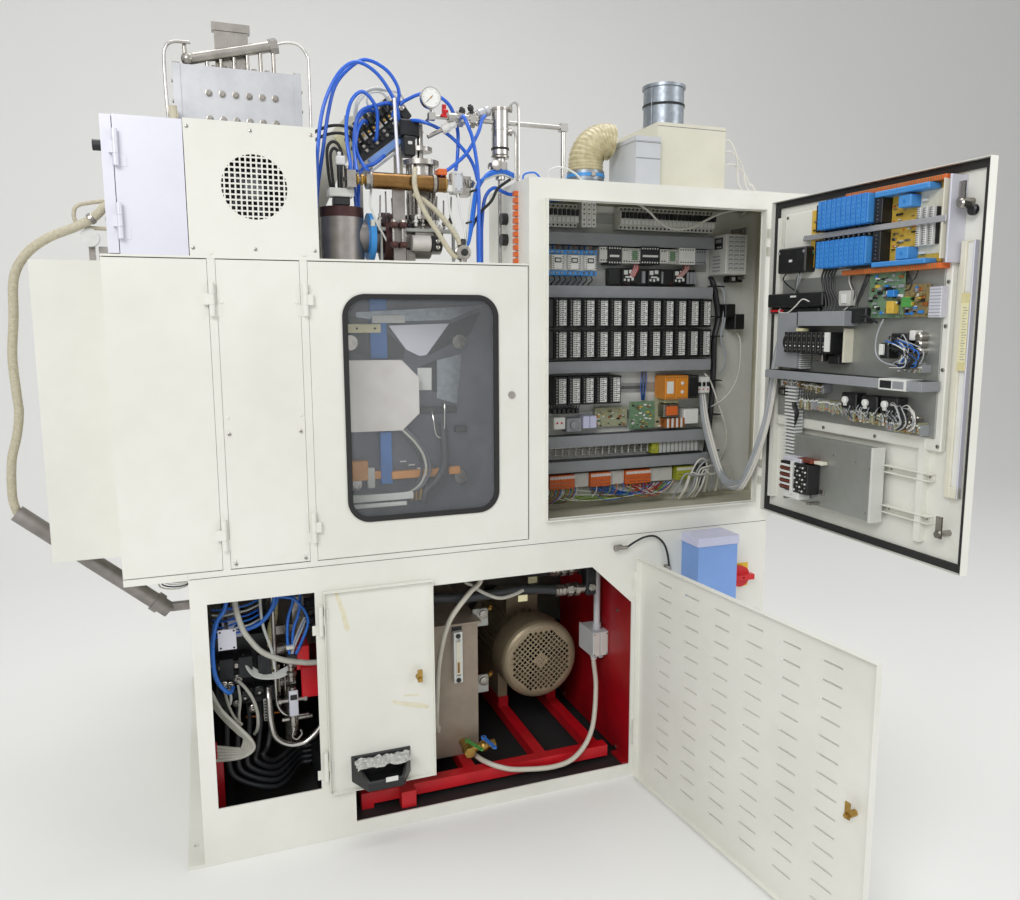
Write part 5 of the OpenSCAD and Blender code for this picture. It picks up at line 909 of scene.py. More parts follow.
def relay_boards(kit):
    kit.plate(232, 296, 872, 1058, 22, 27, "relay_yellow", 0.5)
    kit.plate(296, 585, 858, 1072, 22, 27, "brown_board", 0.5)
    kit.plate(585, 772, 856, 1076, 24, 29, "relay_yellow", 0.5)
    kit.plate(690, 772, 880, 1052, 29, 30, "pocket_pvc", 0)
    chance = random.Random(71)
    for _ in range(46):
        far, up = chance.uniform(592, 680), chance.uniform(866, 1040)
        tone = chance.choice(("black_moulding", "terminal_orange", "brown_board",
                "turned_steel", "label_white"))
        wide, tall = chance.choice(((14, 4), (5, 5), (9, 3), (22, 6)))
        kit.plate(far, far + wide, up, up + tall, 29, 29 + chance.uniform(3, 9), tone, 0.6)
    for _ in range(18):
        far, up = chance.uniform(236, 286), chance.uniform(878, 1050)
        kit.plate(far, far + 7, up, up + 4, 27, 33, chance.choice(("black_moulding", "turned_steel",
                "lever_green")), 0.5)
    for low in (1012, 868):
        kit.plate(646, 692, low, low + 34, 29, 68, "contactor_blue", 2)
        kit.stud(668, low + 17, 68, 5, 1.5, "relay_blue", 10)
        kit.plate(704, 722, low + 12, low + 18, 30, 40, "label_white", 0.6)
    for k in range(3):
        near = 700 + 23 * k
        kit.plate(near, near + 13, 902, 1006, 30, 52, "label_white", 1)
        kit.plate(near + 13, near + 17, 904, 1004, 30, 42, "black_moulding", 0)
        for row in range(17):
            kit.plate(near + 2, near + 6, 905 + 6 * row, 908 + 6 * row, 52, 52.8, "dial_line", 0)
            kit.stud(near + 9.5, 906.5 + 6 * row, 52, 1.7, 1.2, "turned_steel", 6)
    for low, high, bar_low, bar_high in ((1052, 1068, 1070, 1083), (852, 866, 836, 851)):
        kit.plate(560, 760, low, high, 30, 74, "contactor_blue", 2)
        kit.plate(420, 800, bar_low, bar_high, 24, 58, "terminal_orange", 1.2)
        for k in range(42):
            kit.plate(426 + 8.7 * k, 428 + 8.7 * k, bar_low - 0.6, bar_high + 0.6, 26, 58.8,
                      "brown_board", 0)
        for k in range(22):
            kit.stud(564 + 8.8 * k, (low + high) / 2, 74, 1.8, 1, "relay_blue", 6)
    kit.plate(796, 800, 862, 1072, 24, 62, "pocket_pvc", 0.5)
    kit.plate(812, 818, 850, 1080, 0.3, 58, "anodised_sheet", 0.8)
    kit.plate(776, 790, 870, 1066, 24, 30, "rolled_aluminium", 0.8)


def dress_relay_rack():
    kit = DoorPiece()
    relay_rows(kit)
    relay_boards(kit)
    for k in range(5):
        kit.lead([(300 + 14 * k, 1066, 40), (296 + 16 * k, 1074, 46), (360 + 30 * k, 1079, 50),
                  (440 + 20 * k, 1080, 46), (520 + 12 * k, 1074, 42)], 1.8, "black_sheath")
    kit.done("relay_rows", "cabinet_door", "blue_plastic", ["relay_rack"])


def mounting_plates(kit):
    kit.plate(84, 806, 330, 1062, 0.2, 20, "cream_powder_coat", 3)
    kit.plate(92, 786, 366, 838, 20, 25, "zinc_plate", 0.8)
    screws = (
        (100, 1050), (430, 1050), (796, 1050), (796, 800), (796, 560), (796, 345), (560, 345), (330, 345),
        (796, 680),
    )
    for far, up in screws:
        kit.stud(far, up, 20, 5.5, 3.5, "turned_steel", 14)
        kit.stud(far, up, 23.4, 2.4, 0.6, "black_moulding", 6)
    kit.plate(224, 598, 88, 313, 22, 60, "zinc_plate", 1.2)
    kit.plate(596, 604, 84, 316, 18, 66, "white_plate_lacquer", 1)
    for far, up in ((430, 268), (530, 262), (588, 250), (300, 296), (580, 110)):
        kit.stud(far, up, 60, 3, 1.5, "turned_steel", 10)
    for low in (241, 118):
        for up in (low, low + 20):
            kit.plate(604, 782, up, up + 3, 0.3, 26, "cream_powder_coat", 1)
        kit.plate(604, 778, low + 3, low + 20, 0.3, 6, "cream_powder_coat", 0.6)
        for far in (620, 764):
            kit.stud(far, low + 11, 6, 3.5, 2, "turned_steel", 10)
    for low, high in ((60, 78), (250, 268)):
        kit.plate(110, 420, low, high, 0.3, 3, "cream_powder_coat", 0.8)


def wiring_ducts(kit):
    ducts = (
        (145, 252, 540, 724, 82), (256, 476, 680, 726, 88), (100, 796, 500, 528, 92),
    )
    for near, far, low, high, out in ducts:
        kit.plate(near, far, low, high, 25, out, "trunking_grey", 1)
        if far - near > high - low:
            # Dark marks along the long ducts' edges: painted shade of the gaps between their fingers
            for k in range(int((far - near) // 12)):
                for up in (low - 0.6, high + 0.1):
                    kit.plate(near + 4 + 12 * k, near + 9 + 12 * k, up, up + 0.6, 30, out - 8,
                              "dial_line", 0)
    kit.plate(256, 260, 682, 724, 26, 89, "dial_line", 0)
    kit.plate(640, 742, 498, 530, 30, 96, "label_white", 1)
    kit.plate(646, 690, 503, 525, 60, 97, "black_moulding", 0.8)
    kit.plate(694, 736, 503, 525, 60, 96.6, "trunking_grey", 0.8)
    # Upright duct with open fingers
    kit.plate(186, 232, 230, 484, 25, 58, "trunking_grey", 1)
    for k in range(21):
        kit.plate(182, 234, 234 + 11.8 * k, 239.5 + 11.8 * k, 28, 66, "label_white", 0.6)
    for k in range(9):
        kit.plate(196, 262, 538 + 7.4 * k, 541.5 + 7.4 * k, 28, 70, "label_white", 0.6)


def cam_switch(kit):
    """The main control's rotary switch: a stack of dark wafers on its shaft."""
    for k in range(9):
        near = 214 + 23 * k
        kit.plate(near, near + 20, 592, 660, 30, 104, "black_moulding", 2)
        for up in (604, 626, 648):
            kit.stud(near + 10, up, 104, 4, 2, "turned_steel", 8)
            kit.stud(near + 10, up, 105.6, 1.5, 0.8, "dial_line", 6)
        kit.stud(near + 10, 615, 104, 2.6, 1.2, "label_white", 8)
    kit.lathe(on_door(214, 626, 66), RIGHT, [(0, 36), (10, 36), (14, 30)], "black_moulding", 26)
    kit.lathe(on_door(200, 626, 66), RIGHT, [(0, 7), (6, 6)], "label_white", 12)
    kit.plate(250, 282, 662, 672, 60, 86, "tag_paper", 0.5)
    kit.plate(420, 440, 600, 660, 104, 112, "label_white", 1)
    kit.plate(444, 452, 566, 672, 25, 60, "pocket_pvc", 0.6)
    kit.plate(330, 372, 566, 590, 30, 76, "turned_steel", 2)
    kit.plate(380, 430, 560, 586, 30, 60, "black_moulding", 2)


def dark_modules(kit):
    kit.plate(106, 250, 858, 942, 0.3, 62, "black_moulding", 5)
    kit.plate(168, 184, 894, 902, 62, 63, "label_white", 0)
    for far in (114, 242):
        kit.stud(far, 926, 62, 5, 2, "trunking_grey", 12)
    kit.plate(44, 330, 744, 790, 0.3, 52, "black_moulding", 4)
    kit.plate(44, 300, 722, 742, 0.3, 40, "black_moulding", 4)
    kit.plate(170, 200, 776, 782, 52, 53, "label_white", 0)
    kit.plate(50, 120, 728, 736, 40, 42, "switch_red", 0.6)
    kit.plate(398, 450, 742, 790, 20, 46, "light_grey_moulding", 2)
    kit.plate(414, 436, 750, 780, 46, 50, "white_moulding", 1)
    kit.plate(460, 536, 688, 736, 26, 60, "black_moulding", 4)
    kit.plate(112, 196, 438, 464, 0.3, 44, "black_moulding", 3)
    kit.plate(130, 150, 444, 458, 44, 48, "turned_steel", 1)
    for far, up in ((470, 448), (556, 446), (634, 448)):
        kit.plate(far - 14, far + 52, up - 22, up + 26, 25, 66, "black_moulding", 3)
        kit.lathe(on_door(far + 8, up + 4, 66), INWARD, [(0, 11), (8, 11), (10, 8)], "white_moulding", 14)
        kit.plate(far + 2, far + 14, up - 14, up - 4, 66, 72, "label_white", 1)
    kit.plate(606, 640, 586, 632, 25, 66, "black_moulding", 3)
    kit.plate(612, 628, 596, 628, 66, 76, "label_white", 2)
    kit.plate(640, 704, 606, 660, 25, 60, "black_moulding", 3)
    kit.plate(704, 724, 640, 668, 25, 56, "white_moulding", 2)
    for k in range(3):
        kit.lathe(on_door(734, 610 + 20 * k, 25), INWARD, [(0, 13), (26, 13), (30, 9)], "turned_steel", 16)


def circuit_boards(kit):
    chance = random.Random(83)
    boards = (
        (525, 662, 704, 836, "green_board", 52), (664, 752, 706, 798, "brown_board", 34),
    )
    for near, far, low, high, tone, count in boards:
        kit.plate(near, far, low, high, 38, 41, tone, 0.5)
        for corner in product((near + 6, far - 6), (low + 6, high - 6)):
            kit.stud(corner[0], corner[1], 25, 3, 19, "turned_steel", 8)
        for _ in range(count):
            a, b = chance.uniform(near + 4, far - 16), chance.uniform(low + 4, high - 12)
            wide, tall, deep = chance.choice(((8, 4, 4), (14, 6, 7), (5, 5, 14), (18, 9, 5),
                    (6, 10, 10), (10, 10, 3)))
            kind = chance.choice(("black_moulding", "turned_steel", "label_white", "relay_blue",
                    "relay_yellow", "copper_bar", "valve_phosphate", "trunking_grey"))
            kit.plate(a, a + wide, b, b + tall, 41, 41 + deep, kind, 0.6)
    kit.plate(614, 642, 764, 784, 41, 60, "relay_blue", 2)
    kit.plate(618, 646, 716, 752, 41, 64, "relay_yellow", 2)
    kit.plate(664, 700, 734, 762, 41, 52, "lever_green", 1)
    for k in range(3):
        kit.lathe(on_door(708 + 14 * k, 770 - 16 * (k % 2), 41), INWARD, [(0, 6), (16, 6), (17, 4)],
                  "brown_board", 12)
    kit.plate(756, 798, 704, 788, 22, 46, "anodised_sheet", 1.5)
    for k in range(9):
        kit.plate(756, 798, 708 + 9 * k, 709.6 + 9 * k, 45, 46.8, "trunking_grey", 0)


def terminal_strips(kit):
    chance = random.Random(97)
    strips = (
        (150, 240, 476, 496), (258, 360, 462, 490), (250, 474, 404, 440), (474, 640, 388, 424),
        (640, 768, 376, 406), (668, 760, 552, 574),
    )
    for near, far, low, high in strips:
        far_at = near
        while far_at < far:
            lift = chance.uniform(-3, 3)
            tone = chance.choice(("brown_board", "pale_board", "light_grey_moulding", "trunking_grey"))
            kit.plate(far_at, far_at + 6.4, low + lift, high + lift, 25, 56 + chance.uniform(-4, 4),
                      tone, 0.7)
            kit.plate(far_at + 1, far_at + 5.4, high + lift - 9, high + lift - 4, 58, 62,
                      "label_white", 0.5)
            kit.stud(far_at + 3.2, low + lift + 7, 56, 2.2, 3,
                     chance.choice(("turned_steel", "copper_bar")), 6)
            far_at += 7.2
    for k in range(9):
        kit.lathe(on_door(700 + 7 * k, 392 + (k % 3) * 16, 40), INWARD, [(0, 5), (20, 5), (23, 2)],
                  "turned_steel", 8)


def small_transformer(kit):
    cores = (
        (232, 300, 130, 226, "valve_phosphate"), (300, 372, 128, 228, "black_moulding"),
    )
    for near, far, low, high, tone in cores:
        kit.plate(near, far, low, high, 62, 112, tone, 2)
    for k in range(8):
        kit.plate(236, 292, 136 + 10.6 * k, 143 + 10.6 * k, 108, 118,
                  ("copper_winding", "label_white")[k % 2], 1.5)
    for k, m in product(range(5), range(7)):
        kit.stud(310 + 13 * k, 138 + 13 * m, 112, 3.4, 4,
                 ("label_white", "black_moulding", "turned_steel")[(k + m) % 3], 8)
    kit.plate(294, 304, 122, 232, 62, 120, "label_white", 1)
    kit.plate(240, 330, 228, 242, 62, 108, "anodised_sheet", 2)
    kit.plate(300, 372, 232, 244, 62, 100, "copper_winding", 2)
    kit.plate(356, 408, 232, 242, 62, 88, "pocket_pvc", 2)
    kit.plate(250, 330, 104, 128, 62, 112, "label_white", 3)
    kit.plate(378, 396, 130, 146, 60, 66, "turned_steel", 1)
    for far in (244, 360):
        kit.plate(far, far + 16, 96, 104, 60, 104, "turned_steel", 1)


def document_pocket(kit):
    kit.plate(826, 871, 208, 906, 0.3, 3, "pocket_pvc", 1)
    kit.plate(826, 844, 208, 906, 3, 20, "pocket_pvc", 2)
    kit.plate(844, 871, 208, 240, 3, 20, "pocket_pvc", 2)
    kit.plate(866, 871, 208, 906, 3, 20, "anodised_sheet", 1)
    kit.plate(844, 866, 240, 900, 6, 14, "white_moulding", 1)
    for low, high in ((742, 768), (560, 584)):
        kit.plate(840, 868, low, high, 20, 20.8, "old_tape", 0)
    kit.plate(842, 866, 584, 742, 19.8, 20.4, "tag_paper", 0)
    for k in range(20):
        kit.plate(848, 864 - (k * 5) % 9, 590 + 7.3 * k, 591.6 + 7.3 * k, 20.4, 20.8, "trunking_grey", 0)
    kit.lathe(on_door(845, 1000, 26), INWARD, [(0, 13), (26, 13), (30, 9)], "turned_steel", 18)
    kit.lathe(on_door(856, 984, 14), INWARD, [(0, 15), (10, 15), (14, 11)], "black_moulding", 20)


def door_leads(kit):
    for k in range(2):
        kit.lead([(130 + 70 * k, 860, 40), (128 + 70 * k, 838, 52), (170 + 30 * k, 812, 56),
                  (196 + 8 * k, 796, 50), (200 + 6 * k, 786, 44)], 2.6, "black_sheath")
        kit.lead([(205 + 14 * k, 858, 50), (212 + 10 * k, 830, 58), (204, 806, 56), (190, 792, 50),
                  (184, 788, 46)], 1.8, "trunking_grey")
    for k in range(5):
        far = 316 + 14 * k
        kit.lead([(far, 864, 34), (far - 4, 838, 42), (far + 4, 800, 40 + 3 * k), (far + 22, 762, 44),
                  (far + 30, 736, 50), (far + 26, 724, 60)], 3.2, "black_sheath")
    kit.lead([(430, 858, 30), (428, 820, 34), (440, 784, 30), (432, 742, 36), (430, 730, 50)],
             1.8, "white_sheath")
    kit.lead([(436, 858, 30), (436, 820, 34), (452, 784, 30), (444, 742, 36), (440, 730, 50)],
             1.8, "black_sheath")
    for k in range(3):
        kit.lead([(512 + 5 * k, 850, 34), (508 + 4 * k, 810, 46), (492 + 4 * k, 770, 50), (488, 738, 54),
                  (506, 716, 58), (544, 708, 60), (584, 690, 60)], 3.6, "black_sheath")
    kit.lead([(660, 842, 34), (676, 824, 42), (690, 806, 44), (684, 786, 44), (668, 780, 46)],
             1.8, "black_sheath")
    kit.lead([(700, 850, 34), (706, 828, 42), (696, 810, 44), (672, 798, 44)], 1.8, "black_sheath")
    kit.lead([(110, 738, 44), (130, 728, 66), (180, 724, 70), (214, 744, 66), (240, 768, 58),
              (270, 760, 54)], 2.2, "white_sheath")
    kit.lead([(594, 700, 46), (588, 660, 60), (590, 610, 66), (612, 580, 66), (660, 568, 62),
              (700, 576, 56)], 2.4, "grey_sheath")
    chance = random.Random(41)
    tones = ("black_sheath", "bright_blue_tube", "grey_sheath", "black_sheath",
             "milky_tube", "black_sheath")
    for k in range(22):
        a, b = chance.uniform(620, 690), chance.uniform(596, 650)
        c, d = chance.uniform(690, 760), chance.uniform(560, 600)
        kit.lead([(a, b, 60), (a + 20, b + chance.uniform(-6, 12), 72),
                  (c + chance.uniform(0, 24), (b + d) / 2 + 6, 74), (c + chance.uniform(-8, 10), d, 70),
                  (chance.uniform(640, 700), 562 + chance.uniform(-6, 14), 62)], 1.7, tones[k % 6])
    for k in range(28):
        a = chance.uniform(420, 700)
        kit.lead([(a, 440, 60), (a + chance.uniform(-8, 12), 428, 70),
                  (a + chance.uniform(-14, 18), 412, 66), (a + chance.uniform(-20, 20), 398, 60)], 1.5,
                 ("black_sheath", "grey_sheath")[k % 2])
    for k in range(14):
        a = chance.uniform(690, 752)
        kit.lead([(a - 60, 442, 60), (a - 20, 452 + chance.uniform(-6, 8), 68),
                  (a + 6, 430 + chance.uniform(-10, 10), 72), (a + 8, 400, 68), (a - 20, 382, 60)], 1.5,
                 ("black_sheath", "white_sheath", "grey_sheath")[k % 3])
    for k in range(6):
        kit.lead([(216 + 3 * k, 424, 60), (226 + 5 * k, 408, 68), (238 + 4 * k, 384, 66),
                  (230, 356 - 4 * k, 60), (222, 330, 52)], 1.6, "black_sheath")
    for k in range(7):
        kit.lead([(250 + 12 * k, 470, 60), (256 + 12 * k, 452, 66), (246 + 14 * k, 436, 60)],
                 1.5, "black_sheath")


def dress_door():
    kit = DoorPiece()
    mounting_plates(kit)
    wiring_ducts(kit)
    cam_switch(kit)
    dark_modules(kit)
    small_transformer(kit)
    document_pocket(kit)
    kit.done("door_gear", "cabinet_door", "galvanised", ["door_equipment"])
    kit = DoorPiece()
    circuit_boards(kit)
    terminal_strips(kit)
    kit.done("door_boards", "cabinet_door", "green_plastic")
    kit = DoorPiece()
    door_leads(kit)
    kit.done("door_wires", "cabinet_door", "cable_grey")


dress_relay_rack()
dress_door()


# Over the roof: air lines, valves, fittings, hoses and ducts
AIR_ROUTES = (
    ((436, 200, 1870.5), (436, 200, 1920), (436, 200, 1980), (440, 200, 2080), (448, 198, 2212),
     (470, 195, 2350), (520, 195, 2455), (580, 205, 2500), (650, 222, 2475), (708, 244, 2405),
     (727, 260, 2346), (726, 273, 2341), (726, 283.5, 2341)),
    ((542, 150, 2156.5), (542, 150, 2180), (536, 158, 2235), (538, 175, 2310), (560, 190, 2380),
     (600, 200, 2410), (645, 222, 2365), (649, 252, 2288), (647, 264, 2280), (647, 274, 2280),
     (647, 283.5, 2280)),
    ((903, 127.5, 2340), (903, 105, 2338), (913, 90, 2305), (930, 92, 2260), (948, 100, 2160),
     (950, 100, 2000), (950, 100, 1920), (950, 100, 1870.5)),
    ((1087.5, 150, 2110), (1080, 150, 2110), (1070, 150, 2111), (1052, 146, 2116), (1015, 142, 2126),
     (985, 142, 2090), (975, 145, 2010), (975, 150, 1940), (975, 150, 1870.5)),
    ((436, 232, 1871), (438, 232, 1980), (448, 230, 2100), (466, 222, 2212), (491, 220, 2351),
     (521, 224, 2439), (586, 230, 2506), (631, 236, 2518), (685, 244, 2496), (718, 250, 2458),
     (728, 258, 2424), (716, 266, 2384), (704, 284, 2352)),
    ((562, 150, 2156), (563, 170, 2180), (566, 210, 2230), (570, 228, 2269), (578, 230, 2321),
     (600, 234, 2362), (653, 240, 2384), (690, 252, 2396), (712, 270, 2388), (716, 284, 2372)),
    ((600, 150, 2157), (594, 190, 2178), (577, 220, 2225), (574, 228, 2286), (588, 236, 2339),
     (625, 252, 2369), (648, 274, 2364), (655, 284, 2350)),
    ((733, 270, 2398), (748, 262, 2410), (786, 232, 2426), (824, 212, 2430), (872, 202, 2405),
     (897, 198, 2367), (910, 194, 2305), (903, 182, 2220), (893, 165, 2186), (888, 152, 2168)),
    ((748, 262, 2345), (782, 205, 2337), (842, 182, 2312), (899, 172, 2271), (947, 165, 2212),
     (966, 160, 2149), (968, 152, 2080), (962, 148, 1980), (962, 148, 1871)),
    ((985, 130, 2352), (972, 126, 2338), (957, 124, 2294), (918, 126, 2229), (869, 132, 2184),
     (840, 140, 2164), (836, 146, 2152)),
    ((573, 226, 1871), (575, 226, 1940), (572, 224, 2030), (566, 222, 2110), (569, 222, 2200),
     (580, 226, 2290), (604, 240, 2330), (622, 270, 2330)),
    ((586, 238, 1871), (584, 238, 1980), (580, 234, 2080), (590, 232, 2170), (640, 240, 2200),
     (676, 262, 2230)),
)
MILKY_ROUTES = (
    ((606, 262, 2330), (588, 262, 2350), (588, 258, 2378), (602, 256, 2402), (633, 256, 2431),
     (679, 258, 2436), (728, 262, 2434), (750, 272, 2412)),
    ((612, 258, 2326), (580, 256, 2338), (582, 250, 2388), (612, 248, 2424), (660, 250, 2440),
     (712, 260, 2424), (736, 280, 2392)),
    ((640, 262, 2372), (620, 256, 2392), (628, 252, 2420), (664, 254, 2428), (690, 262, 2410),
     (694, 280, 2380)),
    ((1016, 146, 2225), (1004, 140, 2190), (988, 132, 2160), (958, 122, 2120), (936, 116, 2070),
     (924, 112, 2010), (913, 108, 1950), (905, 104, 1925)),
    ((853, 120, 2092), (857, 118, 2038), (876, 112, 1976), (894, 108, 1930)),
    ((887, 130, 2108), (893, 125, 2040), (906, 115, 1980), (903, 108, 1932)),
    ((612, 180, 2106), (606, 176, 2060), (622, 172, 2010), (650, 176, 1960), (668, 180, 1930)),
    ((690, 182, 2100), (700, 176, 2050), (712, 170, 1990), (720, 168, 1960)),
)
CABLE_ROUTES = (
    ((418, 236, 2262), (449, 234, 2284), (490, 236, 2304), (535, 240, 2310), (579, 246, 2299),
     (604, 262, 2276), (612, 284, 2262)),
    ((418, 244, 2238), (448, 242, 2260), (489, 244, 2281), (534, 248, 2288), (570, 254, 2275),
     (592, 270, 2252), (600, 284, 2240)),
    ((486, 194, 2106), (480, 195, 2150), (477, 196, 2215), (484, 197, 2240), (499, 198, 2250),
     (515, 198, 2240), (524, 197, 2212), (521, 195, 2190)),
    ((494, 186, 2106), (490, 188, 2150), (487, 190, 2205), (493, 191, 2224), (502, 192, 2228),
     (511, 191, 2218), (512, 190, 2190)),
    ((1060, 96, 2150), (1020, 110, 2120), (1000, 118, 2080), (960, 120, 2040), (930, 116, 1990)),
)


def dress_air_lines():
    kit = Piece()
    for route in AIR_ROUTES:
        kit.hose(route, 6, "blue_tube", 5, 12)
    for k in range(9):
        out, up = 9 * math.cos(0.7 * k), 9 * math.sin(0.7 * k)
        kit.hose([(1087.5, 146 + out, 2168 + up), (1052, 138 + out, 2178 + up),
                  (1019, 130 + out, 2174 + up), (985, 124 + out, 2160 + up), (962 + up, 121 + out, 2142),
                  (944 + up, 119 + out, 2108), (935 + up, 118 + out, 2062), (926 + up, 116 + out, 2005),
                  (915 + 0.6 * up, 112 + out, 1946), (908 + 0.4 * up, 112 + 0.6 * out, 1930)], 3.4,
                 "milky_tube" if k in (2, 6, 7) else "bright_blue_tube", 4, 8)
    for x, z in ((944, 2108), (925, 2005)):
        kit.lathe((x - 2, 118, z + 6), (0.25, 0, -1), [(0, 13), (0.1, 14.4), (6, 14.4), (6.1, 13)],
                  "black_moulding", 20)
    kit.done("air_lines", slot="blue_tube", stands_for=["air_tubes"])
    kit = Piece()
    for route in MILKY_ROUTES:
        kit.hose(route, 3.6, "milky_tube", 4, 8)
    for route in CABLE_ROUTES:
        kit.hose(route, 5, "black_rubber", 4, 10)
    braided_routes = (
        ((744, 124, 2168), (738, 108, 2150), (738, 104, 2106), (763, 103, 2042), (802, 102, 1981),
         (852, 100, 1908), (872, 100, 1892)),
        ((744, 146, 2092), (771, 122, 2071), (808, 118, 2042), (845, 116, 2003), (878, 110, 1955),
         (884, 106, 1932)),
    )
    for route in braided_routes:
        kit.ribbed(eased(route, 6), 8.6, 0.8, 5, "braided_jacket", 12)
    kit.done("roof_cables", slot="cable_grey")


def sheet(kit, outline, front, thick, tone):
    """An upright flat sheet cut to an outline of places along and up."""
    count = len(outline)
    points = [(x, front + back, z) for back in (0, thick) for x, z in outline]
    faces = [list(range(count)), list(range(count, 2 * count))[::-1]]
    faces += [[k, k + count, (k + 1) % count + count, (k + 1) % count] for k in range(count)]
    kit.solid(points, faces, tone)


VALVE_TILT = Matrix.Translation((676, 310, 2340)) @ Matrix.Rotation(math.radians(-38), 4, "Y")


def dress_valve_bank():
    """The tilted bank of air valves: slices with a coil, a cap, a button and two push-in ports."""
    kit = Piece(VALVE_TILT)
    for k in range(8):
        left = -112 + 22 * k
        kit.block((left, -36, -12), (left + 18, -20.2, 14),
                  ("black_moulding", "light_grey_moulding")[k % 3 == 1], 1.5)
        kit.block((left + 2, -52, 14), (left + 16, -8, 40), "black_moulding", 2)
        kit.block((left + 3, -44, 40), (left + 15, -22, 54), ("trunking_grey", "black_moulding")[k % 2], 2)
        kit.lathe((left + 9, -36, 2), OUTWARD, [(0, 4.5), (3, 4.5), (3.5, 3), (6, 3)], "turned_brass", 12)
        kit.block((left + 4, -37, -9), (left + 14, -36, -4), "label_white", 0)
        for drop in (-24, -40):
            kit.lathe((left + 9, -26.2, drop), OUTWARD, [(0, 6.5), (7, 6.5), (8, 5), (13, 5)],
                      ("turned_steel", "black_moulding")[k % 2], 14)
    kit.block((-150, -30, -92), (60, 16, -60.5), "zinc_plate", 1.5)
    kit.block((-120, -38, -88), (20, -30, -64), "box_blue", 2)
    kit.block((-148, -34, -104), (96, -26, -96), "rolled_aluminium", 1)
    for along in (-130, -20, 76):
        kit.block((along, -26, -97), (along + 10, -10, -91), "turned_steel", 1)
    kit.block((-150, 18, -58), (-96, 29, 56), "tag_paper", 1.5)
    for up in (-8, 26):
        kit.lathe((-122, 18, up), OUTWARD, [(0, 9), (2, 9), (2.5, 5), (5, 5)], "black_moulding", 18)
    kit.block((64, -30, -40), (98, 20, 24), "black_moulding", 4)
    kit.lathe((80, -30, 2), OUTWARD, [(0, 11), (10, 11), (12, 8)], "turned_steel", 16)
    kit.lathe((80, -5, 24), UP, [(0, 8), (14, 8), (16, 5)], "turned_steel", 12)
    kit.done("valve_slices", slot="dark_metal")
    kit = Piece()
    # The beige cover sheet behind the valves, down to the drum
    sheet(kit, ((700, 2400), (635, 2392), (607, 2372), (564, 2362), (488, 2284), (460, 2156), (460, 2040),
                (476, 2040), (545, 2190), (594, 2262), (700, 2350)), 345, 3, "fan_box_coat")
    kit.block((458, 342, 1870.3), (480, 348, 2041), "fan_box_coat", 1)
    kit.block((560, 336, 2350), (566, 345, 2366), "turned_steel", 1)
    kit.done("valve_cover_sheet", slot="cream_paint")


def fittings_between(kit, start, end, rings, tone):
    """Turned fittings in a row: each ring gives a share of the way and its radius."""
    start, end = Vector(start), Vector(end)
    length = (end - start).length
    profile = []
    for low, high, radius in rings:
        profile += [(length * low, radius - 1), (length * low + 1, radius), (length * high - 1, radius),
                    (length * high, radius - 1)]
    kit.lathe(start, end - start, profile, tone, 18)


def dress_cylinder():
    kit = Piece()
    collars = (
        (600, 8, 29, "turned_steel"), (806, 10, 30, "turned_brass"), (816, 6, 28, "black_rubber"),
        (846, 6, 27, "turned_brass"),
    )
    for x, wide, radius, tone in collars:
        kit.lathe((x, 150, 2130), RIGHT, [(0, radius - 1.5), (1.5, radius), (wide - 1.5, radius),
                (wide, radius - 1.5)], tone, 30)
    fittings_between(kit, (552, 150, 2130), (600, 150, 2130),
                     [(0, 0.14, 12), (0.16, 0.3, 17), (0.34, 0.4, 9), (0.42, 0.58, 18), (0.62, 0.7, 12),
                      (0.72, 0.84, 20), (0.86, 1, 15)], "turned_brass")
    kit.block((822, 128, 2156), (852, 168, 2176), "terminal_orange", 2)
    kit.block((852, 126, 2104), (880, 160, 2126), "white_moulding", 3)
    kit.block((868, 118, 2100), (904, 172, 2170), "light_grey_moulding", 5)
    kit.block((872, 114, 2106), (900, 118.2, 2164), "box_grey", 2)
    for x, z in product((877, 895), (2112, 2158)):
        kit.bolt((x, 114, z), OUTWARD, 2.6, "turned_steel", 10)
    for at, radius in ((904, 22), (912, 26), (922, 20)):
        kit.lathe((at, 146, 2134), (1, 0, 0.25), [(0, radius - 2), (2, radius), (6, radius),
                (8, radius - 2)], "turned_steel", 24)
    kit.lathe((926, 132, 2134), (0.5, -1, -0.2), [(0, 13), (14, 13), (16, 9), (22, 9)], "turned_steel", 20)
    # Terminal blocks and dark post over the drum
    kit.block((477, 176, 2080), (557, 232, 2106), "white_moulding", 3)
    kit.block((492, 184, 2053), (544, 226, 2079.6), "black_moulding", 3)
    kit.block((503, 182, 2178), (533, 206, 2206), "white_moulding", 3)
    kit.block((508, 184, 2206), (520, 200, 2218), "white_moulding", 2)
    kit.rod((514, 192, 2106), (514, 192, 2178), 8, "black_moulding", 16)
    kit.rod((528, 196, 2106), (528, 196, 2178), 5, "turned_steel", 14)
    fittings_between(kit, (540, 186, 2106), (540, 186, 2176),
                     [(0, 0.3, 11), (0.32, 0.5, 15), (0.54, 0.8, 10), (0.84, 1, 13)], "turned_steel")
    kit.done("cylinder_fittings", slot="brass")


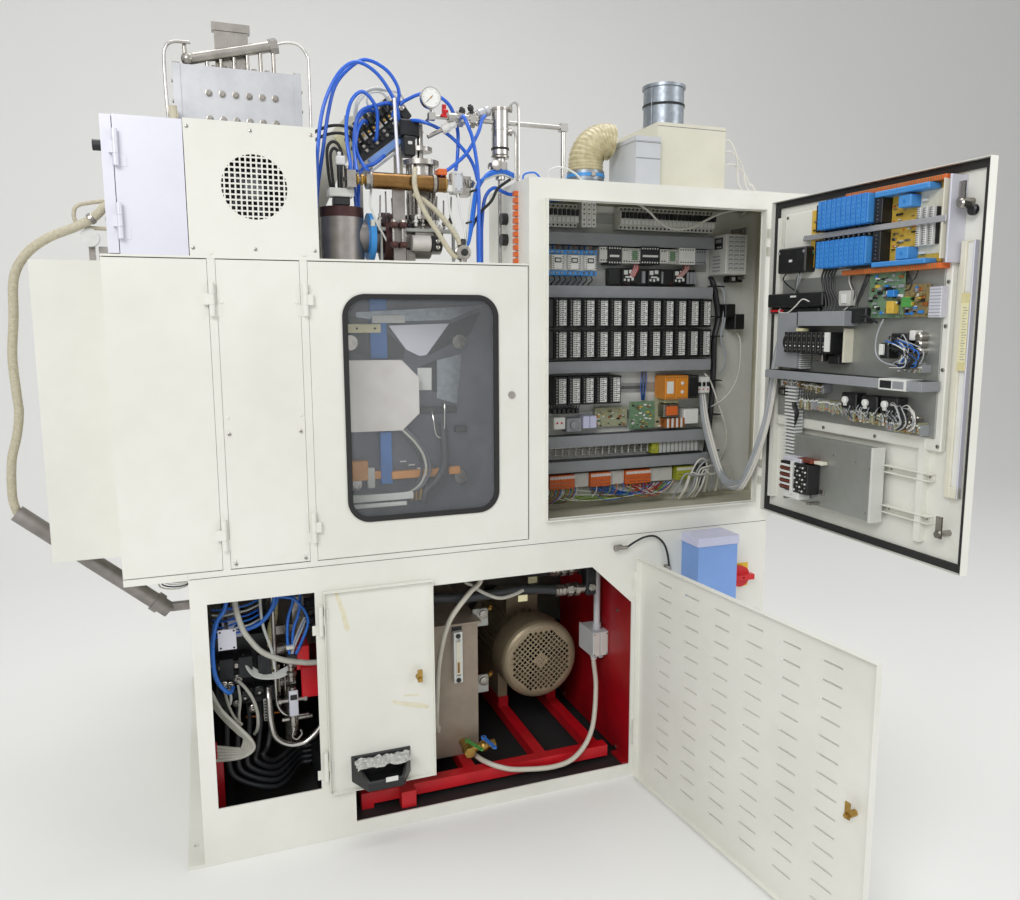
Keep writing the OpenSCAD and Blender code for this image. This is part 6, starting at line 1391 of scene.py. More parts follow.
def dress_gauge_run():
    kit = Piece()
    # Pressure gauge: pale dial, printed ring, scale and pointer
    kit.pin((798, 113.8, 2390), OUTWARD, 29, 0.5, "dial_white", 40)
    for k in range(25):
        angle = math.radians(225 - 11.25 * k)
        inner = 22 if k % 4 == 0 else 24.5
        a = Vector((798 + inner * math.cos(angle), 113.2, 2390 + inner * math.sin(angle)))
        b = Vector((798 + 26.5 * math.cos(angle), 113.2, 2390 + 26.5 * math.sin(angle)))
        kit.rod(a, b, 0.5, "dial_line", 6, 0.1)
    kit.rod((798 + 6, 112.9, 2390 + 6), (798 - 15, 112.9, 2390 - 15), 0.9, "dial_line", 6, 0.2)
    kit.lathe((798, 113.4, 2390), OUTWARD, [(0, 3), (1.4, 3), (1.8, 2)], "turned_brass", 14)
    # Fittings that rise to the right: pipe, ringed sleeve, two small regulators and a silencer
    kit.rod((794, 150, 2276), (842, 150, 2301), 7, "turned_steel", 16)
    fittings_between(kit, (842, 150, 2301), (905, 150, 2334),
                     [(0, 0.06, 12), (0.08, 0.14, 15), (0.16, 0.22, 15), (0.24, 0.3, 15), (0.32, 0.38, 15),
                      (0.42, 0.62, 11), (0.64, 0.7, 14), (0.76, 1, 9)], "white_moulding")
    fittings_between(kit, (905, 150, 2334), (962, 150, 2356),
                     [(0, 0.1, 12), (0.14, 0.3, 16), (0.34, 0.44, 10), (0.5, 0.7, 15), (0.74, 0.84, 9),
                      (0.88, 1, 12)], "turned_steel")
    fittings_between(kit, (962, 150, 2356), (1008, 150, 2376),
                     [(0, 0.1, 14), (0.12, 0.55, 16), (0.57, 0.62, 15), (0.64, 0.92, 16), (0.94, 1, 11)],
                     "rolled_aluminium")
    for x, z in ((917, 2352), (946, 2362)):
        fittings_between(kit, (x, 150, z), (x - 9, 150, z + 26),
                [(0, 0.3, 7), (0.34, 0.8, 10), (0.84, 1, 6)], "black_moulding")
    for x, z in ((930, 2336), (955, 2344)):
        fittings_between(kit, (x, 142, z), (x + 6, 136, z - 24),
                [(0, 0.4, 6), (0.44, 0.8, 9), (0.84, 1, 5)], "turned_steel")
    kit.lathe((846, 138, 2340), (0.2, -0.3, 1), [(0, 12), (5, 12), (8, 7), (14, 7), (15, 10), (22, 10),
            (24, 6)], "switch_red", 16)
    kit.hose([(694, 180, 2394), (697, 180, 2300), (703, 180, 2156)], 5.5, "anodised_sheet", 3, 10)
    kit.block((722, 226, 2290), (788, 276, 2346), "valve_phosphate", 5)
    kit.block((730, 214, 2226), (770, 262, 2290), "black_moulding", 4)
    kit.block((744, 210, 2262), (758, 214, 2272), "label_white", 0.8)
    # Bands, side valves and drain of the filter bowl
    bands = (
        (2375, "turned_steel"), (2312, "stainless_pipe"), (2250, "black_rubber"), (2224, "turned_steel"),
    )
    for z, tone in bands:
        kit.lathe((1043, 150, z), UP, [(0, 28.4), (1, 30), (7, 30), (8, 28.4)], tone, 32)
    for z, way in ((2384, 1), (2310, 1), (2196, -1)):
        kit.lathe((1043 + 24 * way, 148, z), (way, -0.3, 0), [(0, 9), (8, 9), (9, 12), (16, 12), (18, 7)],
                  "turned_steel", 18)
    kit.lathe((1026, 130, 2196), (-0.4, -1, 0), [(0, 14), (10, 14), (12, 17), (18, 17), (20, 10)],
              "turned_steel", 20)
    thin_pipes = (
        ((1066, 140, 2384), (1078, 138, 2398), (1088, 136, 2405), (1100, 136, 2398), (1104, 136, 2370),
         (1104, 136, 2250), (1104, 136, 2146)),
        ((1066, 140, 2310), (1080, 134, 2314), (1092, 132, 2298), (1093, 132, 2240), (1093, 132, 2146)),
    )
    for route in thin_pipes:
        kit.hose(route, 4, "stainless_pipe", 4, 10)
    kit.done("gauge_run", slot="steel")


def dress_barrel():
    """Band clamps, heater leads and small steel fittings around the extruder's barrel."""
    kit = Piece()
    for x in (660, 690):
        for z in (1992, 1930):
            kit.block((x, 120, z - 9), (x + 24, 160, z + 9), "heat_browned_steel", 2)
            kit.lathe((x + 12, 120, z), OUTWARD, [(0, 7), (5, 7), (6, 5)], "heat_browned_steel", 6)
        kit.rod((x + 12, 140, 1920), (x + 12, 140, 2012), 4.5, "turned_steel", 12)
        kit.lathe((x + 12, 140, 2001), UP, [(0, 8), (7, 8), (8, 6)], "turned_steel", 6)
    kit.lathe((741, 182, 1942), RIGHT, [(0, 24), (2, 26), (62, 26), (64, 24)], "ground_platen_steel", 28)
    kit.block((806, 150, 1914), (838, 200, 1966), "black_moulding", 4)
    for z in (1926, 1946):
        kit.lathe((822, 150, z), OUTWARD, [(0, 7), (8, 7), (9, 5)], "turned_steel", 12)
    chance = random.Random(19)
    for k in range(11):
        x = 640 + 24 * k
        low = 1990 + chance.uniform(-10, 20)
        kit.rod((x, 196 + 6 * (k % 3), 1985), (x + chance.uniform(-8, 8), 200,
                2098 + chance.uniform(-20, 8)), 2.6, "turned_steel", 8)
        fittings_between(kit, (x, 190, low), (x, 190, low + 34),
                [(0, 0.3, 5), (0.34, 0.6, 8), (0.64, 1, 4.5)],
                ("turned_steel", "black_moulding", "white_moulding")[k % 3])
    kit.block((630, 180, 1978), (900, 214, 1990), "zinc_plate", 1.5)
    for x in (640, 886):
        kit.block((x, 190, 1870.3), (x + 8, 206, 1978.4), "zinc_plate", 1)
    for x in (608, 626):
        kit.block((x, 174, 1990), (x + 14, 196, 2012), "light_grey_moulding", 2)
    # Round coupling at the foot of the two braided hoses
    kit.rod((895, 104, 1870.3), (895, 104, 1886), 12, "turned_steel", 20)
    kit.lathe((895, 122, 1908), OUTWARD, [(0, 22), (4, 26), (12, 26), (16, 20), (22, 20), (26, 24),
            (32, 24), (34, 14)], "turned_steel", 30)
    kit.lathe((895, 86, 1908), OUTWARD, [(0, 12), (4, 12), (5, 7), (8, 7)], "black_moulding", 18)
    kit.rod((895, 104, 1930), (897, 104, 1952), 8, "black_moulding", 14)
    for k in range(5):
        angle = math.radians(-20 + 72 * k)
        kit.bolt((895 + 19 * math.cos(angle), 89, 1908 + 19 * math.sin(angle)), OUTWARD, 3, "turned_steel")
    kit.done("barrel_fittings", slot="steel")


def dress_ducts():
    kit = Piece()
    bend = [(1378, 190, 2145.5), (1378, 190, 2190), (1378, 190, 2235)]
    for k in range(1, 15):
        turn = math.radians(100 * k / 14)
        bend.append((1458 - 80 * math.cos(turn), 190, 2235 + 80 * math.sin(turn)))
    kit.ribbed(bend, 62.6, 3.2, 11, "ribbed_hose", 40)
    kit.lathe((1378, 190, 2145.4), UP, [(0, 66), (26, 66), (27, 64.5), (28, 66), (60, 66), (61, 64)],
              "galvanised_sheet", 44)
    kit.lathe((1378, 190, 2184), UP, [(0, 66.4), (0.5, 67.6), (11, 67.6), (11.5, 66.4)], "strap_azure", 44)
    kit.block((1368, 118, 2182), (1386, 126, 2198), "turned_steel", 2)
    kit.lathe((1665, 150, 2367.3), UP, [(0, 74), (3, 74), (3.2, 71.6), (68, 71.6), (69, 74), (75, 74),
            (76, 71.6), (130, 71.6), (131, 76.6), (141.5, 76.6), (141.6, 68), (60, 68)],
            "galvanised_sheet", 52)
    kit.lathe((1665, 150, 2436), UP, [(0, 72), (0.4, 74.8), (8, 74.8), (8.4, 72)], "black_rubber", 52)
    kit.rod((1599, 118, 2372), (1599, 118, 2500), 2, "galvanised_sheet", 8)
    kit.done("roof_duct_work", slot="galvanised", stands_for=["roof_ducts"])
    kit = Piece()
    # Seams, lid lines, strap and cable loops of the roof boxes
    kit.block((1593, 59.4, 2354), (1869, 60, 2355.4), "dial_line", 0)
    kit.block((1497, 39.4, 2290), (1592, 40, 2291.4), "dial_line", 0)
    kit.block((1497, 39.2, 2236), (1592, 40, 2240), "trunking_grey", 0)
    kit.block((1869, 70, 2150), (1874, 96, 2330), "label_white", 1)
    for k in range(12):
        kit.block((1874, 74, 2160 + 14 * k), (1878, 92, 2167 + 14 * k), "light_grey_moulding", 0.6)
    for reach, top, foot in ((60, 2318, 1940), (90, 2280, 1965), (118, 2236, 1992)):
        kit.hose([(1874, 84, top), (1874 + 0.4 * reach, 82, top + 12), (1874 + 0.8 * reach, 78, top - 20),
                  (1874 + reach, 76, top - 60), (1880 + reach, 74, 2180), (foot + 30, 74, 2146)], 3.6,
                 "white_sheath", 4, 8)
    kit.hose([(1200, 90, 2146), (1190, 84, 2180), (1230, 80, 2196), (1290, 84, 2180), (1330, 96, 2146)],
             3.4, "milky_tube", 4, 8)
    kit.hose([(1110, 110, 2146), (1112, 104, 2170), (1150, 100, 2176), (1180, 104, 2146)], 3.4,
             "bright_blue_tube", 4, 8)
    kit.done("roof_box_trim", slot="cable_grey")


LANCE_ROUTE = (
    (-158.5, 275, 2030), (-166, 275, 2030), (-176, 275, 2029), (-212, 276, 1994), (-260, 280, 1967),
    (-338, 290, 1933), (-403, 310, 1884), (-442, 330, 1815), (-455, 350, 1699), (-471, 370, 1580),
    (-471, 385, 1466), (-471, 395, 1405), (-484, 405, 1332), (-507, 420, 1251), (-518, 440, 1140),
    (-513, 449, 1090), (-506, 450, 1073), (-492, 450, 1060),
)


def dress_end_and_plate():
    kit = Piece()
    line = eased(LANCE_ROUTE, 6)
    kit.ribbed(line, 14, 1.2, 6.5, "braided_jacket", 18)
    kit.lathe((-158.4, 275, 2030), LEFT, [(0, 17), (3, 19), (9, 19), (12, 16)], "turned_steel", 26)
    kit.lathe((-210, 276, 1996), (-0.82, 0, -0.58), [(0, 15.5), (2, 17), (12, 17), (14, 15.5)],
              "turned_steel", 26)
    kit.done("lance_hose_braid", slot="hose_mesh", stands_for=["lance_hose"])
    kit = Piece()
    kit.hose([(-157, 290, 2051), (-245, 290, 2034), (-263, 290, 2010), (-259, 290, 1984), (-234, 291, 1969),
              (-188, 292, 1966), (-160, 290, 1966)], 6, "braided_jacket", 5, 12)
    # Thin bent pipes beside and over the plate of stand pipes
    kit.hose([(20, 300, 2246), (14, 298, 2330), (12, 298, 2470), (18, 298, 2510), (40, 300, 2530),
              (90, 304, 2534)], 5, "stainless_pipe", 5, 12)
    kit.hose([(330, 318, 2552), (372, 312, 2566), (414, 306, 2562), (440, 302, 2530), (444, 300, 2490),
              (444, 300, 2244)], 4, "stainless_pipe", 5, 12)
    for x, z in product((136, 176, 216, 256, 296, 336), (2390, 2313)):
        kit.lathe((x, 304, z), OUTWARD, [(0, 11), (1.6, 11), (2, 9.4)], "turned_steel", 24)
        kit.lathe((x, 302.2, z), OUTWARD, [(0, 8.4), (6, 8.4), (7.4, 6.6)], "turned_steel", 6)
    for z in (2300, 2360, 2420):
        kit.bolt((418.2, 316, z), RIGHT, 6, "turned_steel")
        kit.bolt((33.8, 316, z), LEFT, 6, "turned_steel")
    for x, z in ((66, 1892), (404, 1892), (66, 2222), (404, 2222), (235, 1892), (235, 2222)):
        kit.lathe((x, -0.3, z), OUTWARD, [(0, 5), (1.2, 5), (2, 3.6)], "turned_steel", 16)
    for k in range(5):
        x = 136 + 40 * k + 20
        kit.lathe((x, 316, 2470.3), UP, [(0, 9), (6, 9), (7, 6)], "turned_steel", 6)
    kit.done("plate_fittings", slot="steel")


dress_air_lines()
dress_valve_bank()
dress_cylinder()
dress_gauge_run()
dress_barrel()
dress_ducts()
dress_end_and_plate()


# In the base: hoses, tubes, valves and the motor's cable
def dress_base_hoses():
    kit = Piece()
    pressure_routes = (
        ((357.5, 300, 650), (373, 300, 650), (389, 300, 650), (419, 294, 660), (603, 150, 745),
         (893, 135, 720), (1113, 130, 725), (1262, 130, 705)),
        ((357.5, 300, 715), (373, 300, 715), (389, 300, 715), (419, 293, 724), (673, 190, 790),
         (933, 190, 790), (1262, 190, 765)),
    )
    for route in pressure_routes:
        kit.hose(route, 17, "hose_cover_rubber", 7, 20)
    for y, z in ((130, 704), (190, 764)):
        kit.lathe((1240, y, z + 1), (1, 0, -0.03), [(0, 19), (2, 21), (10, 21), (12, 20), (16, 21),
                (24, 21), (26, 20), (30, 21), (38, 21), (42, 17), (47, 17)], "turned_steel", 26)
        kit.lathe((1287, y, z - 1), RIGHT, [(0, 22), (2, 24), (20, 24), (22, 22)], "turned_steel", 6)
        kit.lathe((1309, y, z - 1), RIGHT, [(0, 16), (6, 16), (7, 25), (24, 25), (26, 16), (49, 16)],
                  "turned_steel", 24)
    for low, high in (((1358, 106, 678), (1398, 154, 937)), ((1358, 166, 738), (1398, 214, 937))):
        kit.block(low, high, "valve_phosphate", 5)
    for x, y, z in ((1378, 106, 712), (1378, 106, 840), (1378, 166, 800)):
        kit.lathe((x, y, z), OUTWARD, [(0, 15), (8, 15), (9, 12), (14, 12)], "turned_steel", 6)
    for x, y, z in ((1168, 168, 733), (1106, 108, 690)):
        kit.block((x - 18, y, z - 2), (x + 18, y + 3, z + 22), "tag_paper", 1)
    kit.hose([(357.5, 316, 690), (420, 300, 700), (620, 236, 760), (820, 220, 780), (1040, 226, 770),
              (1250, 240, 740), (1358, 250, 730)], 12, "hose_cover_rubber", 6, 14)
    kit.hose([(884, 118, 936), (888, 112, 800), (912, 110, 772), (964, 108, 735), (1017, 108, 712),
              (1070, 112, 716), (1110, 116, 728)], 6.5, "grey_conduit", 5, 12)
    # Black feed hoses between the valve block and the collector plate
    for k in range(5):
        route = [(88 + 36 * k, 236, 419.5), (88 + 36 * k, 236, 380), (88 + 36 * k, 232, 340),
                 (86 + 32 * k, 205, 260), (108 + 22 * k, 178, 180 + 16 * k),
                 (238, 190 + 8 * k, 115 + 20 * k), (320, 320, 110 + 20 * k), (358, 330, 110 + 20 * k),
                 (369.5, 330, 110 + 20 * k)]
        kit.hose(route, 8, "hose_cover_rubber", 6, 14)
        kit.lathe((88 + 36 * k, 236, 419.5), DOWN, [(0, 12), (14, 12), (16, 9.4)], "valve_phosphate", 6)
        kit.lathe((369.5, 330, 110 + 20 * k), LEFT, [(0, 9), (12, 9), (13, 8.4)], "valve_phosphate", 14)
    kit.block((370, 5, 90), (400, 360, 215), "valve_phosphate", 3)
    kit.done("pressure_hoses", slot="dark_metal", stands_for=["base_hoses"])


def dress_left_bay():
    """Tubes and fittings of the left bay, in front of the valve block."""
    kit = Piece()
    tube_routes = (
        ((103, 120, 936), (103, 120, 802), (72, 118, 745), (57, 118, 672), (57, 120, 586), (72, 122, 535),
         (99, 140, 497), (112, 188, 492)),
        ((255, 176, 936), (255, 178, 790), (236, 178, 735), (200, 180, 700), (158, 184, 688),
         (130, 212, 690)),
        ((270, 176, 936), (268, 180, 800), (246, 182, 742), (208, 184, 706), (160, 190, 694),
         (134, 216, 700)),
        ((240, 184, 936), (265, 182, 800), (290, 180, 782), (318, 180, 772), (350, 182, 728),
         (360, 184, 680), (334, 186, 612), (308, 190, 560)),
        ((322, 200, 936), (318, 196, 780), (296, 192, 700), (292, 190, 620), (300, 190, 560)),
        ((344, 200, 936), (336, 196, 740), (312, 192, 660), (306, 190, 560)),
    )
    for k, route in enumerate(tube_routes):
        kit.hose(route, 7 if k < 2 else 5, "bright_blue_tube", 5, 12)
    for k in range(6):
        z = 760 - 17 * k
        kit.hose([(60, 200, z), (92, 178, z + 4 - 3 * k), (130, 172, z + 8), (170, 176, z + 12),
                  (206, 196, z + 20)], 3.2, ("bright_blue_tube", "milky_tube", "blue_tube")[k % 3], 4, 8)
    kit.hose([(126, 104, 936), (130, 102, 806), (146, 98, 728), (166, 96, 687), (203, 96, 638),
              (260, 98, 603), (322, 100, 583), (375, 102, 574), (470, 112, 574)], 9, "grey_conduit", 6, 16)
    kit.ribbed(eased([(262, 262, 936), (259, 260, 717), (245, 258, 653), (242, 256, 561), (252, 254, 498),
                      (256, 252, 430)], 7), 13, 2.4, 9, "old_tape", 18)
    kit.hose([(214, 190, 936), (210, 186, 800), (214, 180, 700), (238, 176, 610), (246, 182, 540)], 5,
             "milky_tube", 5, 10)
    for k in range(6):
        kit.hose([(148, 214, 590 - 2 * k), (160, 204 - 4 * k, 566 - 3 * k), (182, 200 - 4 * k, 542 - 4 * k),
                  (218, 198 - 4 * k, 520 - 2 * k), (262, 200 - 4 * k, 522 - 3 * k),
                  (300, 206 - 3 * k, 536 - 3 * k), (330, 214, 552 - 2 * k)], 3, "milky_tube", 4, 8)
    for k in range(4):
        kit.hose([(352, 196, 700 - 4 * k), (330, 190, 660 - 6 * k), (310, 188, 610 - 4 * k),
                  (300, 190, 560)], 4, ("grey_conduit", "bright_blue_tube", "grey_conduit",
                "milky_tube")[k], 4, 8)
    conduit_routes = (
        ((128, 186, 515), (150, 170, 492), (172, 162, 452), (184, 160, 400), (182, 164, 350),
         (172, 190, 318)),
        ((128, 186, 500), (132, 174, 450), (126, 172, 400), (128, 180, 360)),
        ((84, 186, 492), (96, 168, 440), (112, 160, 400), (134, 160, 372)),
        ((100, 186, 490), (104, 176, 462), (100, 180, 440)),
    )
    for k, route in enumerate(conduit_routes):
        kit.hose(route, 5.5 if k == 0 else 4.5, "grey_conduit" if k != 3 else "milky_tube", 5, 10)
    for k in range(5):
        kit.hose([(44, 116 + 6 * k, 522 - 12 * k), (70, 104 + 6 * k, 462 - 8 * k),
                  (118, 100 + 6 * k, 398 - 8 * k), (158 - 5 * k, 100 + 6 * k, 342),
                  (162 - 8 * k, 102 + 6 * k, 308), (122, 104 + 6 * k, 288 + 4 * k),
                  (46, 110 + 6 * k, 288 + 9 * k)], 6, "grey_conduit", 7, 14)
    kit.done("bay_tubes", slot="blue_tube")
    kit = Piece()
    kit.block((73, 118, 650), (129, 122, 718), "anodised_sheet", 1)
    for x, z in ((80, 710), (122, 712), (81, 658), (121, 656)):
        kit.pin((x, 118, z), OUTWARD, 3.4, 0.6, "black_moulding", 14)
    kit.block((95, 122, 700), (107, 262, 712), "zinc_plate", 1)
    kit.block((62, 200, 548), (160, 214, 580), "valve_phosphate", 3)
    for k in range(4):
        kit.lathe((78 + 24 * k, 200, 562), OUTWARD, [(0, 8), (5, 8), (6, 5), (9, 5)], "turned_steel", 16)
    elbows = (
        (84, 500, 13), (104, 496, 13), (128, 514, 15), (148, 448, 19), (194, 460, 19), (172, 404, 14),
        (120, 430, 11),
    )
    for x, z, radius in elbows:
        kit.lathe((x, 206, z), OUTWARD, [(0, radius), (8, radius), (10, radius - 3), (17, radius - 3),
                (18, radius - 6), (10, radius - 7)],
                "turned_steel" if radius < 18 else "black_moulding", 22)
        kit.pin((x, 190, z), OUTWARD, 4, 2, "turned_steel", 12)
    kit.block((206, 200, 352), (220, 206, 430), "light_grey_moulding", 1.5)
    for k in range(7):
        kit.block((208, 198.4, 356 + 10.4 * k), (218, 200, 362 + 10.4 * k), "dial_line", 0)
    # Steel pipes and the cross with its stop valve
    kit.hose([(249, 200, 936), (249, 200, 560), (248, 200, 441), (255, 198, 392), (284, 196, 360),
              (330, 194, 355), (352, 194, 355)], 7, "stainless_pipe", 6, 16)
    kit.hose([(222, 190, 470), (222, 168, 440), (224, 152, 371), (238, 148, 313), (278, 146, 281),
              (325, 146, 278), (360, 148, 298), (392, 152, 330)], 10, "stainless_pipe", 7, 18)
    kit.rod((252, 178, 422), (346, 178, 422), 8, "turned_steel", 20)
    kit.rod((262, 178, 355), (362, 178, 355), 7, "turned_steel", 20)
    for x in (252, 336):
        kit.pin((x, 178, 422), RIGHT, 12, 10, "turned_steel", 6)
    fittings_between(kit, (300, 176, 300), (300, 176, 470),
                     [(0, 0.08, 9), (0.1, 0.18, 14), (0.2, 0.44, 16), (0.46, 0.54, 11), (0.56, 0.76, 16),
                      (0.78, 0.84, 19), (0.86, 1, 12)], "turned_steel")
    kit.block((286, 158, 372), (316, 164, 462), "anodised_sheet", 2)
    kit.block((290, 156, 430), (312, 160, 448), "black_moulding", 1)
    kit.hose([(300, 158, 330), (292, 150, 306), (306, 146, 296), (322, 146, 312), (318, 150, 326)], 3.4,
             "turned_steel", 4, 8)
    fittings_between(kit, (300, 190, 486), (300, 190, 570),
                     [(0, 0.2, 13), (0.24, 0.4, 18), (0.44, 0.6, 11), (0.64, 0.8, 15), (0.84, 1, 10)],
                     "turned_steel")
    kit.block((284, 176, 560), (318, 196, 580), "black_moulding", 3)
    kit.block((286, 174, 600), (312, 192, 612), "white_moulding", 2)
    # A bracket in the brighter red: painted light
    kit.block((330, 172, 424), (386, 188, 532), "red_enamel_painted_light", 3)
    for x in (262, 280):
        kit.rod((x, 214, 430), (x, 214, 540), 3, "turned_steel", 10)
    for x, z in ((150, 330), (230, 330)):
        kit.rod((x, 300, z), (x + 90, 300, z - 6), 4, "copper_bar", 12)
    kit.block((46, 104, 12), (70, 122, 290), "red_enamel", 2)
    for k in range(6):
        kit.lathe((44, 116, 296 + 9 * k), RIGHT, [(0, 7.6), (8, 7.6), (9, 6)], "red_enamel", 14)
    kit.done("bay_fittings", slot="steel")


def dress_motor_cable():
    kit = Piece()
    route_low = [(1446, 220, 381.6), (1446, 220, 376), (1446, 220, 364), (1422, 150, 290), (1372, 80, 165),
                 (1292, 42, 95), (1202, 38, 72), (1062, 40, 88), (990, 50, 108), (945, 100, 116),
                 (930, 160, 115), (930, 174, 115), (930, 183, 115), (930, 189.5, 115)]
    route_high = [(945, 100, 916.5), (945, 100, 890), (945, 100, 790), (900, 98, 745), (825, 96, 650),
                  (789, 96, 515), (779, 96, 380), (783, 125, 280), (798, 165, 226), (800, 175, 224),
                  (800, 183, 224), (800, 189.5, 224)]
    for route in (route_low, route_high):
        kit.hose(route, 9, "cable_sheath", 7, 18)
    kit.lathe((945, 100, 937), DOWN, [(0, 14), (8, 14), (9, 12), (18, 12), (20, 9.6)],
              "light_grey_moulding", 6)
    for x, z in ((930, 115), (800, 224)):
        kit.lathe((x, 189.5, z), OUTWARD, [(0, 14), (7, 14), (8, 11.5), (14, 11.5), (15, 9.6)],
                  "light_grey_moulding", 18)
    kit.lathe((1446, 220, 394), DOWN, [(0, 15), (8, 15), (9, 12), (16, 12), (18, 9.6)], "white_moulding", 6)
    kit.done("motor_supply", slot="cable_grey", stands_for=["motor_cables"])
    kit = Piece()
    # Level gauge, brackets, a black sheet over the floor under the base and small parts around the tank
    for z in (402, 568):
        kit.lathe((880, 168, z), OUTWARD, [(0, 9), (2, 9), (3, 6.5), (6, 6.5)], "black_moulding", 16)
    kit.block((872, 166.4, 424), (888, 168, 546), "pocket_pvc", 1)
    kit.block((876, 165.8, 430), (884, 166.4, 470), "drawn_bronze", 0)
    kit.block((862, 189.2, 576), (900, 190, 600), "black_moulding", 0.4)
    for z in (300, 560):
        kit.block((959.8, 250, z), (1022, 256, z + 70), "zinc_plate", 2)
        kit.lathe((1000, 250, z + 50), OUTWARD, [(0, 20), (4, 20), (5, 16), (16, 16), (18, 11)],
                  "turned_steel", 24)
        kit.lathe((1024, 246, z + 66), (0.4, -0.4, 1), [(0, 9), (10, 9), (12, 6), (18, 6)],
                  "turned_brass", 14)
    # A black sheet with low rims over the floor inside the base: painted shade under the base
    kit.block((34, 34, 4), (2030, 1466, 8), "black_rubber", 0.8)
    shade_sheet_rims = (
        ((34, 34, 8), (2030, 38, 26)),
        ((34, 1462, 8), (2030, 1466, 26)),
        ((34, 38, 8), (38, 1462, 26)),
        ((2026, 38, 8), (2030, 1462, 26)),
    )
    for low, high in shade_sheet_rims:
        kit.block(low, high, "black_rubber", 0.6)
    chance = random.Random(29)
    for _ in range(9):
        x, y = chance.uniform(560, 1180), chance.uniform(420, 560)
        reach, drop = chance.uniform(120, 230), chance.uniform(60, 150)
        route = [(x, y, 941), (x + 6, y, 941 - 0.6 * drop), (x + 0.4 * reach, y + 14, 941 - drop),
                 (x + reach - 8, y + 20, 941 - 0.7 * drop), (x + reach, y + 24, 941)]
        kit.hose(route, 8, "hose_cover_rubber", 6, 10)
    for y, z in ((604.5, 60), (115.6, 56), (112.5, 604)):
        kit.lathe((1492.1, y, z), LEFT, [(0, 7), (4, 7), (5, 5)], "turned_steel", 6)
    for x in (1426.5, 1459):
        kit.block((x, 186, 400), (x + 30, 190, 494), "light_grey_moulding", 3)
    for x, z in product((1432, 1484), (406, 488)):
        kit.bolt((x, 186, z), OUTWARD, 3, "turned_steel", 12)
    kit.lathe((1474, 230, 496), UP, [(0, 13), (8, 13), (9, 10), (18, 10), (19, 8)], "turned_steel", 6)
    kit.done("tank_fittings", slot="steel")


def dress_window():
    """What the window shows: the octagonal mould plate, clamp columns, hoses and inner sheets."""
    kit = Piece()
    sheet(kit, ((440, 1320), (700, 1317), (761, 1373), (761, 1496), (703, 1556), (440, 1559), (408, 1528),
                (408, 1352)), 196, 20, "ground_platen_steel")
    kit.block((470, 216, 1380), (640, 249.8, 1500), "valve_phosphate", 3)
    for low, high in (((606, 236, 1560), (664, 249.6, 1850)), ((628, 220, 1130), (668, 249.6, 1312))):
        kit.block(low, high, "machine_blue_enamel", 2)
    kit.block((612, 226, 1680), (724, 235, 1706), "label_white", 1)
    kit.block((500, 222, 1648), (640, 236, 1677), "tag_paper", 2)
    for x in (560, 620):
        kit.bolt((x, 222, 1662), OUTWARD, 4, "black_moulding")
    bars = (
        ((500, 214, 1148), (583, 246, 1216)),
        ((590, 224, 1149), (636, 240, 1176)),
        ((664, 212, 1146), (853, 236, 1173)),
        ((868, 212, 1150), (910, 236, 1176)),
    )
    for low, high in bars:
        kit.block(low, high, "bar_ochre_lacquer", 2)
    kit.block((580, 216, 1120), (606, 240, 1190), "light_grey_moulding", 2)
    for low, high in (((500, 172, 1082), (729, 190, 1106)), ((500, 150, 1066), (700, 166, 1078))):
        kit.block(low, high, "label_white", 2)
    for k in range(9):
        kit.lathe((512 + 24 * k, 172, 1062), UP, [(0, 7), (8, 7), (9, 5), (16, 5)], "turned_steel", 12)
    for k in range(3):
        kit.hose([(686 + 12 * k, 216, 1330), (694 + 13 * k, 200, 1312), (730 + 13 * k, 190, 1273),
                  (758 + 14 * k, 188, 1222), (762 + 14 * k, 186, 1167), (732 + 10 * k, 184, 1120 - 3 * k),
                  (666, 182, 1103 - 4 * k), (543, 182, 1110 - 5 * k), (500, 184, 1112 - 5 * k)], 5,
                 ("hose_cover_rubber", "grey_conduit", "inner_sheet_grey")[k], 6, 12)
    kit.hose([(850, 230, 1330), (849, 205, 1282), (847, 200, 1188), (818, 198, 1134), (778, 196, 1099),
              (770, 196, 1060)], 14, "hose_cover_rubber", 6, 16)
    for x in (728, 744, 760):
        kit.rod((x, 196, 1072), (x, 196, 1112), 7, "turned_brass", 16)
    kit.hose([(812, 240, 1390), (814, 214, 1354), (820, 206, 1300), (836, 204, 1284), (850, 206, 1300),
              (856, 214, 1396), (858, 240, 1404)], 4, "stainless_pipe", 5, 10)
    # Inner sheets: the sloping hopper over the plate, the bright back wall, and black sheets as painted
    # shade in its niches
    inner_sheets = (
        (((671, 1671), (883, 1678), (800, 1570), (776, 1567), (729, 1590)), 238, "anodised_sheet"),
        (((560, 1716), (1010, 1740), (883, 1690), (671, 1684), (560, 1700)), 232, "galvanised_sheet"),
        (((768, 1449), (816, 1448), (818, 1525), (768, 1526)), 240, "label_white"),
        (((836, 1419), (908, 1397), (928, 1571), (838, 1551)), 240, "galvanised_sheet"),
    )
    for outline, y, tone in inner_sheets:
        sheet(kit, outline, y, 3, tone)
    kit.block((774, 232, 1366), (906, 246, 1390), "black_moulding", 2)
    kit.block((896, 224, 1296), (940, 247, 1320), "black_moulding", 3)
    # Black sheets in the niches: painted shade
    painted_shade_niches = (
        ((500, 1716), (560, 1700), (608, 1650), (608, 1560), (500, 1600)),
        ((883, 1676), (1000, 1720), (960, 1640), (806, 1568)),
        ((770, 1528), (836, 1551), (836, 1440), (820, 1440), (820, 1528)),
        ((664, 1650), (726, 1592), (720, 1560), (664, 1560)),
    )
    for outline in painted_shade_niches:
        sheet(kit, outline, 241, 2, "black_moulding")
    kit.block((406, 243.4, 948), (1046, 245.4, 1765), "inner_sheet_grey", 0.6)
    for k in range(5):
        kit.block((700 + 30 * k, 240, 1200 - 14 * k), (722 + 30 * k, 243.4, 1204 - 14 * k),
                  "label_white", 0.5)
    kit.done("mould_bay_gear", slot="platen_steel")


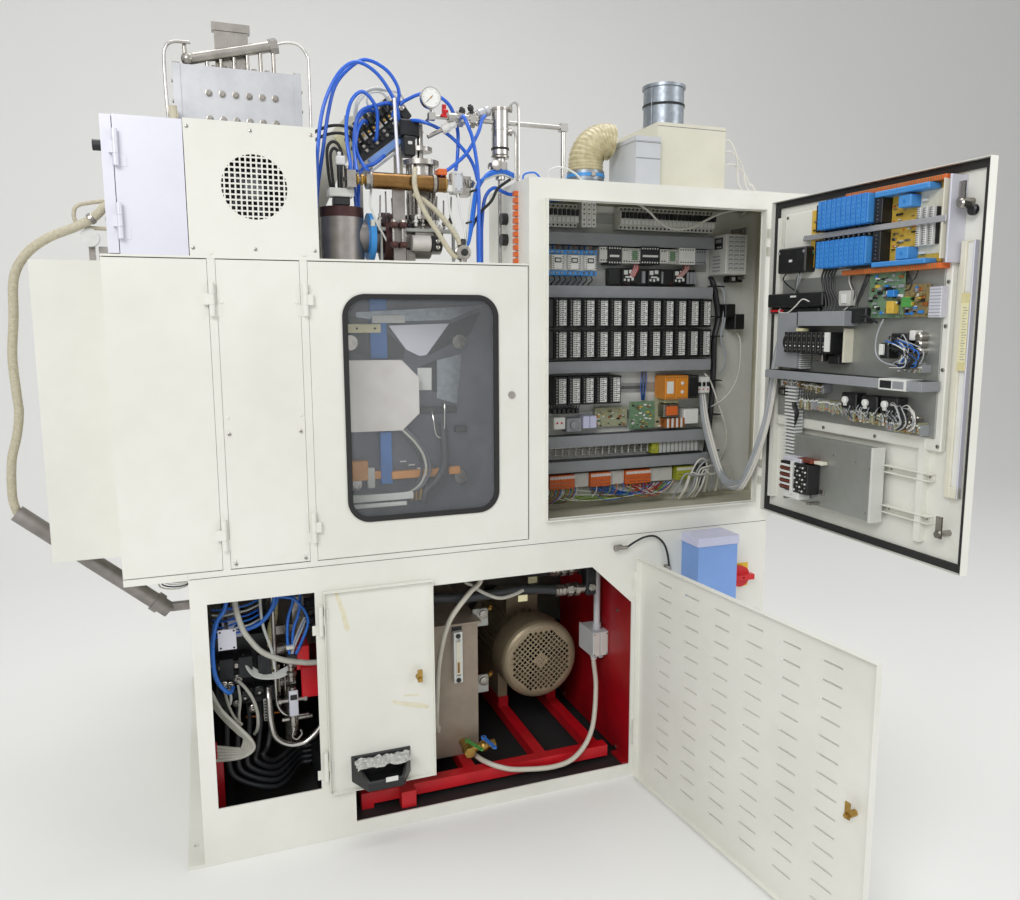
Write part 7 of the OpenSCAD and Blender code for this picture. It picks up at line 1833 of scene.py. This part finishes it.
def dress_trim():
    """Small things on the outside: screws, seam, hinge blocks, cable loops and clips."""
    kit = Piece()
    for x, z in ((137, 1357), (342, 1356), (342, 960), (137, 962)):
        kit.lathe((x, -3.1, z), OUTWARD, [(0, 5), (1, 5), (1.8, 3.6)], "turned_steel", 16)
        # A dark line across each screw's head: painted shade of its slot
        kit.block((x - 3, -5.1, z - 0.5), (x + 3, -4.8, z + 0.5), "dial_line", 0)
    kit.block((3, -0.5, 926), (2062, 0.2, 927.6), "dial_line", 0)
    for k in range(6):
        kit.hose([(40, 30 + 6 * k, 944), (10 - 4 * k, 28, 930 - 6 * k), (-40 - 8 * k, 60, 922 - 5 * k),
                  (-90, 140 + 8 * k, 930 - 3 * k), (-120, 180, 944)], 2.2,
                 ("milky_tube", "black_sheath", "grey_conduit")[k % 3], 4, 8)
    for z in (2012, 1948):
        kit.block((-176, 282, z), (-152.3, 302, z + 22), "white_moulding", 2)
    kit.lathe((-152.3, 250, 1990), LEFT, [(0, 13), (10, 13), (11, 10), (20, 10), (22, 8)],
              "black_moulding", 6)
    kit.done("outer_trim", slot="steel")
    kit = Piece()
    for x in (384, 400):
        for z in (240, 750):
            kit.block((x - 4, -8, z), (x + 4, -0.2, z + 40), "white_moulding", 1.5)
    kit.done("hinge_blocks", slot="white_plastic")


dress_base_hoses()
dress_left_bay()
dress_motor_cable()
dress_window()
dress_trim()


def dress_small_door():
    """Marks of old tape on the open door's face and a crumpled film in its tray."""
    kit = Piece()
    sheet(kit, ((424, 838), (434, 840), (456, 776), (470, 712), (460, 704), (452, 716), (442, 772)), -4.5,
          0.4, "tape_residue")
    sheet(kit, ((600, 450), (642, 438), (700, 424), (724, 410), (720, 400), (660, 416), (606, 436)), -4.5,
          0.4, "tape_residue")
    sheet(kit, ((640, 462), (690, 456), (690, 451), (642, 456)), -4.5, 0.4, "tape_residue")
    kit.done("tape_marks", "small_door", "yellow_plastic")
    kit = Piece()
    chance = random.Random(53)
    across, deep = 22, 9
    points, faces = [], []
    for lift in (0, 0.5):
        for j, i in product(range(deep), range(across)):
            x, y = 468 + 180 * i / (across - 1), -80 + 68 * j / (deep - 1)
            crest = 9 * math.sin(0.9 * i + 1.3 * math.sin(0.7 * j)) * math.sin(0.8 * j + 0.4 * i)
            if lift:
                height = points[j * across + i][2] + lift
            else:
                height = 262 + abs(crest) + chance.uniform(0, 6)
            points.append((x + 3 * math.sin(2.1 * j), y, height))
    half = across * deep
    for j, i in product(range(deep - 1), range(across - 1)):
        a = j * across + i
        faces.append([a, a + 1, a + across + 1, a + across])
        faces.append([half + a, half + a + across, half + a + across + 1, half + a + 1])
    for i in range(across - 1):
        for a in (i, (deep - 1) * across + i):
            faces.append([a, a + 1, half + a + 1, half + a])
    for j in range(deep - 1):
        for a in (j * across, j * across + across - 1):
            faces.append([a, a + across, half + a + across, half + a])
    kit.solid(points, faces, "crumpled_film")
    kit.block((556, -89.4, 216), (596, -88.3, 232), "label_white", 0)
    kit.done("tray_film", "small_door", "white_plastic")


dress_small_door()


# Finishes of the source's own parts. The cabinet's ducts and rails lie on one fitting
CABINET_DUCTS = [("trunking_grey", (1150, 308, z - 23), (2010, 369.9, z + 23)) for z in DUCTS]
CABINET_RAILS = [("zinc_plate", (1150, 360, z - 18), (2010, 369.9, z + 18)) for z in RAILS]

# Parts in one finish; those that a finer piece stands for have one too
PLAIN_PARTS = {
    # The carrier in the brighter red: painted light
    "red_enamel_painted_light": ["red_subframe"],
    "motor_lacquer": ["pump_motor", "motor_cowl"],
    "black_moulding": ["motor_fan", "door_tray", "control_knob", "io_modules"],
    "valve_phosphate": ["hydraulic_pump", "drive_motor"],
    "lever_green": ["green_lever"],
    "lever_blue": ["blue_lever"],
    "cream_powder_coat": ["small_door", "louvred_door", "guard_frame", "fixed_panel", "left_door",
                          "window_door", "cover_box", "cabinet_door"],
    "turned_brass": ["small_door_lock", "louvred_door_lock"],
    "switch_yellow": ["isolator_plate"],
    "switch_red": ["isolator_knob"],
    "black_rubber": ["window_seal", "door_gasket"],
    "turned_steel": ["window_lock", "blow_pin", "upper_latch", "lower_latch"],
    "barrel_steel": ["suction_lance"],
    "ground_platen_steel": ["front_platen", "rear_platen"],
    "trunking_grey": ["drive_fan"],
    "anodised_sheet": ["control_box", "control_box_door"],
    "hose_cover_rubber": ["base_hoses"],
    "cable_sheath": ["motor_cables"],
    "braided_jacket": ["lance_hose"],
    "blue_tube": ["air_tubes"],
    "light_grey_moulding": ["cabinet_devices"],
    "zinc_plate": ["door_equipment"],
    "relay_blue": ["relay_rack"],
    "galvanised_sheet": ["roof_ducts"],
}

# Parts with more finishes: the main one, and others in boxes of the plan
ZONED_PARTS = {
    # The base's inside in near black: painted shade
    "base_body": ("cream_powder_coat", [("base_inside_painted_shade", (5.5, 5.5, 11), (2059.5, 1494.5, 936.5))]),
    "red_partition": ("red_enamel", [("box_grey", (1420, 180, 375), (1491.8, 320, 940))]),
    "oil_tank": ("tank_hammer_paint", [("label_white", (862, 166, 388), (898, 189.8, 586)),
                                       ("turned_brass", (860, 90, 110), (1010, 189.8, 210))]),
    "valve_manifold": ("valve_phosphate", [("box_lilac", (88, 248, 641), (152, 401, 702)),
                                           ("turned_steel", (260, 180, 200), (330, 345, 660)),
                                           ("turned_steel", (312, 265, 600), (364, 345, 760)),
                                           ("switch_red", (316, 188, 515), (364, 322, 604))]),
    "blue_box": ("box_blue", [("box_lilac", (1680, -120, 885.2), (1870, 1, 920))]),
    "probe_cable": ("black_sheath", [("turned_steel", (1400, -40, 870), (1455.6, 0, 900)),
                                     ("turned_steel", (1612, -21, 779), (1640, 0, 800.4))]),
    "end_hood": ("cream_powder_coat", [("label_white", (-260, 280, 1908), (-190, 306.2, 1970)),
                                       ("turned_steel", (-260, 306.4, 1870.2), (-170, 360, 1970))]),
    "clamp_frame": ("turned_steel", [("machine_blue_enamel", (460, 249, 940), (1000, 301, 1700)),
                                     ("machine_blue_enamel", (460, 829, 940), (1000, 881, 1700))]),
    "extruder": ("barrel_steel", [("heat_browned_steel", (650, 160, 1868), (726, 340, 2050)),
                                  ("heat_browned_steel", (450, 170, 2020), (600, 330, 2052.4)),
                                  ("strap_azure", (606, 160, 1880), (627, 340, 2045)),
                                  ("turned_steel", (728, 180, 2012), (860, 320, 2360))]),
    "brass_cylinder": ("drawn_bronze", [("turned_steel", (520, 120, 1868), (605.8, 260, 2175)),
                                        ("barrel_steel", (674, 120, 1868), (720, 260, 2103.8)),
                                        ("turned_steel", (805.9, 100, 2090), (816.2, 200, 2175)),
                                        ("turned_steel", (850.2, 100, 2080), (940, 200, 2175))]),
    "valve_terminal": ("valve_phosphate", [("fan_box_coat", (480, 339.6, 1860), (900, 344.2, 2600)),
                                           ("turned_steel", (480, 344.3, 1860), (900, 400, 2600))]),
    "filter_line": ("stainless_pipe", [("switch_red", (843, 143, 2347), (857, 157, 2382))]),
    "bolt_plate": ("rolled_aluminium", [("turned_steel", (30, 290, 2470.4), (400, 350, 2620)),
                                        ("braided_jacket", (15, 245, 2240), (46, 285, 2336))]),
    # The cabinet's inside in a darker cream: painted shade
    "cabinet": ("cream_powder_coat", [("cream_coat_painted_shade", (1090, 1.6, 947), (2286, 398.4, 2143)),
                                      ("black_moulding", (1055, 170, 1930), (1087.6, 250, 2070)),
                                      ("terminal_orange", (1060, 90, 1870), (1087.6, 120, 2130))]),
    "cabinet_fittings": ("white_plate_lacquer", CABINET_DUCTS + CABINET_RAILS),
    "roof_boxes": ("fan_box_coat", [("box_grey", (1480, 30, 2144), (1592.6, 250, 2320))]),
}


def dress(part, material):
    made = nodes[part]
    for slot in made.material_slots:
        slot.material = material
    if not made.material_slots:
        made.data.materials.append(material)


def dress_parts():
    for name, parts in PLAIN_PARTS.items():
        for part in parts:
            dress(part, finish(name))
    for part, (name, zones) in ZONED_PARTS.items():
        dress(part, finish(name, zones, f"{name}_on_{part}"))
    dress("window_pane", clear_finish("window_polycarbonate", "#e9eef0", 0.04))


dress_parts()


# Studio: a sweep of pale floor and wall, three soft lamps and a white surround
def studio_sweep():
    reach, back, bend, top = 18.0, 5.2, 2.4, 9.0
    line = [(-7.0, 0.0), (back - bend, 0.0)]
    steps = 12
    for k in range(1, steps + 1):
        angle = math.pi / 2 * k / steps
        line.append((back - bend + bend * math.sin(angle), bend - bend * math.cos(angle)))
    line.append((back, top))
    points = [(side * reach, y, z - 0.0005) for y, z in line for side in (-1, 1)]
    faces = [[2 * i, 2 * i + 1, 2 * i + 3, 2 * i + 2] for i in range(len(line) - 1)]
    mesh = bpy.data.meshes.new("studio_sweep")
    mesh.from_pydata(points, [], faces)
    mesh.polygons.foreach_set("use_smooth", [True] * len(mesh.polygons))
    sweep = bpy.data.objects.new("studio_sweep", mesh)
    bpy.context.scene.collection.objects.link(sweep)
    material, tree = new_tree("matt_studio_paper")
    place = add(tree, "TexCoord").outputs["Object"]
    cloud = add(tree, "TexNoise", {"Vector": place, "Scale": 0.6, "Detail": 2.0})
    tone = add(tree, "Mix", {0: cloud.outputs[0], 6: linear("#f2f2f0"), 7: linear("#eeeeec")},
               data_type="RGBA")
    shader = add(tree, "BsdfPrincipled", {"Base Color": tone.outputs[2], "Roughness": 0.92})
    add(tree, "OutputMaterial", {"Surface": shader.outputs[0]})
    mesh.materials.append(material)


def lamp(name, spot, aim, wide, high, watts, warm=(1.0, 1.0, 1.0)):
    data = bpy.data.lights.new(name, "AREA")
    data.shape = "RECTANGLE"
    data.size, data.size_y = wide, high
    data.energy = watts
    data.color = warm
    made = bpy.data.objects.new(name, data)
    made.location = spot
    made.rotation_euler = (Vector(aim) - Vector(spot)).to_track_quat("-Z", "Y").to_euler()
    bpy.context.scene.collection.objects.link(made)


# The surround lights the machine at this strength. Seen, mirrored or through glass, it is plain white
SURROUND_LEVEL = 0.42


def white_surround():
    world = bpy.data.worlds.new("white_surround")
    bpy.context.scene.world = world
    world.use_nodes = True
    tree = world.node_tree
    tree.nodes.clear()
    rays = add(tree, "LightPath")
    seen = add(tree, "Math", {0: rays.outputs["Is Camera Ray"], 1: rays.outputs["Is Transmission Ray"]},
               operation="MAXIMUM")
    seen = add(tree, "Math", {0: seen.outputs[0], 1: rays.outputs["Is Glossy Ray"]}, operation="MAXIMUM")
    level = add(tree, "MapRange", {0: seen.outputs[0], 1: 0.0, 2: 1.0, 3: SURROUND_LEVEL, 4: 1.0})
    sky = add(tree, "Background", {"Color": (1.0, 1.0, 1.0, 1.0), "Strength": level.outputs[0]})
    add(tree, "OutputWorld", {"Surface": sky.outputs[0]})


studio_sweep()
white_surround()
lamp("key_softbox", (-3.4, -5.2, 4.6), (0.1, 0.0, 1.2), 3.2, 2.6, 190)
lamp("fill_softbox", (4.6, -4.6, 3.2), (0.0, 0.0, 1.0), 3.0, 2.6, 75)
lamp("top_softbox", (0.0, 0.2, 6.0), (0.0, 0.0, 0.0), 4.5, 3.2, 130)
bpy.context.scene.view_settings.view_transform = "Standard"
